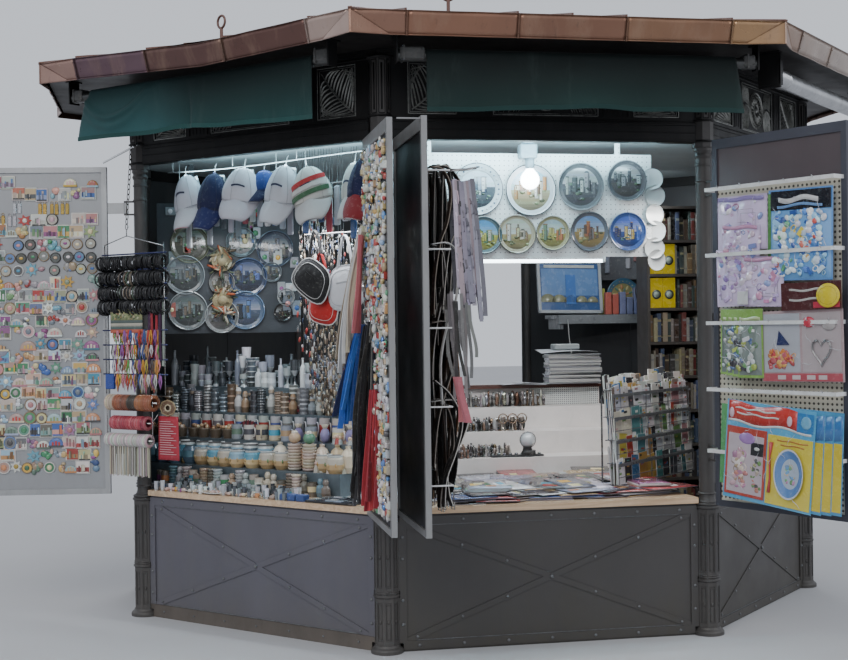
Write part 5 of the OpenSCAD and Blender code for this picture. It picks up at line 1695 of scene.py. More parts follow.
# top tier: tall vases, glasses, towers of small cups and bottles
for r in range(3):
    y = .675 + r * .05
    for i in range(29):
        x = -.42 + i * .056 + rnd.uniform(-.010, .010)
        if x > 1.18:
            continue
        Q = F7 @ T3(x, y, 1.2401)
        c = jit(pick(*CLEAR), .2)
        # painted highlight: hi is a pale grey-blue painted on lips, rims and bands of the top-tier glassware
        hi = mul((.55, .60, .63), rnd.uniform(.6, 1.15))
        h = rnd.uniform(.07, .19) + (.09 if r == 2 and rnd.random() < .22 else 0)
        k = rnd.random()
        if k < .22:
            bottle(gT, Q, rnd.uniform(.016, .024), h * 1.25, c)
        elif k < .55:
            # nested cups, their lips painted pale as a painted highlight
            n = max(2, int(h / .028))
            for j in range(n):
                cc = jit(pick(c, mul(c, .55), mul(c, 1.3)), .1)
                z0 = j * h / n
                gT.mat, gT.col = pick(X_, C_), cc
                gT.lathe([(.020, z0), (.027, z0 + h / n * .86)], 11, Q)
                gT.col = hi
                gT.lathe([(.027, z0 + h / n * .86), (.0285, z0 + h / n * .95), (.022, z0 + h / n)], 11, Q)
        elif k < .80:
            # painted highlight and shade: hi on the foot's edge, under the bowl and on the rim; the inside painted at
            # 40% and 30% of the body colour
            pot(gT, Q, [(0, 0), (.024, 0), (.020, h * .10), (.007, h * .22), (.007, h * .42), (.026, h * .62), (.028, h), (.026, h), (.020, h * .66), (0, h * .5)], [c, hi, mul(c, 1.1), c, hi, mul(c, .9), hi, mul(c, .4), mul(c, .3)], 11, X_)
        else:
            # painted highlight and shade: hi on the rim, the inside painted at 50% and 40% of the body colour
            pot(gT, Q, [(0, 0), (.026, 0), (.028, h * .3), (.024, h * .62), (.030, h), (.027, h), (.021, h * .5), (0, h * .1)], [c, mul(c, .85), c, mul(c, 1.1), hi, mul(c, .5), mul(c, .4)], 10, pick(X_, C_))
# third tier: jars with ringed bodies, baskets, figures
for r in range(2):
    for i in range(27):
        x = -.45 + i * .061 + rnd.uniform(-.012, .012)
        if x > 1.18:
            continue
        y = .535 + r * .055
        Q = F7 @ T3(x, y, 1.1001)
        c = jit(pick((.22, .26, .29), (.36, .38, .38), (.13, .16, .18), (.30, .25, .18), (.08, .09, .10), (.46, .47, .46), (.24, .16, .10)), .15)
        h = rnd.uniform(.085, .165)
        if rnd.random() < .55:
            pr, n = [(0, 0), (.027, 0)], pick(4, 6, 9)
            bands = [c, mul(c, .8)]
            for j in range(n):
                z = h * (j + .2) / n
                pr += [(.028, z), (.024, z + h * .06)]
                bands += [mul(c, pick(.5, 1.25, .9)), mul(c, .6)]
            # painted highlight and shade: the rim top is painted at 160% of the body colour and the inside at 50%
            pr += [(.028, h), (.022, h), (0, h * .92)]
            pot(gT, Q, pr, bands + [mul(c, 1.6), mul(c, .5), mul(c, .3)], 12, pick(C_, X_, G_))
        else:
            k = mul(c, 1.3)
            pot(gT, Q, [(0, 0), (.020, 0), (.026, h * .25), (.024, h * .5), (.012, h * .68), (.016, h * .74), (.017, h * .86), (.010, h), (0, h)], [c, mul(c, .7), k, mul(c, 1.1), c, (.42, .34, .26), k, c], 10, pick(C_, G_))
# second tier: mugs, lavender bags, a fan and dark baskets
for i in range(18):
    x = -.36 + i * .088
    if x > 1.18:
        continue
    y = .405 + rnd.uniform(-.015, .015)
    Q = F7 @ T3(x, y, .9601) @ rot(rnd.uniform(-60, 10), 'Z')
    if .62 < x < 1.16 and i % 2:
        gT.mat, gT.col = T_, jit((.30, .26, .50), .15)
        gT.ball((0, 0, .040), .036, Q, 10, 7, (.9, .75, 1.15))
        gT.col = (.55, .50, .40)
        gT.tube([(0, 0, .075), (0, 0, .100)], [.010, .022], 8, Q)
    elif x < .3:
        gT.mat, gT.col = G_, jit((.10, .08, .06))
        # painted shade: the inside of the basket is painted darkest
        pot(gT, Q, [(0, 0), (.030, 0), (.038, .05), (.036, .055), (.028, .01)], [(.09, .07, .05), (.12, .09, .06), (.16, .12, .08), (.05, .04, .03)], 12, G_)
        for j in range(8):
            gT.mat, gT.col = C_, jit(pick(*BROWNS))
            gT.ball((rnd.uniform(-.022, .022), rnd.uniform(-.022, .022), .055 + rnd.uniform(0, .02)), .012, Q, 6, 4)
    else:
        mug(gT, Q, .034, .085, jit(pick((.60, .58, .53), (.50, .44, .34), (.30, .34, .40))), jit(pick()))
    Q2 = F7 @ T3(x + .03, .483, .9601)
    mug(gT, Q2, .030, .13, jit(pick((.45, .47, .48), (.55, .52, .46))), jit(pick((.08, .12, .3), (.4, .06, .05), (.2, .2, .2))))
# open fans
for x, y, z, s in ((.42, .40, .965, 1.), (.60, .545, 1.105, .7)):
    Q = F7 @ T3(x, y, z)
    for j in range(17):
        a = math.radians(14 + 152 * j / 16)
        gT.mat, gT.col = G_, (.05, .02, .025) if j % 2 else (.20, .03, .04)
        q = Q @ rot(-math.degrees(a) + 90, 'Y')
        gT.box(-.004 * s, .004 * s, -.0015 * (j % 2), .0015, .012, .105 * s, q, .0)
        gT.box(-.010 * s, .010 * s, -.0025, .0015, .055 * s, .100 * s, q @ rot(6, 'Z'), 0)
# first tier: painted jars, stacks of ribbed bowls and round lids
for i in range(15):
    x = -.22 + i * .098
    if x > 1.17:
        continue
    y = .275 + rnd.uniform(-.02, .02)
    Q = F7 @ T3(x, y, .8201)
    if .78 < x < 1.02:
        bowls(gT, Q, .040, 9, (.60, .52, .42))
        gT.mat, gT.col = C_, jit(pick((.58, .22, .26), (.60, .40, .26), (.12, .28, .18), (.64, .50, .34)))
        gT.ball((0, 0, .175), .034, Q, 12, 8, (1, 1, .9))
        gT.col = (.66, .60, .50)
        gT.lathe([(.016, .196), (.020, .204), (.012, .214), (0, .216)], 10, Q)
    elif x < .10:
        c = jit((.07, .12, .16))
        pot(gT, Q, [(0, 0), (.034, 0), (.050, .04), (.048, .075), (.030, .10), (.034, .108), (.028, .108)], [c, mul(c, 1.3), (.10, .22, .28), c, (.2, .26, .28), c], 14)
    else:
        a, b = pick(((.26, .42, .52), (.56, .40, .20)), ((.12, .34, .46), (.60, .46, .24)), ((.50, .46, .38), (.46, .32, .16)))
        # painted shade: the inside is painted dark grey and near black, the underside at 60% of the foot colour
        pot(gT, Q, [(0, 0), (.036, 0), (.048, .022), (.052, .048), (.048, .076), (.042, .086), (.046, .094), (.042, .096), (.038, .08), (0, .07)],
            [mul(b, .6), b, mul(b, 1.2), a, mul(a, 1.2), (.55, .60, .60), (.60, .62, .60), (.2, .2, .2), (.1, .09, .08)], 16)
        for j in range(7):
            gT.col = jit(pick((.50, .30, .10), (.15, .26, .10), (.55, .42, .2)))
            t = j * .9
            gT.ball((.0515 * math.cos(t), .0515 * math.sin(t), .045), .010, Q, 6, 4, (.5, .5, 1.1))
    if x > .60:
        Q2 = F7 @ T3(x + .045, y + .052, .8201)
        c = jit(pick((.60, .40, .42), (.62, .52, .42), (.20, .30, .24), (.64, .60, .52), (.50, .36, .24)))
        pot(gT, Q2, [(0, 0), (.030, 0), (.040, .03), (.040, .09), (.030, .115), (.012, .128), (.016, .14), (0, .146)], [c, mul(c, .8), c, mul(c, 1.15), mul(c, .9), c, mul(c, .7)], 12)
    else:
        # a second layer of painted jars stands on the first
        Q2 = F7 @ T3(x + .045, y + .058, .8201)
        a, b = pick(((.22, .36, .46), (.50, .36, .18)), ((.10, .28, .38), (.54, .40, .20)), ((.07, .11, .14), (.09, .16, .20)))
        # painted shade: the inside is painted dark grey and near black, the underside at 60% of the foot colour
        pot(gT, Q2, [(0, 0), (.036, 0), (.046, .03), (.050, .07), (.046, .105), (.040, .118), (.044, .128), (.038, .11), (0, .10)],
            [mul(b, .6), b, a, mul(a, 1.2), (.50, .56, .56), (.56, .58, .58), (.2, .2, .2), (.1, .09, .08)], 14)
# a row along the foot of the tiers: vases, angels, small busts and jars
for i in range(26):
    x = -.06 + i * .0505
    if x > 1.20:
        continue
    Q = F7 @ T3(x, .182 + rnd.uniform(-.012, .010), .7001)
    c = jit(pick((.50, .44, .36), (.60, .56, .50), (.30, .26, .20), (.14, .24, .30), (.40, .30, .22), (.44, .46, .46), (.18, .16, .13)), .18)
    h = rnd.uniform(.085, .125)
    k = rnd.random()
    if k < .4:
        pot(gT, Q, [(0, 0), (.020, 0), (.026, h * .25), (.024, h * .5), (.012, h * .68), (.016, h * .74), (.017, h * .86), (.010, h), (0, h)], [c, mul(c, .8), c, mul(c, 1.1), c, mul(c, 1.2), c, mul(c, .8)], 10)
    elif k < .7:
        mug(gT, Q, .026, h * .85, c, jit(pick()))
    else:
        bowls(gT, Q, .028, 7, c)
# counter: shells, ornaments, small glasses, rings, boxes and trays
for i in range(420):
    x, y = rnd.uniform(.08, 1.04), rnd.uniform(-.005, .165)
    Q = F7 @ T3(x, y, .7001)
    k = rnd.random()
    if k < .42:
        c = jit(pick((.60, .56, .50), (.52, .44, .34), (.66, .64, .60), (.40, .30, .24), (.56, .40, .36)))
        gT.mat, gT.col = pick(C_, G_), c
        gT.ball((0, 0, .010), rnd.uniform(.010, .017), Q @ rot(rnd.uniform(0, 180), 'Z'), 7, 5, (1.5, .9, .8))
    elif k < .70:
        c = jit(pick(*CLEAR), .15)
        h = rnd.uniform(.030, .062)
        # painted shade: the inside is painted at half the glass colour
        pot(gT, Q, [(0, 0), (.011, 0), (.013, h), (.011, h), (.009, .006), (0, .005)], [c, mul(c, 1.1), c, mul(c, .5), mul(c, .5)], 8, X_)
    elif k < .86:
        gT.mat, gT.col = M_, jit(pick((.5, .5, .5), (.35, .35, .36), (.45, .36, .2)))
        gT.tube([(.012 * math.cos(a * .785), .012 * math.sin(a * .785), .006 + .005 * (a % 2)) for a in range(8)], .0022, 5, Q, closed=True)
    else:
        gT.mat, gT.col = C_, jit(pick())
        gT.box(-.012, .012, -.008, .008, 0, rnd.uniform(.012, .034), Q @ rot(rnd.uniform(0, 90), 'Z'), .003)
for x, y, a in ((.44, .05, 24), (.30, .05, -10), (.52, .02, 8)):
    Q = F7 @ T3(x, y, .7002) @ rot(a, 'Z')
    gT.mat, gT.col = C_, (.64, .63, .60)
    gT.lathe([(0, .003), (.042, .003), (.062, .012), (.060, .014), (.040, .006), (0, .006)], 20, Q @ Matrix.Diagonal((1.4, 1, 1, 1)))
    for j in range(5):
        gT.col = jit(pick((.60, .34, .28), (.30, .38, .50), (.58, .50, .4)))
        gT.ball((rnd.uniform(-.04, .04), rnd.uniform(-.02, .02), .010), .012, Q, 7, 4, (1.6, 1, .6))
gT.mat = G_
for x in (.975, 1.035, 1.095):
    gT.col = (.04, .085, .27)
    gT.box(x, x + .052, -.006, .045, .7001, .732, F7, .003)
    gT.col = (.10, .17, .42)
    gT.box(x + .006, x + .046, .000, .040, .731, .7335, F7)
for x0, y0, w in ((1.16, -.010, .30), (1.17, .085, .29)):
    gT.mat, gT.col = G_, (.020, .021, .026)
    gT.box(x0, x0 + w, y0, y0 + .082, .7001, .712, F7, .003)
    for i in range(5):
        for j in range(2):
            gT.mat, gT.col = pick(M_, G_), jit(pick((.30, .34, .42), (.10, .11, .13), (.42, .44, .46)))
            gT.box(x0 + .012 + i * (w - .02) / 5, x0 + (i + 1) * (w - .02) / 5, y0 + .006 + j * .036, y0 + .036 + j * .036, .712, .7165, F7, .001)
# little angels, shakers and salt pots by the right end of the tiers
for i in range(46):
    x, y = rnd.uniform(1.03, 1.20), rnd.uniform(.20, .52)
    z0 = .70 if y < .225 else .8201 if y < .36 else .9601 if y < .50 else 1.1001
    if .21 < y < .23 or .35 < y < .37 or .49 < y < .51:
        continue
    Q = F7 @ T3(x, y, z0)
    c = jit(pick((.62, .56, .48), (.66, .60, .52), (.50, .10, .08), (.60, .40, .34), (.40, .42, .40)))
    h = rnd.uniform(.035, .07)
    pot(gT, Q, [(0, 0), (.018, 0), (.012, h * .6), (.006, h * .72)], [c, mul(c, .9), c], 9)
    gT.col = jit((.60, .42, .32))
    gT.ball((0, 0, h * .86), .012, Q, 8, 5)
gT.build("wares_on_tiers", GM, "kiosk")

# strings of key rings hanging from the ceiling over the tiers
gK = MB()
for sx, sy, zt, zb, n, warm in ((.84, .46, 2.20, 1.25, 60, 0), (.890, .42, 2.24, 1.20, 110, 0), (.935, .44, 2.24, 1.12, 130, 1), (.985, .45, 2.22, 1.12, 130, 1), (.78, .46, 2.15, 1.45, 40, 0), (1.05, .46, 2.10, 1.30, 80, 0), (1.13, .48, 2.15, 1.38, 70, 0)):
    for q in range(3):
        gK.mat, gK.col = M_, (.35, .35, .35)
        gK.tube([(sx + .018 * (q - 1), sy, 2.559), (sx + .018 * (q - 1), sy, zb)], .0014, 5, F7)
    for i in range(n):
        z = lerp(zb, zt, i / n)
        a = i * 2.4
        r = rnd.uniform(.008, .036)
        Q = F7 @ T3(sx + r * math.cos(a), sy + r * math.sin(a), z)
        gK.mat = pick(M_, M_, C_, G_, L_)
        if warm and z < 1.62:
            gK.col = jit(pick((.40, .33, .24), (.48, .43, .34), (.26, .19, .12), (.36, .30, .24), (.14, .10, .07)))
        else:
            gK.col = jit(pick((.14, .12, .11), (.48, .47, .46), (.05, .045, .04), (.66, .65, .64), (.28, .22, .16), (.44, .07, .06), (.10, .13, .22), (.36, .29, .20)))
        gK.ball((0, 0, 0), rnd.uniform(.005, .009), Q @ rot(rnd.uniform(-14, 14), 'Y'), 6, 4, (rnd.uniform(.8, 1.4), .7, rnd.uniform(1.4, 3.0)))
        if i % 2:
            gK.mat, gK.col = M_, (.45, .45, .45)
            gK.tube([(.006 * math.cos(t * 1.05), 0, .020 + .006 * math.sin(t * 1.05)) for t in range(6)], .0011, 4, Q, closed=True)
# wire stand with rows of spoons and forks, yellow and dark ones on its foot
for z in (1.36, 1.42, 1.50, 1.58, 1.66):
    gK.mat, gK.col = M_, (.5, .5, .5)
    gK.tube([(1.10, .62, z), (1.44, .62, z)], .003, 5, F7)
    for i in range(13):
        x = 1.11 + i * .026
        gK.mat, gK.col = pick(M_, G_), jit(pick((.42, .40, .36), (.20, .15, .10), (.55, .40, .10) if z < 1.45 else (.35, .33, .30), (.10, .09, .08)))
        gK.ball((x, .615, z - .030), .010, F7, 6, 4, (.7, .5, 2.4))
for x in (1.10, 1.44):
    gK.mat, gK.col = M_, (.5, .5, .5)
    gK.tube([(x, .62, 1.2401), (x, .62, 1.70)], .004, 6, F7)
gK.build("hanging_key_rings", GM, "kiosk")
# ------------------------------------------------- plates on the pegboard
gF = MB()
QP = away(F0, .398, -1)
DARK = (.045, .045, .045)
INK = [(.05, .06, .07), (.30, .31, .31), (.11, .12, .13), (.42, .43, .42)]
for x, z, r, rimc, ringc, lip, sky, land, deco in (
        (.568, 2.300, .138, (.50, .54, .56), (.46, .52, .55), (.05, .06, .08), (.30, .40, .46), (.08, .11, .13), [(.06, .09, .14), (.20, .26, .32), (.46, .48, .48)]),
        (.857, 2.297, .137, (.40, .46, .50), None, (.03, .035, .04), (.22, .40, .50), (.34, .32, .20), [(.52, .50, .42), (.16, .12, .08), (.40, .22, .10), (.50, .54, .54)]),
        (1.131, 2.316, .128, (.12, .13, .14), None, (.25, .27, .28), (.24, .26, .28), (.10, .11, .12), INK),
        (1.387, 2.350, .110, (.10, .10, .11), None, (.22, .22, .23), (.20, .21, .22), (.08, .08, .08), INK),
        (.600, 2.060, .099, (.10, .16, .18), None, (.05, .05, .05), (.06, .22, .40), (.36, .33, .06), [(.50, .46, .10), (.10, .22, .10), (.50, .50, .40)]),
        (.778, 2.065, .103, (.34, .31, .22), None, (.07, .06, .05), (.30, .32, .26), (.30, .24, .10), [(.50, .44, .28), (.22, .13, .06), (.46, .44, .38), (.10, .09, .06)]),
        (.974, 2.070, .092, (.30, .28, .16), None, (.06, .05, .05), (.26, .34, .34), (.34, .30, .08), [(.52, .44, .14), (.50, .48, .40), (.10, .16, .10), (.40, .14, .06)]),
        (1.178, 2.078, .106, (.10, .11, .13), None, (.05, .05, .05), (.10, .18, .34), (.28, .18, .06), [(.46, .32, .12), (.42, .42, .40), (.08, .06, .05), (.30, .10, .05)]),
        (1.389, 2.078, .104, (.03, .07, .22), None, (.16, .20, .30), (.03, .08, .34), (.02, .05, .20), [(.05, .12, .40), (.34, .38, .40), (.02, .03, .12), (.40, .30, .10)])):
    view_plate(gF, QP, x, z, r, rimc, ringc, sky, land, deco, lip)
    gF.mat, gF.col = M_, (.5, .5, .5)
    gF.tube([(x, .004, z + r + .012), (x, .012, z + r + .010), (x, .014, z + r - .004)], .0018, 5, QP)
# plain white plates seen past the board's right edge, piled edge on
for i, (x, z) in enumerate(((1.535, 2.36), (1.545, 2.27), (1.54, 2.17), (1.548, 2.08), (1.54, 1.99), (1.548, 1.925))):
    R = F0 @ T3(x, .402, z) @ rot(90, 'X') @ rot(14 * (i % 3 - 1), 'Y')
    gF.mat, gF.col = C_, (.62, .65, .65)
    gF.lathe([(0, .002), (.034, .002), (.055, .014), (.058, .016), (.052, .012), (.034, .006), (0, .006)], 20, R)
gF.build("plates_on_pegboard", GM, "kiosk")

# --------------------------------------------------------- stepped display
gD = MB()


def tray_row(x0, x1, y, z, n, hs, rows=3):
    for i in range(n):
        for r in range(rows):
            x = lerp(x0, x1, (i + .5 * (r % 2) + .25) / n) + rnd.uniform(-.003, .003)
            yy = y + r * .028
            Q = F0 @ T3(x, yy, z + .0002)
            h = rnd.uniform(*hs)
            c = jit(pick((.20, .20, .20), (.34, .34, .34), (.10, .09, .09), (.42, .38, .32), (.16, .11, .07), (.17, .10, .07), (.06, .06, .06), (.26, .24, .24)))
            gD.mat = pick(M_, M_, C_, X_)
            gD.col = c
            k = rnd.random()
            if k < .5:
                gD.lathe([(0, 0), (.010, 0), (.009, .006), (.003, h * .5), (.007, h * .75), (.005, h), (0, h)], 8, Q)
            elif k < .8:
                gD.ball((0, 0, h * .5), h * .42, Q, 7, 5, (.40, .40, 1.1))
            else:
                gD.tube([(.011 * math.cos(a * .785), 0, h * .6 + .014 * math.sin(a * .785)) for a in range(8)], .002, 5, Q, closed=True)
                gD.box(-.008, .008, -.006, .006, 0, .010, Q, .002)


tray_row(.48, 1.225, 1.470, 1.0901, 46, (.060, .100), 2)
tray_row(.47, 1.04, 1.262, .9601, 36, (.045, .082))
tray_row(.46, .90, 1.035, .8301, 29, (.040, .078))
tray_row(.46, .66, .985, .8301, 12, (.030, .055), 2)
# low dark tray, glass ball on its stand, ring of discs
gD.mat, gD.col = G_, (.025, .025, .027)
gD.box(.77, 1.08, .985, 1.030, .8302, .842, F0, .003)
for i in range(9):
    gD.mat, gD.col = M_, jit((.36, .37, .38))
    gD.ball((.785 + i * .034, 1.01, .846), .010, F0, 7, 4, (1.1, 1, .8))
Q = F0 @ T3(.985, 1.00, .842)
gD.mat, gD.col = G_, (.02, .02, .02)
gD.lathe([(0, 0), (.036, 0), (.036, .012), (.030, .020), (.024, .040), (.028, .046), (0, .046)], 18, Q)
gD.mat, gD.col = X_, (.62, .66, .68)
gD.ball((0, 0, .084), .043, Q, 18, 12)
gD.mat, gD.col = M_, (.40, .40, .40)
gD.tube([(.046 * math.cos(a * math.pi / 10), -.012, .084 + .046 * math.sin(a * math.pi / 10)) for a in range(20)], .003, 6, Q, closed=True)
for i in range(3):
    gD.mat, gD.col = G_, (.05, .05, .05)
    gD.lathe([(0, 0), (.034, 0), (.036, .010), (.030, .012), (.018, .012), (.018, .006), (0, .006)], 16, F0 @ T3(1.00 + i * .0, 1.005 - .0, .8302 + i * .012))
for i in range(3):
    Q = F0 @ T3(.905 + i * .058, 1.250, .9602)
    gD.mat, gD.col = M_, jit((.30, .22, .16))
    gD.tube([(.028 * math.cos(a * math.pi / 8), 0, .072 + .028 * math.sin(a * math.pi / 8)) for a in range(16)], .0035, 6, Q, closed=True)
    gD.col = (.35, .30, .26)
    gD.lathe([(0, 0), (.018, 0), (.014, .006), (.004, .014), (.004, .046)], 10, Q)
    gD.ball((0, 0, .072), .016, Q, 8, 5, (1, .3, 1))
# ledge of red-brown wood and the small perforated panel under it
gL = MB()
gL.box(.735, 1.604, 1.522, 1.606, 1.1995, 1.2205, F0, .004)
gL.box(.738, 1.602, 1.519, 1.5225, 1.196, 1.214, F0, .001)
LEDGE = wood("ledge_red_brown_wood", (.115, .040, .026), (.055, .020, .014), 0, .3)
gL.build("display_ledge_cover", [LEDGE], "kiosk")
gN = MB()
gN.box(1.150, 1.590, 1.5545, 1.5590, 1.0905, 1.1945, F0, .001)
SMALLPEG = perforated("small_perforated_white", (.62, .64, .62), (.10, .11, .11), .0125, 0, .05, .45, .24)
gN.build("perforated_ledge_panel", [SMALLPEG], "kiosk")
# scarves and straps draped off the steps' left end
for i in range(7):
    hang_strap(gD, F0, .440 - .006 * i, 1.0 + .07 * i, 1.15 + .02 * (i % 2), .72, .055, jit(pick((.52, .20, .22), (.10, .09, .10), (.16, .14, .14), (.40, .36, .34))), .012, T_, .006, None, 10, (0, 1, 0))
gD.build("wares_on_steps", GM, "kiosk")

# --------------------------------------------------------------- magazines
gM = MB()
COVERS = [(.80, .79, .78), (.70, .71, .76), (.40, .06, .05), (.60, .42, .16), (.12, .20, .42), (.78, .74, .68), (.30, .10, .20), (.045, .042, .045), (.56, .28, .16), (.26, .30, .40),
          (.84, .82, .80), (.10, .085, .08), (.50, .38, .28), (.62, .60, .64), (.06, .055, .07), (.22, .16, .12)]


def keep_in(R, w, h, lim=None):
    """Slide a paper back from the counter's front edge."""
    p = [R @ Vector((a, b, 0)) for a, b in ((0, 0), (w, 0), (0, h), (w, h))]
    if lim is None:
        lim = .008 if max(q.x for q in p) < .80 else .052
    return F0 @ T3(0, max(0., lim - min(q.y for q in p)), 0) @ R


PAGE = (.50, .49, .46)
HEAP = [(.84, .83, .82), (.66, .62, .68), (.05, .045, .06), (.42, .07, .07), (.58, .42, .20), (.12, .18, .40), (.46, .42, .50), (.24, .10, .18), (.03, .03, .035),
        (.56, .32, .20), (.32, .34, .46), (.86, .84, .82), (.10, .085, .08), (.54, .45, .40), (.68, .65, .71)]
EDGES = ((.50, .49, .46), (.13, .12, .13), (.30, .27, .33), (.44, .40, .42))
# flat layers over the front counter and deck
for lay in range(3):
    for i in range(17):
        x = .30 + i * .076 + rnd.uniform(-.02, .02)
        y = (-.005 if lay == 0 else .04) + rnd.uniform(0, .05) + (.16 if i % 2 else 0)
        w, h = rnd.uniform(.20, .235), rnd.uniform(.26, .295)
        a = rnd.uniform(-9, 9) + (-70 if rnd.random() < .3 else 0)
        if x + w > 1.56:
            continue
        Q = T3(x, y + (.08 if a < -40 else 0), .7004 + lay * .0125 + (i % 3) * .0038) @ rot(a, 'Z')
        if a < -40:
            Q = Q @ T3(-h * .2, 0, 0)
        Q = keep_in(Q, w, h)
        magazine(gM, Q, w, h, .0034, jit(pick(*HEAP), .15), pick(*EDGES))
for i in range(40):
    x, y = rnd.uniform(.46, 1.40), rnd.uniform(.32, .70)
    if x + .235 > 1.5:
        x = 1.24
    Q = F0 @ T3(x, y, .7004 + (i % 10) * .0046) @ rot(rnd.uniform(-16, 16), 'Z') @ rot(rnd.uniform(1, 7), 'X')
    magazine(gM, Q, rnd.uniform(.20, .235), rnd.uniform(.24, .28), .0042, jit(pick(*HEAP), .15), pick(*EDGES))
for i in range(26):
    x = .36 + i * .040 + rnd.uniform(-.01, .01)
    if x + .23 > 1.30:
        continue
    Q = keep_in(T3(x, .12 + rnd.uniform(-.05, .06), .728 + (i % 4) * .0042) @ rot(rnd.uniform(-26, 20), 'Z') @ rot(rnd.uniform(2, 6), 'X'), .22, .27, .19)
    magazine(gM, Q, rnd.uniform(.18, .225), rnd.uniform(.24, .28), .0040, jit(pick((.05, .048, .055), (.78, .77, .76), (.30, .07, .06), (.52, .34, .18), (.16, .17, .24), (.66, .60, .66), (.10, .09, .085), (.84, .82, .80)), .15), (.30, .29, .28))
# slanting sheaf by the steps' left end: pale blue edges
for i in range(12):
    Q = F0 @ T3(.34 + i * .012, .12 + i * .010, .7003 + i * .0045) @ rot(8 - i * 1.6, 'Z')
    magazine(gM, Q, .22, .27, .004, jit(pick((.44, .50, .60), (.56, .58, .62), (.36, .40, .50), (.60, .56, .58)), .1), PAGE)
# stacks on the ledge under a white sheet
z = 1.2208
for i in range(22):
    t = rnd.uniform(.004, .009)
    x = 1.255 + rnd.uniform(-.008, .008)
    Q = F0 @ T3(x, 1.470 + rnd.uniform(-.006, .006), z) @ rot(rnd.uniform(-3, 3), 'Z')
    if i % 6 == 5:
        c = jit(pick((.20, .20, .24), (.30, .10, .08), (.14, .14, .16)))
    else:
        c = jit((.42, .43, .44), .1)
    magazine(gM, Q, .33, .118, t, c, (.44, .44, .42) if i % 3 else (.20, .20, .21))
    z += t + .0016
gM.mat, gM.col = P_, (.66, .68, .72)
gM.grid(lambda u, v: (1.20 + .36 * u, 1.452 + .155 * v, z + .006 + .012 * math.sin(2.6 * u + v) + .010 * v), 14, 8, F0, True, .0008)
gM.mat, gM.col = G_, (.30, .33, .33)
gM.box(1.30, 1.46, 1.50, 1.60, z + .026, z + .060, F0, .006)
gM.mat, gM.col = P_, (.62, .63, .66)
gM.grid(lambda u, v: (.96 + .28 * u, 1.462 + .12 * v, 1.2215 + .004 * math.sin(5 * u)), 8, 4, F0, True, .0012)
gM.grid(lambda u, v: (1.05 + .22 * u, 1.468 + .11 * v, 1.2275 + .005 * math.sin(4 * u + 1)), 8, 4, F0, True, .0012)
gM.build("magazines_and_papers", GM, "kiosk")

# rack of magazines inside the front right corner, standing along the side wall
gR = MB()
F1 = FM(1)
RAILC = (.40, .41, .41)


def rack_pt(t, d=0., z=0.):
    return (lerp(.055, .86, t), .205 + d, z)


RX0, RX1 = -.07, .92
PALES = [(.74, .73, .70), (.80, .80, .78), (.60, .60, .61), (.58, .52, .44), (.74, .69, .58), (.48, .50, .52), (.10, .10, .11), (.76, .70, .70), (.055, .05, .055), (.22, .17, .14), (.88, .87, .84)]
BRIGHT = [(.50, .44, .08), (.16, .30, .10), (.44, .07, .05), (.08, .20, .40), (.50, .26, .28), (.10, .26, .28), (.52, .30, .08)]
for li in range(4):
    z = 1.205 - .122 * li
    d = .492 - .010 * li
    gR.mat, gR.col = G_, (.15, .155, .16)
    gR.box(RX0, RX1, d - .004, d, z - .009, z + .009, F1, .001)
    gR.mat, gR.col = G_, (.16, .16, .17)
    gR.box(RX0, RX1, d - .002, d + .056, z - .115, z - .110, F1, .001)
    gR.box(RX0, RX1, d - .004, d, z - .066, z - .062, F1, .001)
    for x in (RX0 + .004, .34, .63, RX1 - .004):
        gR.box(x - .0015, x + .0015, d - .004, d, z - .115, z + .010, F1)
    for j in range(6):
        x = RX0 + rnd.uniform(.006, .02)
        h = .150 + .014 * j
        while x < RX1 - .03:
            w = min(rnd.uniform(.030, .120), RX1 - .006 - x)
            hh = h * rnd.uniform(.86, 1.07)
            gR.mat, gR.col = pick(P_, P_, W_), jit(pick(*PALES, *PALES, *BRIGHT), .2)
            Q = F1 @ T3(x, d + .0022 + j * .0082, z - .108) @ rot(rnd.uniform(-6, 6), 'Y') @ rot(-rnd.uniform(1, 4), 'X')
            gR.box(0, w - .002, 0, .0045, 0, hh, Q, .0006)
            gR.mat, gR.col = P_, jit(pick((.70, .69, .66), (.58, .57, .55), (.78, .76, .72)), .1)
            gR.box(.001, w - .003, .0008, .0037, hh, hh + .0012, Q)
            gR.box(-.0004, .0008, 0, .0045, .002, hh - .002, Q)
            for q in range(3):
                gR.mat, gR.col = P_, jit(pick(*BRIGHT, (.66, .66, .62), (.04, .04, .04), (.10, .09, .09)), .2)
                e = rnd.uniform(.04, .5) * w
                f = rnd.uniform(.30, .90)
                gR.box(e, e + w * rnd.uniform(.2, .42), -.0010, 0, hh * f, hh * (f + rnd.uniform(.03, .09)), Q)
            x += w + rnd.uniform(0, .006)
for x in (RX0, .49, RX1):
    gR.mat, gR.col = M_, (.20, .20, .20)
    gR.tube([(x, .556, .7002), (x, .556, 1.20), (x, .540, 1.235), (x, .494, 1.240)], .005, 7, F1)
    gR.tube([(x, .556, .7102), (x, .465, .7052)], .005, 6, F1)
# more stacks, lying in front of the rack's foot
for s in range(4):
    z = .7003
    for i in range(9):
        t = rnd.uniform(.003, .006)
        Q = F0 @ T3(1.36 + .0 * s, .16 + s * .27 + rnd.uniform(-.01, .01), z) @ rot(rnd.uniform(-5, 5), 'Z')
        magazine(gR, Q, .17 if s == 0 else .20, .22, t, jit(pick(*COVERS), .15), PAGE)
        z += t + .0012
gR.build("magazine_rack", GM, "kiosk")

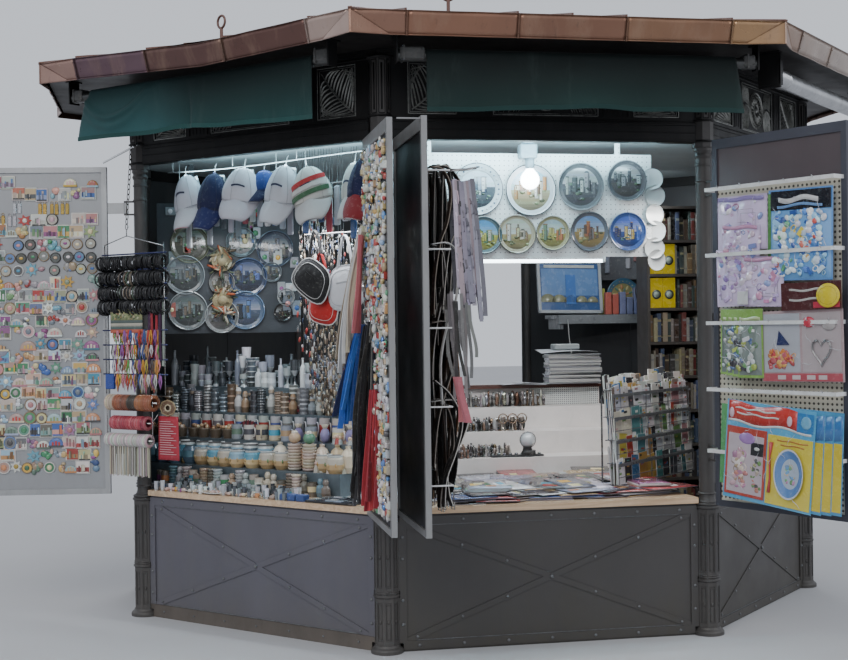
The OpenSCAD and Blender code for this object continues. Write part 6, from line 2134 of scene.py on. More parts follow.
# ------------------------------------------------ shelf on the rear right wall
gW = MB()
gW.mat, gW.col = G_, (.17, .18, .19)
SH = [(1.50, 2.10), (2.25, 2.10), (2.25, 2.118), (1.950, 2.418), (1.50, 2.418)]
gW.add([(x, y, 1.620) for x, y in SH] + [(x, y, 1.645) for x, y in SH], [(4, 3, 2, 1, 0), (5, 6, 7, 8, 9)] + [(i, (i + 1) % 5, 5 + (i + 1) % 5, 5 + i) for i in range(5)], F0, False)
gW.box(1.50, 2.25, 2.095, 2.101, 1.585, 1.645, F0, .002)
for x, y in ((1.53, 2.40), (2.20, 2.16)):
    gW.box(x - .012, x + .012, 2.12, y, 1.55, 1.621, F0, .002)
# framed picture of plain blue fields and arcs
Q = F0 @ T3(1.375, 2.12, 1.660) @ rot(-8, 'X') @ rot(5, 'Z')
gW.mat, gW.col = G_, (.34, .36, .38)
for a, b, c, d in ((0, .46, 0, .022), (0, .46, .338, .36), (0, .022, 0, .36), (.438, .46, 0, .36)):
    gW.box(a, b, 0, .022, c, d, Q, .003)
gW.mat, gW.col = W_, (.045, .10, .24)
gW.box(.02, .44, .008, .018, .02, .34, Q)
gW.col = (.12, .22, .42)
gW.box(.03, .43, .006, .009, .12, .30, Q)
gW.col = (.22, .22, .14)
for i in range(5):
    gW.lathe([(0, 0), (.055 - .004 * i, 0), (.055 - .004 * i, .003), (0, .003)], 14, Q @ T3(.07 + .08 * i, .006, .075) @ rot(90, 'X'), True, 0, math.pi)
gW.col = (.06, .16, .42)
gW.box(.20, .27, .003, .0065, .06, .26, Q)
gW.col = (.40, .42, .42)
gW.box(.05, .41, .003, .0065, .306, .326, Q)
# plates, boxes and toys on the shelf
plate(gW, away(F0 @ T3(0, 2.20, 0), 0, -1), 1.98, 1.775, .115, (.04, .10, .16), (.06, .14, .20), (.24, .22, .10), [(.50, .42, .20), (.10, .20, .16), (.40, .20, .10)], 9)
plate(gW, away(F0 @ T3(0, 2.125, 0), 0, -1), 2.135, 1.80, .10, (.08, .08, .10), (.14, .16, .20), (.20, .10, .08), [(.40, .32, .24), (.10, .12, .20)], 8)
for i in range(16):
    x = 1.84 + .05 * (i % 8)
    if x + .042 + 2.17 + .14 * (i // 8) > 4.35:
        continue
    gW.mat, gW.col = pick(W_, G_), jit(pick((.42, .40, .10), (.40, .10, .07), (.20, .30, .12), (.16, .18, .30), (.46, .44, .40)))
    z0 = 1.6455
    gW.box(x, x + .042, 2.13 + .14 * (i // 8), 2.17 + .14 * (i // 8), z0, z0 + rnd.uniform(.10, .19), F0, .004)
for i in range(22):
    x, z = rnd.uniform(.66, 1.10), rnd.uniform(1.92, 2.30)
    gW.mat, gW.col = pick(W_, G_, X_), jit(pick((.20, .20, .24), (.34, .36, .38), (.26, .08, .08), (.10, .12, .18), (.42, .42, .42)))
    gW.box(x, x + rnd.uniform(.03, .07), .1305, .150, z, z + rnd.uniform(.06, .14), FM(3), .004)
gW.mat, gW.col = G_, (.10, .10, .11)
gW.box(.62, 1.19, .120, .130, 1.88, 2.46, FM(3), .002)
# pale flex down from the shelf to the ledge
gW.mat, gW.col = G_, (.34, .34, .33)
gW.tube([(1.56, 2.08, 1.615), (1.555, 2.04, 1.50), (1.545, 1.95, 1.38), (1.50, 1.80, 1.27), (1.45, 1.58, 1.222)], .0035, 6, F0)
gW.build("rear_shelf_goods", GM, "kiosk")

# ---------------------------------------------------------- books in the bays
gBk = MB()
for b in range(10):
    z0 = .1752 + b * .215
    x = 1.960
    while x < 2.30:
        t = rnd.uniform(.012, .034)
        h = rnd.uniform(.130, .188)
        if x + t > 2.320:
            break
        yel = b in (7, 8) and x < 2.06
        c = (.62, .46, .02) if yel else jit(pick((.035, .032, .03), (.06, .04, .03), (.26, .25, .22), (.07, .09, .15), (.15, .10, .05), (.20, .18, .14), (.04, .055, .05), (.16, .045, .04), (.32, .28, .18)), .2)
        if yel:
            t, h = .085, .190
        gBk.mat, gBk.col = (W_ if yel else pick(G_, P_, W_)), c
        y0 = 1.608 + (0 if yel else rnd.uniform(0, .03))
        gBk.box(x, x + t - .001, y0, 1.76, z0, z0 + h, F0, .002)
        if yel:
            gBk.mat, gBk.col = P_, (.05, .06, .05)
            gBk.lathe([(0, 0), (.030, 0), (.030, .0015), (0, .0015)], 18, F0 @ T3(x + .042, y0, z0 + .085) @ rot(90, 'X'))
            gBk.col = (.30, .36, .30)
            gBk.lathe([(0, .0014), (.020, .0014), (.020, .003), (0, .003)], 16, F0 @ T3(x + .042, y0, z0 + .085) @ rot(90, 'X'))
        else:
            gBk.mat, gBk.col = P_, jit(pick((.28, .25, .14), (.20, .20, .20), c))
            gBk.box(x + .001, x + t - .002, y0 - .0008, y0, z0 + h * .70, z0 + h * .78, F0)
            gBk.box(x + .001, x + t - .002, y0 - .0008, y0, z0 + h * .18, z0 + h * .22, F0)
        x += t
gBk.build("books_in_bays", GM, "kiosk")

# ------------------------------------- inner right leaf: belts and booklets
gE = MB()


def belt(x, y, z0, zb, zc, w, c, gap, edge=None):
    """Belt folded over a rack: both tails down, bowed outwards."""
    ph, bow = rnd.uniform(0, 6), rnd.uniform(.004, .022)
    pts = []
    n = 12
    for i in range(n + 1):
        q = i / n
        pts.append((x + .010 * math.sin(ph + 3 * q), y + gap + bow * math.sin(math.pi * (1 - q) * 1.1 + .3) + .006 * math.sin(ph + 7 * q), lerp(zb, z0 - gap / 2, q)))
    for i in range(1, 7):
        a = math.pi * i / 7
        pts.append((x, y + gap / 2 + gap / 2 * math.cos(a), z0 - gap / 2 + gap * .55 * math.sin(a)))
    for i in range(n + 1):
        q = i / n
        pts.append((x - .010 * math.sin(ph + 3 * q), y - bow * .3 * math.sin(math.pi * q) + .005 * math.sin(ph + 5 * q), lerp(z0 - gap / 2, zc, q)))
    strap(gE, LEAF_C, pts, w, .0042, L_, c, (1, rnd.uniform(.15, .55), 0), edge)
    gE.mat, gE.col = M_, jit((.40, .39, .37))
    p = pts[0]
    gE.tube([(p[0] - .4 * w, p[1], p[2] + .006), (p[0] + .4 * w, p[1] + .01, p[2] + .006), (p[0] + .4 * w, p[1] + .01, p[2] - .030), (p[0] - .4 * w, p[1], p[2] - .030)], .0028, 5, LEAF_C, closed=True)


for z, x0, x1, n, lo, hi, ymax in ((2.292, .08, .56, 24, 1.42, 1.75, .150), (1.946, .10, .50, 15, 1.20, 1.50, .140), (1.600, .10, .56, 20, .88, 1.20, .150), (1.254, .12, .56, 18, .782, .86, .135)):
    for i in range(n):
        q = (i + .5) / n
        k = rnd.random()
        c = jit(pick((.010, .009, .009), (.020, .013, .010), (.014, .013, .013), (.040, .022, .014), (.008, .008, .010)), .2)
        if k > .84:
            c = jit(pick((.55, .54, .52), (.34, .32, .30), (.22, .12, .06)), .1)
        gap = rnd.uniform(.024, .060)
        yy = lerp(.035, ymax, ((i * 7) % n) / n)
        belt(lerp(x0, x1, q), yy, z + rnd.uniform(0, .018), rnd.uniform(lo, hi), rnd.uniform(lo, hi), rnd.uniform(.020, .030), c, gap, (.42, .39, .35) if .42 < k < .84 else None)


def eased(pts, n=4):
    """Round a polyline of (y, z) points off."""
    q = [Vector((0, a / 1000, b / 1000)) for a, b in pts]
    q = [q[0] * 2 - q[1]] + q + [q[-1] * 2 - q[-2]]
    out = []
    for i in range(1, len(q) - 2):
        for j in range(n):
            t = j / n
            out.append(.5 * ((2 * q[i]) + (q[i + 1] - q[i - 1]) * t + (2 * q[i - 1] - 5 * q[i] + 4 * q[i + 1] - q[i + 2]) * t * t +
                             (3 * q[i] - q[i - 1] - 3 * q[i + 1] + q[i + 2]) * t ** 3))
    return out + [q[-2]]


for x, w, c, edge, pts in (
        (.570, .030, (.012, .011, .011), (.50, .47, .42), ((59, 2290), (126, 2296), (183, 2240), (205, 2140), (186, 2045), (142, 1950), (117, 1800), (100, 1660))),
        (.590, .026, (.026, .014, .010), (.30, .25, .20), ((54, 2290), (107, 2278), (146, 2190), (128, 2050), (90, 1950), (66, 1790), (60, 1640))),
        (.535, .024, (.010, .010, .011), None, ((50, 2292), (90, 2300), (166, 2230), (176, 2100), (150, 1960), (128, 1860), (96, 1740))),
        (.600, .016, (.56, .55, .53), None, ((55, 1950), (125, 1955), (169, 1912), (174, 1823), (157, 1692), (113, 1560), (88, 1412), (92, 1244))),
        (.560, .026, (.022, .016, .014), (.52, .49, .45), ((60, 1948), (100, 1930), (118, 1842), (104, 1711), (74, 1581), (56, 1413), (60, 1250))),
        (.575, .028, (.014, .012, .012), (.34, .30, .26), ((52, 1604), (117, 1606), (155, 1540), (146, 1411), (98, 1262), (73, 1151), (54, 964))),
        (.545, .024, (.040, .022, .014), None, ((48, 1600), (88, 1606), (124, 1540), (122, 1400), (80, 1230), (66, 1100), (72, 900))),
        (.600, .026, (.010, .010, .010), (.46, .44, .41), ((57, 1350), (128, 1282), (179, 1167), (152, 1040), (104, 915), (94, 790))),
        (.585, .030, (.011, .010, .011), (.54, .52, .48), ((40, 1256), (113, 1262), (176, 1252), (208, 1180), (172, 1070), (116, 963), (117, 850), (134, 790))),
        (.550, .026, (.018, .014, .012), (.30, .27, .24), ((44, 1258), (96, 1260), (140, 1180), (150, 1060), (120, 960), (92, 860), (84, 780)))):
    q = [Vector((x + .006 * math.sin(i * .5), p.y, p.z)) for i, p in enumerate(eased(pts))]
    strap(gE, LEAF_C, q, w, .0048, L_, c, (1, .30, 0), edge)
    p = q[-1]
    gE.mat, gE.col = M_, (.46, .44, .40)
    gE.tube([(p.x - w * .5, p.y, p.z + .02), (p.x + w * .5, p.y + .008, p.z + .02), (p.x + w * .5, p.y + .008, p.z - .012), (p.x - w * .5, p.y, p.z - .012)], .003, 5, LEAF_C, closed=True)
# a length of small steel rod at each level carries them
for z in (2.272, 1.926, 1.580, 1.234):
    for x in (.14, .30, .46):
        gE.mat, gE.col = M_, (.55, .55, .55)
        gE.tube([(x, .012, z + .006), (x, .10, z + .004), (x, .188, z + .006), (x, .196, z + .020)], .0028, 6, LEAF_C)
gE.mat, gE.col = M_, (.5, .5, .5)
for x in (.60, .66):
    gE.tube([(x, .130, 2.272), (x, .20, 2.275), (x, .262, 2.285)], .0035, 6, LEAF_C)
for i in range(18):
    t = i / 17
    c = jit(pick((.26, .245, .31), (.36, .34, .40), (.15, .14, .18), (.46, .44, .48), (.07, .065, .08), (.34, .26, .29), (.30, .28, .36)), .15)
    x, y, z1 = .58 + .05 * (i % 2) + .03 * t, .150 + .078 * t, rnd.uniform(1.60, 1.76)
    z0, dr = 2.235 - .012 * math.sin(3 * t), .012 + .040 * t
    hang_strap(gE, LEAF_C, x, y, z0, z1, rnd.uniform(.016, .026), c, .007, P_, .003, None, 12, (.25, 1, 0), dr)
    for q in range(5):
        zz = lerp(z1 + .02, z0 - .06, (q + rnd.random() * .6) / 5)
        gE.mat, gE.col = P_, jit(mul(c, pick(.55, .7, 1.35)), .06)
        yy = y + dr * ((z0 - zz) / (z0 - z1)) ** .9
        w, hh, xx = rnd.uniform(.005, .010), rnd.uniform(.02, .06), x + .0035
        gE.grid(lambda u, v: (xx + .0012, yy - w / 2 + w * u + .003 * math.sin(5 * v), zz + hh * v), 3, 4, LEAF_C, True, .0008)
for i in range(10):
    x = .60 + i * .010
    hang_strap(gE, LEAF_C, x, .118 + .009 * i, rnd.uniform(1.64, 1.74), rnd.uniform(1.22, 1.50), .014, jit(pick((.03, .03, .035), (.09, .085, .09), (.16, .15, .15), (.05, .045, .045), (.22, .21, .21))), .022, T_, .005, None, 12, (.35, 1, 0), .02)
for i in range(3):
    hang_strap(gE, LEAF_C, .645 + i * .012, .145 + .006 * i, 1.365, 1.165, .024, jit((.46, .15, .18)), .014, T_, .006, None, 8, (.3, 1, 0), .03)
# flat slip packs along the inner side, behind the belts
QC = away(LEAF_C, .005)
for r in range(9):
    for cc in range(6):
        x, z = .07 + cc * .105, .80 + r * .185
        gE.mat, gE.col = W_, jit(pick((.14, .14, .16), (.34, .34, .38), (.40, .28, .20), (.22, .08, .08), (.44, .42, .40)))
        gE.box(x, x + .085, 0, .010, z, z + .15, QC, .003)
        gE.mat, gE.col = P_, jit(pick())
        gE.box(x + .012, x + .070, .0095, .012, z + .09, z + .14, QC)
gE.build("belts_and_booklets", GM, "inner_right_leaf")

# ------------------------------------------- outer right leaf: wrapped packs
gZ = MB()


def pack(x0, x1, z0, z1, y, card, film, parts, tilt=0., th=.018):
    """Card-backed packet in clear film: parts are coloured pieces in it."""
    cx, cz = (x0 + x1) / 2, (z0 + z1) / 2
    Q = LEAF_D @ T3(cx, y, cz) @ rot(tilt, 'Y')
    w, h = x1 - x0, z1 - z0
    gZ.mat, gZ.col = W_, card
    gZ.box(-w / 2, w / 2, -.0012, .0012, -h / 2, h / 2, Q, .001)

    def puff(u, v):
        s = (1 - (2 * u - 1) ** 6) * (1 - (2 * v - 1) ** 6)
        return (lerp(-w * .48, w * .48, 1 - u), .0014 + th * s * (.55 + .16 * math.sin(9 * u + 3 * v) + .12 * math.sin(13 * v + 5 * u)), lerp(-h * .47, h * .45, v))
    gZ.mat, gZ.col = W_, film
    gZ.grid(puff, 16, 20, Q, True)
    for a, b, c, d, col, kind in parts:
        X0, X1, Z0, Z1 = -w / 2 + w * a, -w / 2 + w * b, -h / 2 + h * c, -h / 2 + h * d
        gZ.mat, gZ.col = W_, col
        if kind == 'd':
            r = min(X1 - X0, Z1 - Z0) / 2
            gZ.ball(((X0 + X1) / 2, th * .62, (Z0 + Z1) / 2), r, Q, 14, 8, ((X1 - X0) / 2 / r, .012 / r, (Z1 - Z0) / 2 / r))
        elif kind == 'r':
            r = min(X1 - X0, Z1 - Z0) / 2
            gZ.tube([((X0 + X1) / 2 + r * math.cos(t * math.pi / 10), th * .85, (Z0 + Z1) / 2 + r * math.sin(t * math.pi / 10)) for t in range(20)], .006, 6, Q, closed=True)
        else:
            gZ.box(X0, X1, th * .35, th * .86, Z0, Z1, Q, .003)
    gZ.mat, gZ.col = W_, mul(card, .75)
    gZ.tube([(-.012, 0, h / 2 - .012), (.012, 0, h / 2 - .012)], .004, 6, Q)


def bits(n, cols, a0=.06, a1=.94, c0=.06, c1=.8, s=.16):
    out = []
    for _ in range(n):
        a, c = rnd.uniform(a0, a1 - s), rnd.uniform(c0, c1 - s * .7)
        out.append((a, a + s * rnd.uniform(.6, 1.2), c, c + s * .8 * rnd.uniform(.6, 1.2), jit(pick(*cols), .2), pick('d', 'd', 'b')))
    return out


FILM = len(GM)


def card(x0, x1, z0, z1, y, col, tilt=0., t=.0024, m=None):
    """Card in the leaf's plane; gives its frame, the origin at its middle."""
    Q = LEAF_D @ T3((x0 + x1) / 2, y, (z0 + z1) / 2) @ rot(tilt, 'Y')
    w, h = x1 - x0, z1 - z0
    gZ.mat, gZ.col = W_ if m is None else m, col
    gZ.box(-w / 2, w / 2, -t / 2, t / 2, -h / 2, h / 2, Q, .0008)
    return Q, w, h


def dots(Q, x0, x1, z0, z1, y, n, cols, s0, s1, m=None, flat=.35):
    for i in range(n):
        gZ.mat, gZ.col = FILM if m is None else m, jit(pick(*cols), .2)
        r = rnd.uniform(s0, s1)
        k = rnd.random()
        c = (rnd.uniform(x0 + r, x1 - r), y, rnd.uniform(z0 + r, z1 - r))
        R = Q @ T3(*c) @ rot(rnd.uniform(-70, 70), 'Y')
        if k < .68:
            gZ.ball((0, 0, 0), r, R, 8, 4, (1, flat, rnd.uniform(.45, 1.)))
        elif k < .86:
            gZ.box(-r, r, -r * flat * .5, r * flat * .7, -r * .5, r * .5, R, .001)
        else:
            gZ.tube([(r * .8 * math.cos(t * 1.05), 0, r * .6 * math.sin(t * 1.05)) for t in range(6)], r * .16, 4, R, closed=True)


def wave(Q, x0, x1, z, h, y, col, amp=.006, k=30., ph=0., m=None):
    gZ.mat, gZ.col = W_ if m is None else m, col
    gZ.grid(lambda u, v: (lerp(x0, x1, 1 - u), y, z + amp * math.sin(k * lerp(x0, x1, 1 - u) + ph) + h * v), 24, 2, Q, True, .0012)


def crinkle(Q, w, h, y, th, n=5):
    """Pale crease ridges arched over a packet's clear front; their pale grey is a painted glint."""
    for i in range(n):
        x, z = rnd.uniform(-w * .42, w * .42), rnd.uniform(-h * .42, h * .42)
        a, ln = rnd.uniform(0, 3.14), rnd.uniform(.03, .09)
        q = [(x + ln * (t - .5) * math.cos(a), y + th * (1 - (2 * t - 1) ** 2), z + ln * (t - .5) * math.sin(a) + .006 * math.sin(6 * t)) for t in [j / 5 for j in range(6)]]
        q = [(min(w * .48, max(-w * .48, u)), v, min(h * .48, max(-h * .48, s))) for u, v, s in q]
        # painted highlight: the ridges are pale grey as painted glints on the film
        gZ.mat, gZ.col = FILM, (.62, .62, .66)
        gZ.tube(q, [.0004, .0010, .0015, .0015, .0010, .0004], 4, Q)


LAV = [(.46, .28, .54), (.66, .50, .66), (.30, .18, .46), (.80, .76, .82), (.56, .26, .40), (.22, .28, .54), (.78, .62, .74), (.56, .42, .68)]
for x0, x1, z0, z1, y, tl in ((.063, .368, 1.935, 2.200, .046, 0.), (.058, .300, 1.664, 1.945, .052, -1.), (.235, .470, 1.660, 1.900, .060, 1.), (.100, .330, 1.820, 2.060, .058, 2.)):
    Q, w, h = card(x0, x1, z0, z1, y, (.68, .57, .76), tl)
    gZ.mat, gZ.col = FILM, (.68, .56, .78)
    gZ.grid(lambda u, v: (lerp(-w * .48, w * .48, 1 - u), .0016 + .012 * (1 - (2 * u - 1) ** 4) * (1 - (2 * v - 1) ** 4) + .0015 * math.sin(17 * u + 9 * v), lerp(-h * .48, h * .48, v)), 18, 18, Q, True)
    dots(Q, -w * .46, w * .46, -h * .46, h * .40, .0135, 34, LAV, .008, .024)
    wave(Q, -w * .46, w * .46, h * .40, h * .07, .0142, pick((.34, .18, .44), (.58, .30, .46), (.30, .24, .50)), .003, 40)
    for q in range(3):
        gZ.mat, gZ.col = FILM, jit((.62, .56, .66))
        a, b = rnd.uniform(-w * .4, w * .1), rnd.uniform(-h * .42, h * .2)
        gZ.tube([(a, .0145, b), (a + w * .3, .0145, b), (a + w * .3, .0145, b + h * .24), (a, .0145, b + h * .24)], .0018, 4, Q, closed=True)
    crinkle(Q, w, h, .014, .005, 9)
gZ.mat, gZ.col = W_, (.60, .60, .60)
gZ.box(.205, .270, .0750, .0770, 1.672, 1.735, LEAF_D, .001)
# blue packet crowded with small figures, dark head band
Q, w, h = card(.382, .745, 1.778, 2.204, .058, (.15, .33, .68), 1.)
gZ.mat, gZ.col = W_, (.10, .26, .08)
gZ.box(-w * .5, -w * .455, .001, .004, -h * .5, h * .46, Q)
gZ.mat, gZ.col = FILM, (.17, .39, .72)
gZ.grid(lambda u, v: (lerp(-w * .45, w * .48, 1 - u), .0016 + .012 * (1 - (2 * u - 1) ** 4) * (1 - (2 * v - 1) ** 4), lerp(-h * .48, h * .30, v)), 18, 18, Q, True)
gZ.mat, gZ.col = W_, (.012, .014, .022)
gZ.box(-w * .45, w * .48, .001, .010, h * .27, h * .48, Q, .002)
wave(Q, -w * .32, w * .30, h * .355, h * .055, .0112, (.62, .62, .62), .008, 34, .6)
wave(Q, -w * .34, w * .36, h * .300, h * .030, .0112, (.16, .30, .56), .006, 26, 1.2)
dots(Q, -w * .44, w * .47, -h * .47, h * .29, .0135, 150, [(.10, .26, .66), (.30, .58, .82), (.78, .84, .88), (.88, .89, .90), (.44, .68, .84), (.05, .13, .44), (.84, .88, .90), (.60, .74, .84)], .008, .026)
dots(Q, -w * .40, w * .42, -h * .40, h * .20, .0165, 18, [(.66, .10, .08), (.78, .60, .10), (.72, .42, .14), (.16, .42, .22), (.70, .16, .12)], .009, .022)
crinkle(Q, w, h, .016, .006, 12)
# dark red strip and a round yellow tag
Q, w, h = card(.474, .808, 1.640, 1.768, .086, (.085, .028, .030), -1.)
wave(Q, -w * .36, w * .20, h * .18, .010, .0026, (.50, .48, .46), .004, 40)
wave(Q, -w * .36, w * .14, -h * .16, .010, .0026, (.50, .48, .46), .004, 36, 1.)
gZ.mat, gZ.col = W_, (.50, .05, .08)
gZ.box(w * .04, w * .47, .0015, .0035, -h * .44, -h * .22, Q, .001)
gZ.mat, gZ.col = W_, (.70, .56, .03)
gZ.lathe([(0, 0), (.062, 0), (.064, .004), (.060, .006), (0, .0065)], 28, LEAF_D @ T3(.744, .096, 1.704) @ rot(-90, 'X') @ Matrix.Diagonal((1, .86, 1, 1)))
gZ.mat, gZ.col = W_, (.20, .10, .02)
gZ.tube([(.744 + .050 * math.cos(t * .35), .1015, 1.704 + .041 * math.sin(t * .35)) for t in range(18)], .0012, 4, LEAF_D, closed=True)
# green bags of small toys
for i in range(4):
    Q, w, h = card(.083 + .040 * i, .232 + .042 * i, 1.332 - .004 * i, 1.650, .058 + i * .006, (.24, .42, .10), 1. - .6 * i)
    gZ.mat, gZ.col = FILM, (.20, .24, .22)
    gZ.grid(lambda u, v: (lerp(-w * .44, w * .44, 1 - u), .0016 + .014 * (1 - (2 * u - 1) ** 4) * (1 - (2 * v - 1) ** 4), lerp(-h * .46, h * .30, v)), 12, 14, Q, True)
    dots(Q, -w * .40, w * .40, -h * .44, h * .28, .015, 20, [(.56, .58, .58), (.66, .68, .68), (.05, .05, .06), (.40, .44, .42), (.12, .28, .10), (.40, .48, .10), (.10, .16, .34)], .010, .024)
    wave(Q, -w * .40, w * .40, h * .33, h * .05, .003, (.50, .58, .30), .003, 60)
    crinkle(Q, w, h * .8, .018, .005, 6)
# wide card: a pile of shapes on the left, a wire cutter on the right
Q, w, h = card(.346, .806, 1.308, 1.640, .070, (.44, .33, .34), -1.2)
gZ.mat, gZ.col = P_, (.40, .41, .45)
gZ.box(-w * .47, -w * .02, .001, .003, -h * .36, h * .46, Q, .001)
gZ.mat, gZ.col = P_, (.42, .36, .37)
gZ.box(w * .01, w * .47, .001, .003, -h * .36, h * .46, Q, .001)
gZ.mat, gZ.col = W_, (.44, .10, .12)
gZ.box(-w * .49, w * .48, .001, .004, -h * .49, -h * .38, Q, .001)
for q in (-.30, -.12, .06, .2):
    gZ.mat, gZ.col = W_, (.58, .50, .50)
    gZ.box(w * q, w * (q + .10), .0038, .0050, -h * .465, -h * .405, Q, .001)
dots(Q, -w * .44, -w * .06, -h * .34, -h * .02, .005, 44, [(.46, .05, .05), (.60, .20, .05), (.56, .12, .14), (.66, .36, .10), (.36, .03, .05)], .012, .026, None, .4)
gZ.mat, gZ.col = W_, (.03, .04, .12)
gZ.add([(-w * .30, .006, h * .02), (-w * .14, .006, h * .02), (-w * .27, .006, h * .22), (-w * .30, .008, h * .02), (-w * .14, .008, h * .02), (-w * .27, .008, h * .22)],
       [(0, 2, 1), (3, 4, 5), (0, 1, 4, 3), (1, 2, 5, 4), (2, 0, 3, 5)], Q, False)
gZ.mat, gZ.col = FILM, (.54, .04, .07)
gZ.ball((w * .10, .008, h * .33), .034, Q, 16, 8, (1, .35, .75))
gZ.mat, gZ.col = FILM, (.38, .35, .34)
gZ.ball((w * .34, .006, h * .28), .040, Q, 14, 8, (1, .30, .6))
gZ.mat, gZ.col = M_, (.42, .41, .41)
for q, rr in ((0, .0030), (.006, .0022)):
    gZ.tube([(w * .25 + (.0033 - q * .06) * 16 * math.sin(t * .2618) ** 3, .010, -h * .07 + (.0042 - q * .07) * (13 * math.cos(t * .2618) - 5 * math.cos(t * .5236) - 2 * math.cos(t * .7854) - math.cos(t * 1.0472))) for t in range(24)], rr, 6, Q, closed=True)
crinkle(Q, w, h, .010, .005, 10)
# large packet in front, three more of the kind behind it
for i in (3, 2, 1):
    Q, w, h = card(.137 + .050 * i, .655 + .050 * i, .722, 1.196 - .003 * i, .0935 - .0022 * i, (.08, .30, .52), 5. - i * .8)
    gZ.mat, gZ.col = W_, (.66, .52, .05)
    gZ.box(w * .02, w * .49, .001, .0026, -h * .47, h * .20, Q, .001)
    wave(Q, 0, w * .49, h * .22, h * .24, .0016, (.05, .18, .44), .006, 28)
    gZ.mat, gZ.col = C_, (.46, .50, .60)
    gZ.lathe([(0, .0), (.5, .0), (.9, .6), (1., 1.), (.92, .9), (.6, .35), (0, .3)], 24, Q @ T3(w * .25, .0005, -h * .14) @ rot(-90, 'X') @ Matrix.Diagonal((.062, .095, .0035, 1)))
Q, w, h = card(.085, .190, .80, 1.19, .070, (.10, .34, .12), 3.)
Q, w, h = card(.137, .656, .722, 1.197, .0975, (.12, .40, .64), 5.)
wave(Q, -w * .48, w * .30, h * .29, h * .19, .0022, (.56, .055, .045), .008, 22)
wave(Q, -w * .48, w * .46, h * .270, h * .022, .0030, (.66, .66, .66), .008, 22)
wave(Q, -w * .40, w * .06, h * .415, h * .016, .0042, (.64, .62, .58), .003, 60)
wave(Q, -w * .38, w * .10, h * .365, h * .016, .0042, (.64, .62, .58), .003, 52)
gZ.mat, gZ.col = FILM, (.62, .44, .50)
for q in (-.44, .22):
    gZ.ball((w * q, .004, h * .37), .016, Q, 8, 5, (1, .35, 1.6))
gZ.mat, gZ.col = W_, (.05, .22, .50)
gZ.box(w * .30, w * .48, .0015, .0030, h * .28, h * .47, Q, .001)
gZ.mat, gZ.col = FILM, (.16, .42, .62)
gZ.ball((w * .40, .004, h * .38), .030, Q, 14, 6, (1, .14, 1))
gZ.mat, gZ.col = W_, (.46, .07, .05)
gZ.box(-w * .48, w * -.02, .0015, .0060, -h * .46, h * .235, Q, .001)
gZ.mat, gZ.col = P_, (.50, .42, .46)
gZ.box(-w * .455, -w * .045, .0055, .0070, -h * .43, h * .165, Q, .001)
gZ.mat, gZ.col = FILM, (.36, .20, .48)
gZ.ball((-w * .24, .0075, h * .13), .050, Q, 16, 6, (1, .10, .55))
gZ.mat, gZ.col = P_, (.02, .02, .025)
gZ.box(-w * .19, -w * .045, .0065, .0080, -h * .03, h * .10, Q, .001)
gZ.mat, gZ.col = FILM, (.60, .60, .58)
gZ.ball((-w * .12, .0085, h * .04), .018, Q, 8, 4, (1, .2, .5))
dots(Q, -w * .44, -w * .20, -h * .41, h * .06, .0080, 40, [(.58, .36, .40), (.60, .50, .42), (.46, .22, .34), (.62, .56, .54), (.40, .30, .20), (.56, .24, .20)], .010, .024, None, .25)
dots(Q, -w * .19, -w * .05, -h * .41, -h * .05, .0080, 24, [(.16, .30, .10), (.56, .50, .40), (.40, .44, .20), (.10, .10, .10), (.50, .20, .16)], .006, .015, None, .25)
gZ.mat, gZ.col = W_, (.70, .58, .08)
gZ.box(-w * .005, w * .485, .0015, .0060, -h * .475, h * .215, Q, .001)
gZ.mat, gZ.col = C_, (.60, .62, .66)
B = Q @ T3(w * .27, .0055, -h * .14) @ rot(-90, 'X')
gZ.lathe([(0, 0), (.5, 0), (.86, .75), (1., 1.)], 30, B @ Matrix.Diagonal((.084, .118, .020, 1)))
gZ.lathe([(1., 1.), (.93, .96)], 30, B @ Matrix.Diagonal((.084, .118, .020, 1)))
gZ.col = (.12, .24, .50)
gZ.lathe([(.93, .96), (.74, .50), (.60, .30)], 30, B @ Matrix.Diagonal((.084, .118, .020, 1)))
gZ.col = (.42, .50, .60)
gZ.lathe([(.60, .30), (.40, .22), (0, .20)], 30, B @ Matrix.Diagonal((.084, .118, .020, 1)))
R = Q @ T3(w * .27, .0105, -h * .14)
dots(R, -.034, .034, -.055, .050, 0., 14, [(.50, .24, .40), (.20, .42, .20), (.16, .34, .56), (.60, .50, .30)], .007, .014, C_, .2)
gZ.mat, gZ.col = W_, (.52, .06, .06)
gZ.tube([(w * .045, .012, h * .14), (w * .035, .012, h * .0), (w * .05, .012, -h * .22), (w * .04, .010, -h * .36)], [.011, .005, .005, .009], 7, Q)
wave(Q, w * .10, w * .44, h * .165, .006, .0072, (.50, .20, .05), .002, 60)
wave(Q, w * .14, w * .40, h * .125, .006, .0072, (.50, .20, .05), .002, 50)
crinkle(Q, w, h, .016, .010, 16)
# hooks on the rails
for z, xs in ((.955, (.20, .42, .62)), (1.258, (.16, .30, .47, .70)), (1.584, (.12, .24, .40, .62, .74)), (1.917, (.10, .30, .52, .70)), (2.240, (.10, .24, .36, .50, .66))):
    for x in xs:
        gZ.mat, gZ.col = M_, (.55, .55, .55)
        gZ.tube([(x, .006, z + .004), (x, .085, z + .004), (x, .098, z + .014)], .0026, 6, LEAF_D)
gZ.build("wrapped_packs", GM + [FILMM], "outer_right_leaf")
# ------------------------ bracelet hanger by the left column, off the head
gH = MB()
HY = -.150


def HP(x, z, y=0.):
    return (x, HY + y, z)


gH.mat, gH.col = M_, (.16, .15, .14)
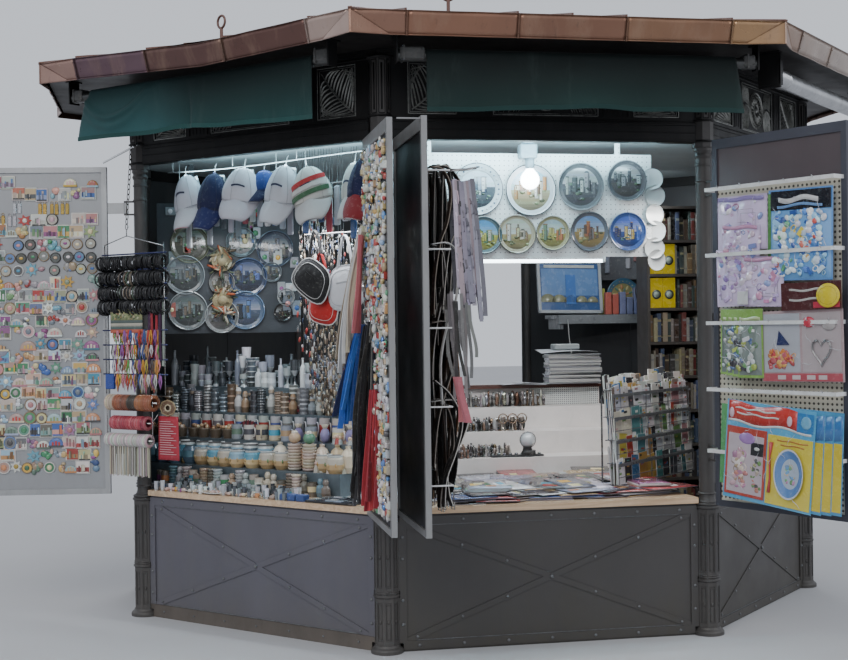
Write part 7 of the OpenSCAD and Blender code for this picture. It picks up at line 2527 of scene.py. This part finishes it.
# chain down from the stay's plate
for i in range(16):
    z = lerp(2.150, 2.560, i / 15)
    a = 0 if i % 2 else 90
    Q = F7 @ T3(.045, HY + .04 * max(0, (z - 2.15) / .41), z) @ rot(a, 'Z')
    gH.tube([(.008 * math.cos(t * .785), 0, .018 * math.sin(t * .785)) for t in range(8)], .0022, 5, Q, closed=True)
gH.mat, gH.col = M_, (.42, .42, .42)
gH.tube([HP(.045, 2.165), HP(.060, 2.150), HP(.045, 2.130), HP(.045, 2.095)], .003, 6, F7)
gH.tube([HP(-.13, 2.055), HP(.045, 2.100), HP(.325, 2.035)], .0028, 6, F7)
for x in (-.13, .325):
    gH.tube([HP(x, 2.055), HP(x, 1.235)], .0028, 6, F7)
for z in (2.00, 1.915, 1.835, 1.755, 1.585, 1.505, 1.425, 1.345):
    gH.mat, gH.col = G_, (.012, .020, .11)
    gH.tube([HP(-.15, z), HP(.345, z)], .0042, 6, F7)
# dark bangles in thick rows
for z in (1.985, 1.900, 1.820, 1.745):
    for i in range(66):
        x = -.16 + i * .0075 + rnd.uniform(-.003, .003)
        if z in (1.900, 1.820) and .0 < x < .14 and i % 2:
            c = jit(pick((.30, .29, .28), (.16, .12, .09), (.10, .14, .10)))
        else:
            c = jit((.007, .007, .009), .4)
        gH.mat, gH.col = pick(G_, L_), c
        r = rnd.uniform(.030, .041)
        Q = F7 @ T3(x, HY, z - r + .004) @ rot(90 + rnd.uniform(-22, 22), 'Z')
        gH.tube([(r * math.cos(t * math.pi / 7), 0, r * math.sin(t * math.pi / 7)) for t in range(14)], .0042, 5, Q, closed=True)
# woven flowered cloth band with stripes
bands = [(1.640, 1.700, (.30, .32, .16)), (1.624, 1.640, (.10, .13, .12)), (1.606, 1.624, (.46, .44, .36)), (1.590, 1.606, (.10, .14, .13)), (1.570, 1.590, (.50, .12, .07))]
for z0, z1, c in bands:
    gH.mat, gH.col = T_, c
    gH.grid(lambda u, v: (-.075 + .245 * u, HY - .016 - .003 * math.sin(u * 17), lerp(z0, z1, v)), 24, 2, F7, True, .003)
for i in range(60):
    gH.mat, gH.col = T_, jit(pick((.50, .46, .30), (.16, .22, .10), (.46, .30, .16), (.10, .13, .08)))
    gH.ball((rnd.uniform(-.07, .165), HY - .0185, rnd.uniform(1.645, 1.695)), rnd.uniform(.004, .009), F7, 6, 3, (1, .3, 1))
# bright plaited cords in loops
for z in (1.585, 1.505, 1.425, 1.345):
    for i in range(36):
        x = -.060 + i * .0098 + rnd.uniform(-.004, .004)
        c = jit(pick((.60, .58, .55), (.55, .06, .04), (.62, .28, .04), (.12, .36, .08), (.30, .10, .34), (.06, .10, .30), (.60, .50, .10), (.10, .09, .09), (.40, .24, .12), (.62, .22, .30)))
        gH.mat, gH.col = T_, c
        ln = rnd.uniform(.060, .105)
        y = rnd.uniform(-.022, .010)
        gH.tube([HP(x, z, y), HP(x - .006, z - ln * .5, y - .004), HP(x, z - ln, y), HP(x + .006, z - ln * .5, y + .003), HP(x + .002, z, y)], rnd.uniform(.0032, .0052), 5, F7)
# dark ribbon ties at the right, blue packet at the left
for i in range(8):
    hang_strap(gH, F7, .205 + i * .016, HY + rnd.uniform(-.01, .02), 1.735, rnd.uniform(1.36, 1.44), .016, jit(pick((.10, .012, .04), (.05, .01, .05), (.012, .012, .014), (.30, .34, .32), (.28, .02, .03))), .006, T_, .004)
gH.mat, gH.col = W_, (.02, .06, .32)
gH.box(-.12, -.055, HY - .02, HY + .004, 1.262, 1.345, F7, .005)
# three rolls of bangles on rods, a fringe under the last one
for z, x0, x1, cols, r in ((1.190, -.105, .240, [(.56, .46, .34), (.34, .12, .06), (.20, .07, .04), (.05, .04, .03), (.36, .14, .06), (.30, .10, .05)], .044),
                           (1.080, -.075, .195, [(.40, .05, .07), (.50, .12, .14), (.30, .03, .06), (.46, .08, .10)], .038),
                           (.985, -.120, .205, [(.62, .62, .58), (.50, .54, .44), (.56, .40, .46), (.64, .62, .60)], .036)):
    n = int((x1 - x0) / .0075)
    for i in range(n):
        gH.mat, gH.col = pick(L_, G_, C_), jit(cols[min(len(cols) - 1, int(len(cols) * i / n))] if r > .04 else pick(*cols), .2)
        gH.lathe([(r * .6, -.0034), (r, -.0034), (r * 1.03, 0), (r, .0034), (r * .6, .0034)], 14, F7 @ T3(x0 + (i + .5) * .0075, HY, z) @ rot(90, 'Y'))
    gH.mat, gH.col = M_, (.5, .5, .5)
    gH.tube([HP(x0 - .02, z), HP(x1 + .02, z)], .004, 6, F7)
for x in (-.125, .225):
    gH.mat, gH.col = M_, (.45, .45, .45)
    gH.tube([HP(x, 1.24), HP(x, .975)], .003, 5, F7)
for i in range(66):
    x = -.10 + i * .0046
    hang_strap(gH, F7, x, HY + rnd.uniform(-.014, .010), .955, rnd.uniform(.785, .80), .0072,
               jit(pick((.52, .50, .44), (.40, .42, .34), (.44, .32, .36), (.56, .54, .50), (.30, .28, .24), (.48, .42, .30))), .002, T_, .003, None, 6)
# red leaflet, a tray and a beaded bag beside them
gH.mat, gH.col = P_, (.42, .025, .045)
gH.grid(lambda u, v: (.235 + .155 * u, HY + .030 + .006 * math.sin(3 * u + v), lerp(.885, 1.120, v)), 8, 8, F7, True, .0015)
for i in range(15):
    gH.mat, gH.col = P_, (.60, .36, .38)
    gH.box(.250, .372 - .02 * (i % 3), HY + .0265, HY + .0285, .915 + i * .0125, .9185 + i * .0125, F7)
gH.mat, gH.col = M_, (.40, .40, .38)
gH.tube([HP(.240, 1.225, .03), HP(.385, 1.232, .03), HP(.385, 1.135, .03), HP(.240, 1.130, .03)], .0025, 5, F7, closed=True)
for i in range(4):
    gH.mat, gH.col = L_, jit(pick(*BROWNS))
    gH.tube([(.310 + (.022 + .012 * i) * math.cos(t * .785), HY + .03, 1.165 + (.018 + .008 * i) * math.sin(t * .785)) for t in range(8)], .004, 5, F7, closed=True)
gH.mat, gH.col = M_, (.42, .42, .42)
gH.tube([HP(.225, 1.09), HP(.240, 1.128, .03)], .0028, 5, F7)
gH.build("bracelet_hanger", GM, "kiosk")
# ------------------------------------------------------ stage, light, camera
def stage_mat(name, col, rough):
    t = NT(name)
    t.color(t.mix(t.noise(.8, 4), mul(col, .98), mul(col, 1.02)))
    t.rough(rough)
    return t.m


me = bpy.data.meshes.new("studio_floor")
S = 40.
me.from_pydata([(-S, -S, 0), (S, -S, 0), (S, S, 0), (-S, S, 0)], [], [(0, 1, 2, 3)])
me.materials.append(stage_mat("studio_floor_paint", (.52, .52, .53), .8))
floor = bpy.data.objects.new("studio_floor", me)
bpy.context.scene.collection.objects.link(floor)

world = bpy.data.worlds.new("studio_world")
bpy.context.scene.world = world
world.use_nodes = True
bg = world.node_tree.nodes["Background"]
bg.inputs[0].default_value = (.86, .91, 1., 1)
bg.inputs[1].default_value = .85


def area(name, loc, aim, size, power, col=(1, 1, 1), size_y=None):
    d = bpy.data.lights.new(name, 'AREA')
    d.energy = power
    d.color = col
    d.size = size
    if size_y:
        d.shape = 'RECTANGLE'
        d.size_y = size_y
    o = bpy.data.objects.new(name, d)
    o.location = loc
    o.rotation_euler = (Vector(aim) - Vector(loc)).to_track_quat('-Z', 'Y').to_euler()
    bpy.context.scene.collection.objects.link(o)
    return o


area("key_softbox", (-5.5, -9.5, 8.0), (-.3, -.8, 1.2), 6., 420., (1., .985, .96))
area("right_softbox", (8.0, -6.5, 6.0), (.6, -.6, 1.4), 5., 200., (.95, .97, 1.))
area("back_softbox", (1.5, 8.5, 6.5), (0, .5, 1.5), 5., 160., (1., 1., 1.))

def inner(name, k, x, y, z, up, sx, sy, power, col):
    """Soft strip inside the kiosk, itself unseen."""
    p = FM(k) @ Vector((x, y, z))
    q = FM(k) @ Vector((x, y + up[0], z + up[1]))
    o = area(name, p, q, sx, power, col, sy)
    d = Vector(q) - Vector(p)
    zax = -d.normalized()
    xax = (FM(k).to_3x3() @ Vector((1, 0, 0))).normalized()
    yax = zax.cross(xax)
    m = Matrix(((xax.x, yax.x, zax.x, p.x), (xax.y, yax.y, zax.y, p.y), (xax.z, yax.z, zax.z, p.z), (0, 0, 0, 1)))
    o.matrix_world = m
    o.visible_camera = False
    return o


inner("ceiling_wash_front", 0, .83, .16, 2.44, (.10, .30), 1.3, .10, 14., (.58, .88, 1.))
inner("ceiling_wash_left", 7, .83, .16, 2.44, (.10, .30), 1.3, .10, 12., (.58, .88, 1.))
inner("board_light_front", 0, .70, .14, 2.40, (.26, -.16), .5, .10, 2.6, (.66, .90, 1.))
inner("steps_light_front", 0, .95, .47, 1.90, (.55, -.80), 1.0, .06, 7.5, (.97, .97, 1.))
inner("rack_light", 1, .42, .20, 2.20, (.30, -.95), .80, .10, 8., (1., .97, .95))
inner("goods_light_left", 7, .75, .30, 2.12, (.20, -.95), 1.2, .10, 8.6, (.92, .95, 1.))
inner("shelf_light_rear", 0, 1.75, 1.50, 2.45, (.55, -.75), .5, .10, 5., (.90, .96, 1.))

cam_d = bpy.data.cameras.new("photo_camera")
cam_d.sensor_width = 36.
cam_d.sensor_fit = 'HORIZONTAL'
cam_d.lens = 1346.67 * 36. / 848.
cam_d.clip_start = .05
cam_d.clip_end = 200.
cam = bpy.data.objects.new("photo_camera", cam_d)
yaw, pitch, roll = .1854, -.0047, -.0131
F = Vector((math.sin(yaw) * math.cos(pitch), math.cos(yaw) * math.cos(pitch), math.sin(pitch)))
right = Vector((math.cos(yaw), -math.sin(yaw), 0))
up = right.cross(F)
R = math.cos(roll) * right + math.sin(roll) * up
U = -math.sin(roll) * right + math.cos(roll) * up
cam.matrix_world = Matrix(((R.x, U.x, -F.x, -1.7702), (R.y, U.y, -F.y, -7.9627), (R.z, U.z, -F.z, 1.6), (0, 0, 0, 1)))
bpy.context.scene.collection.objects.link(cam)
bpy.context.scene.camera = cam
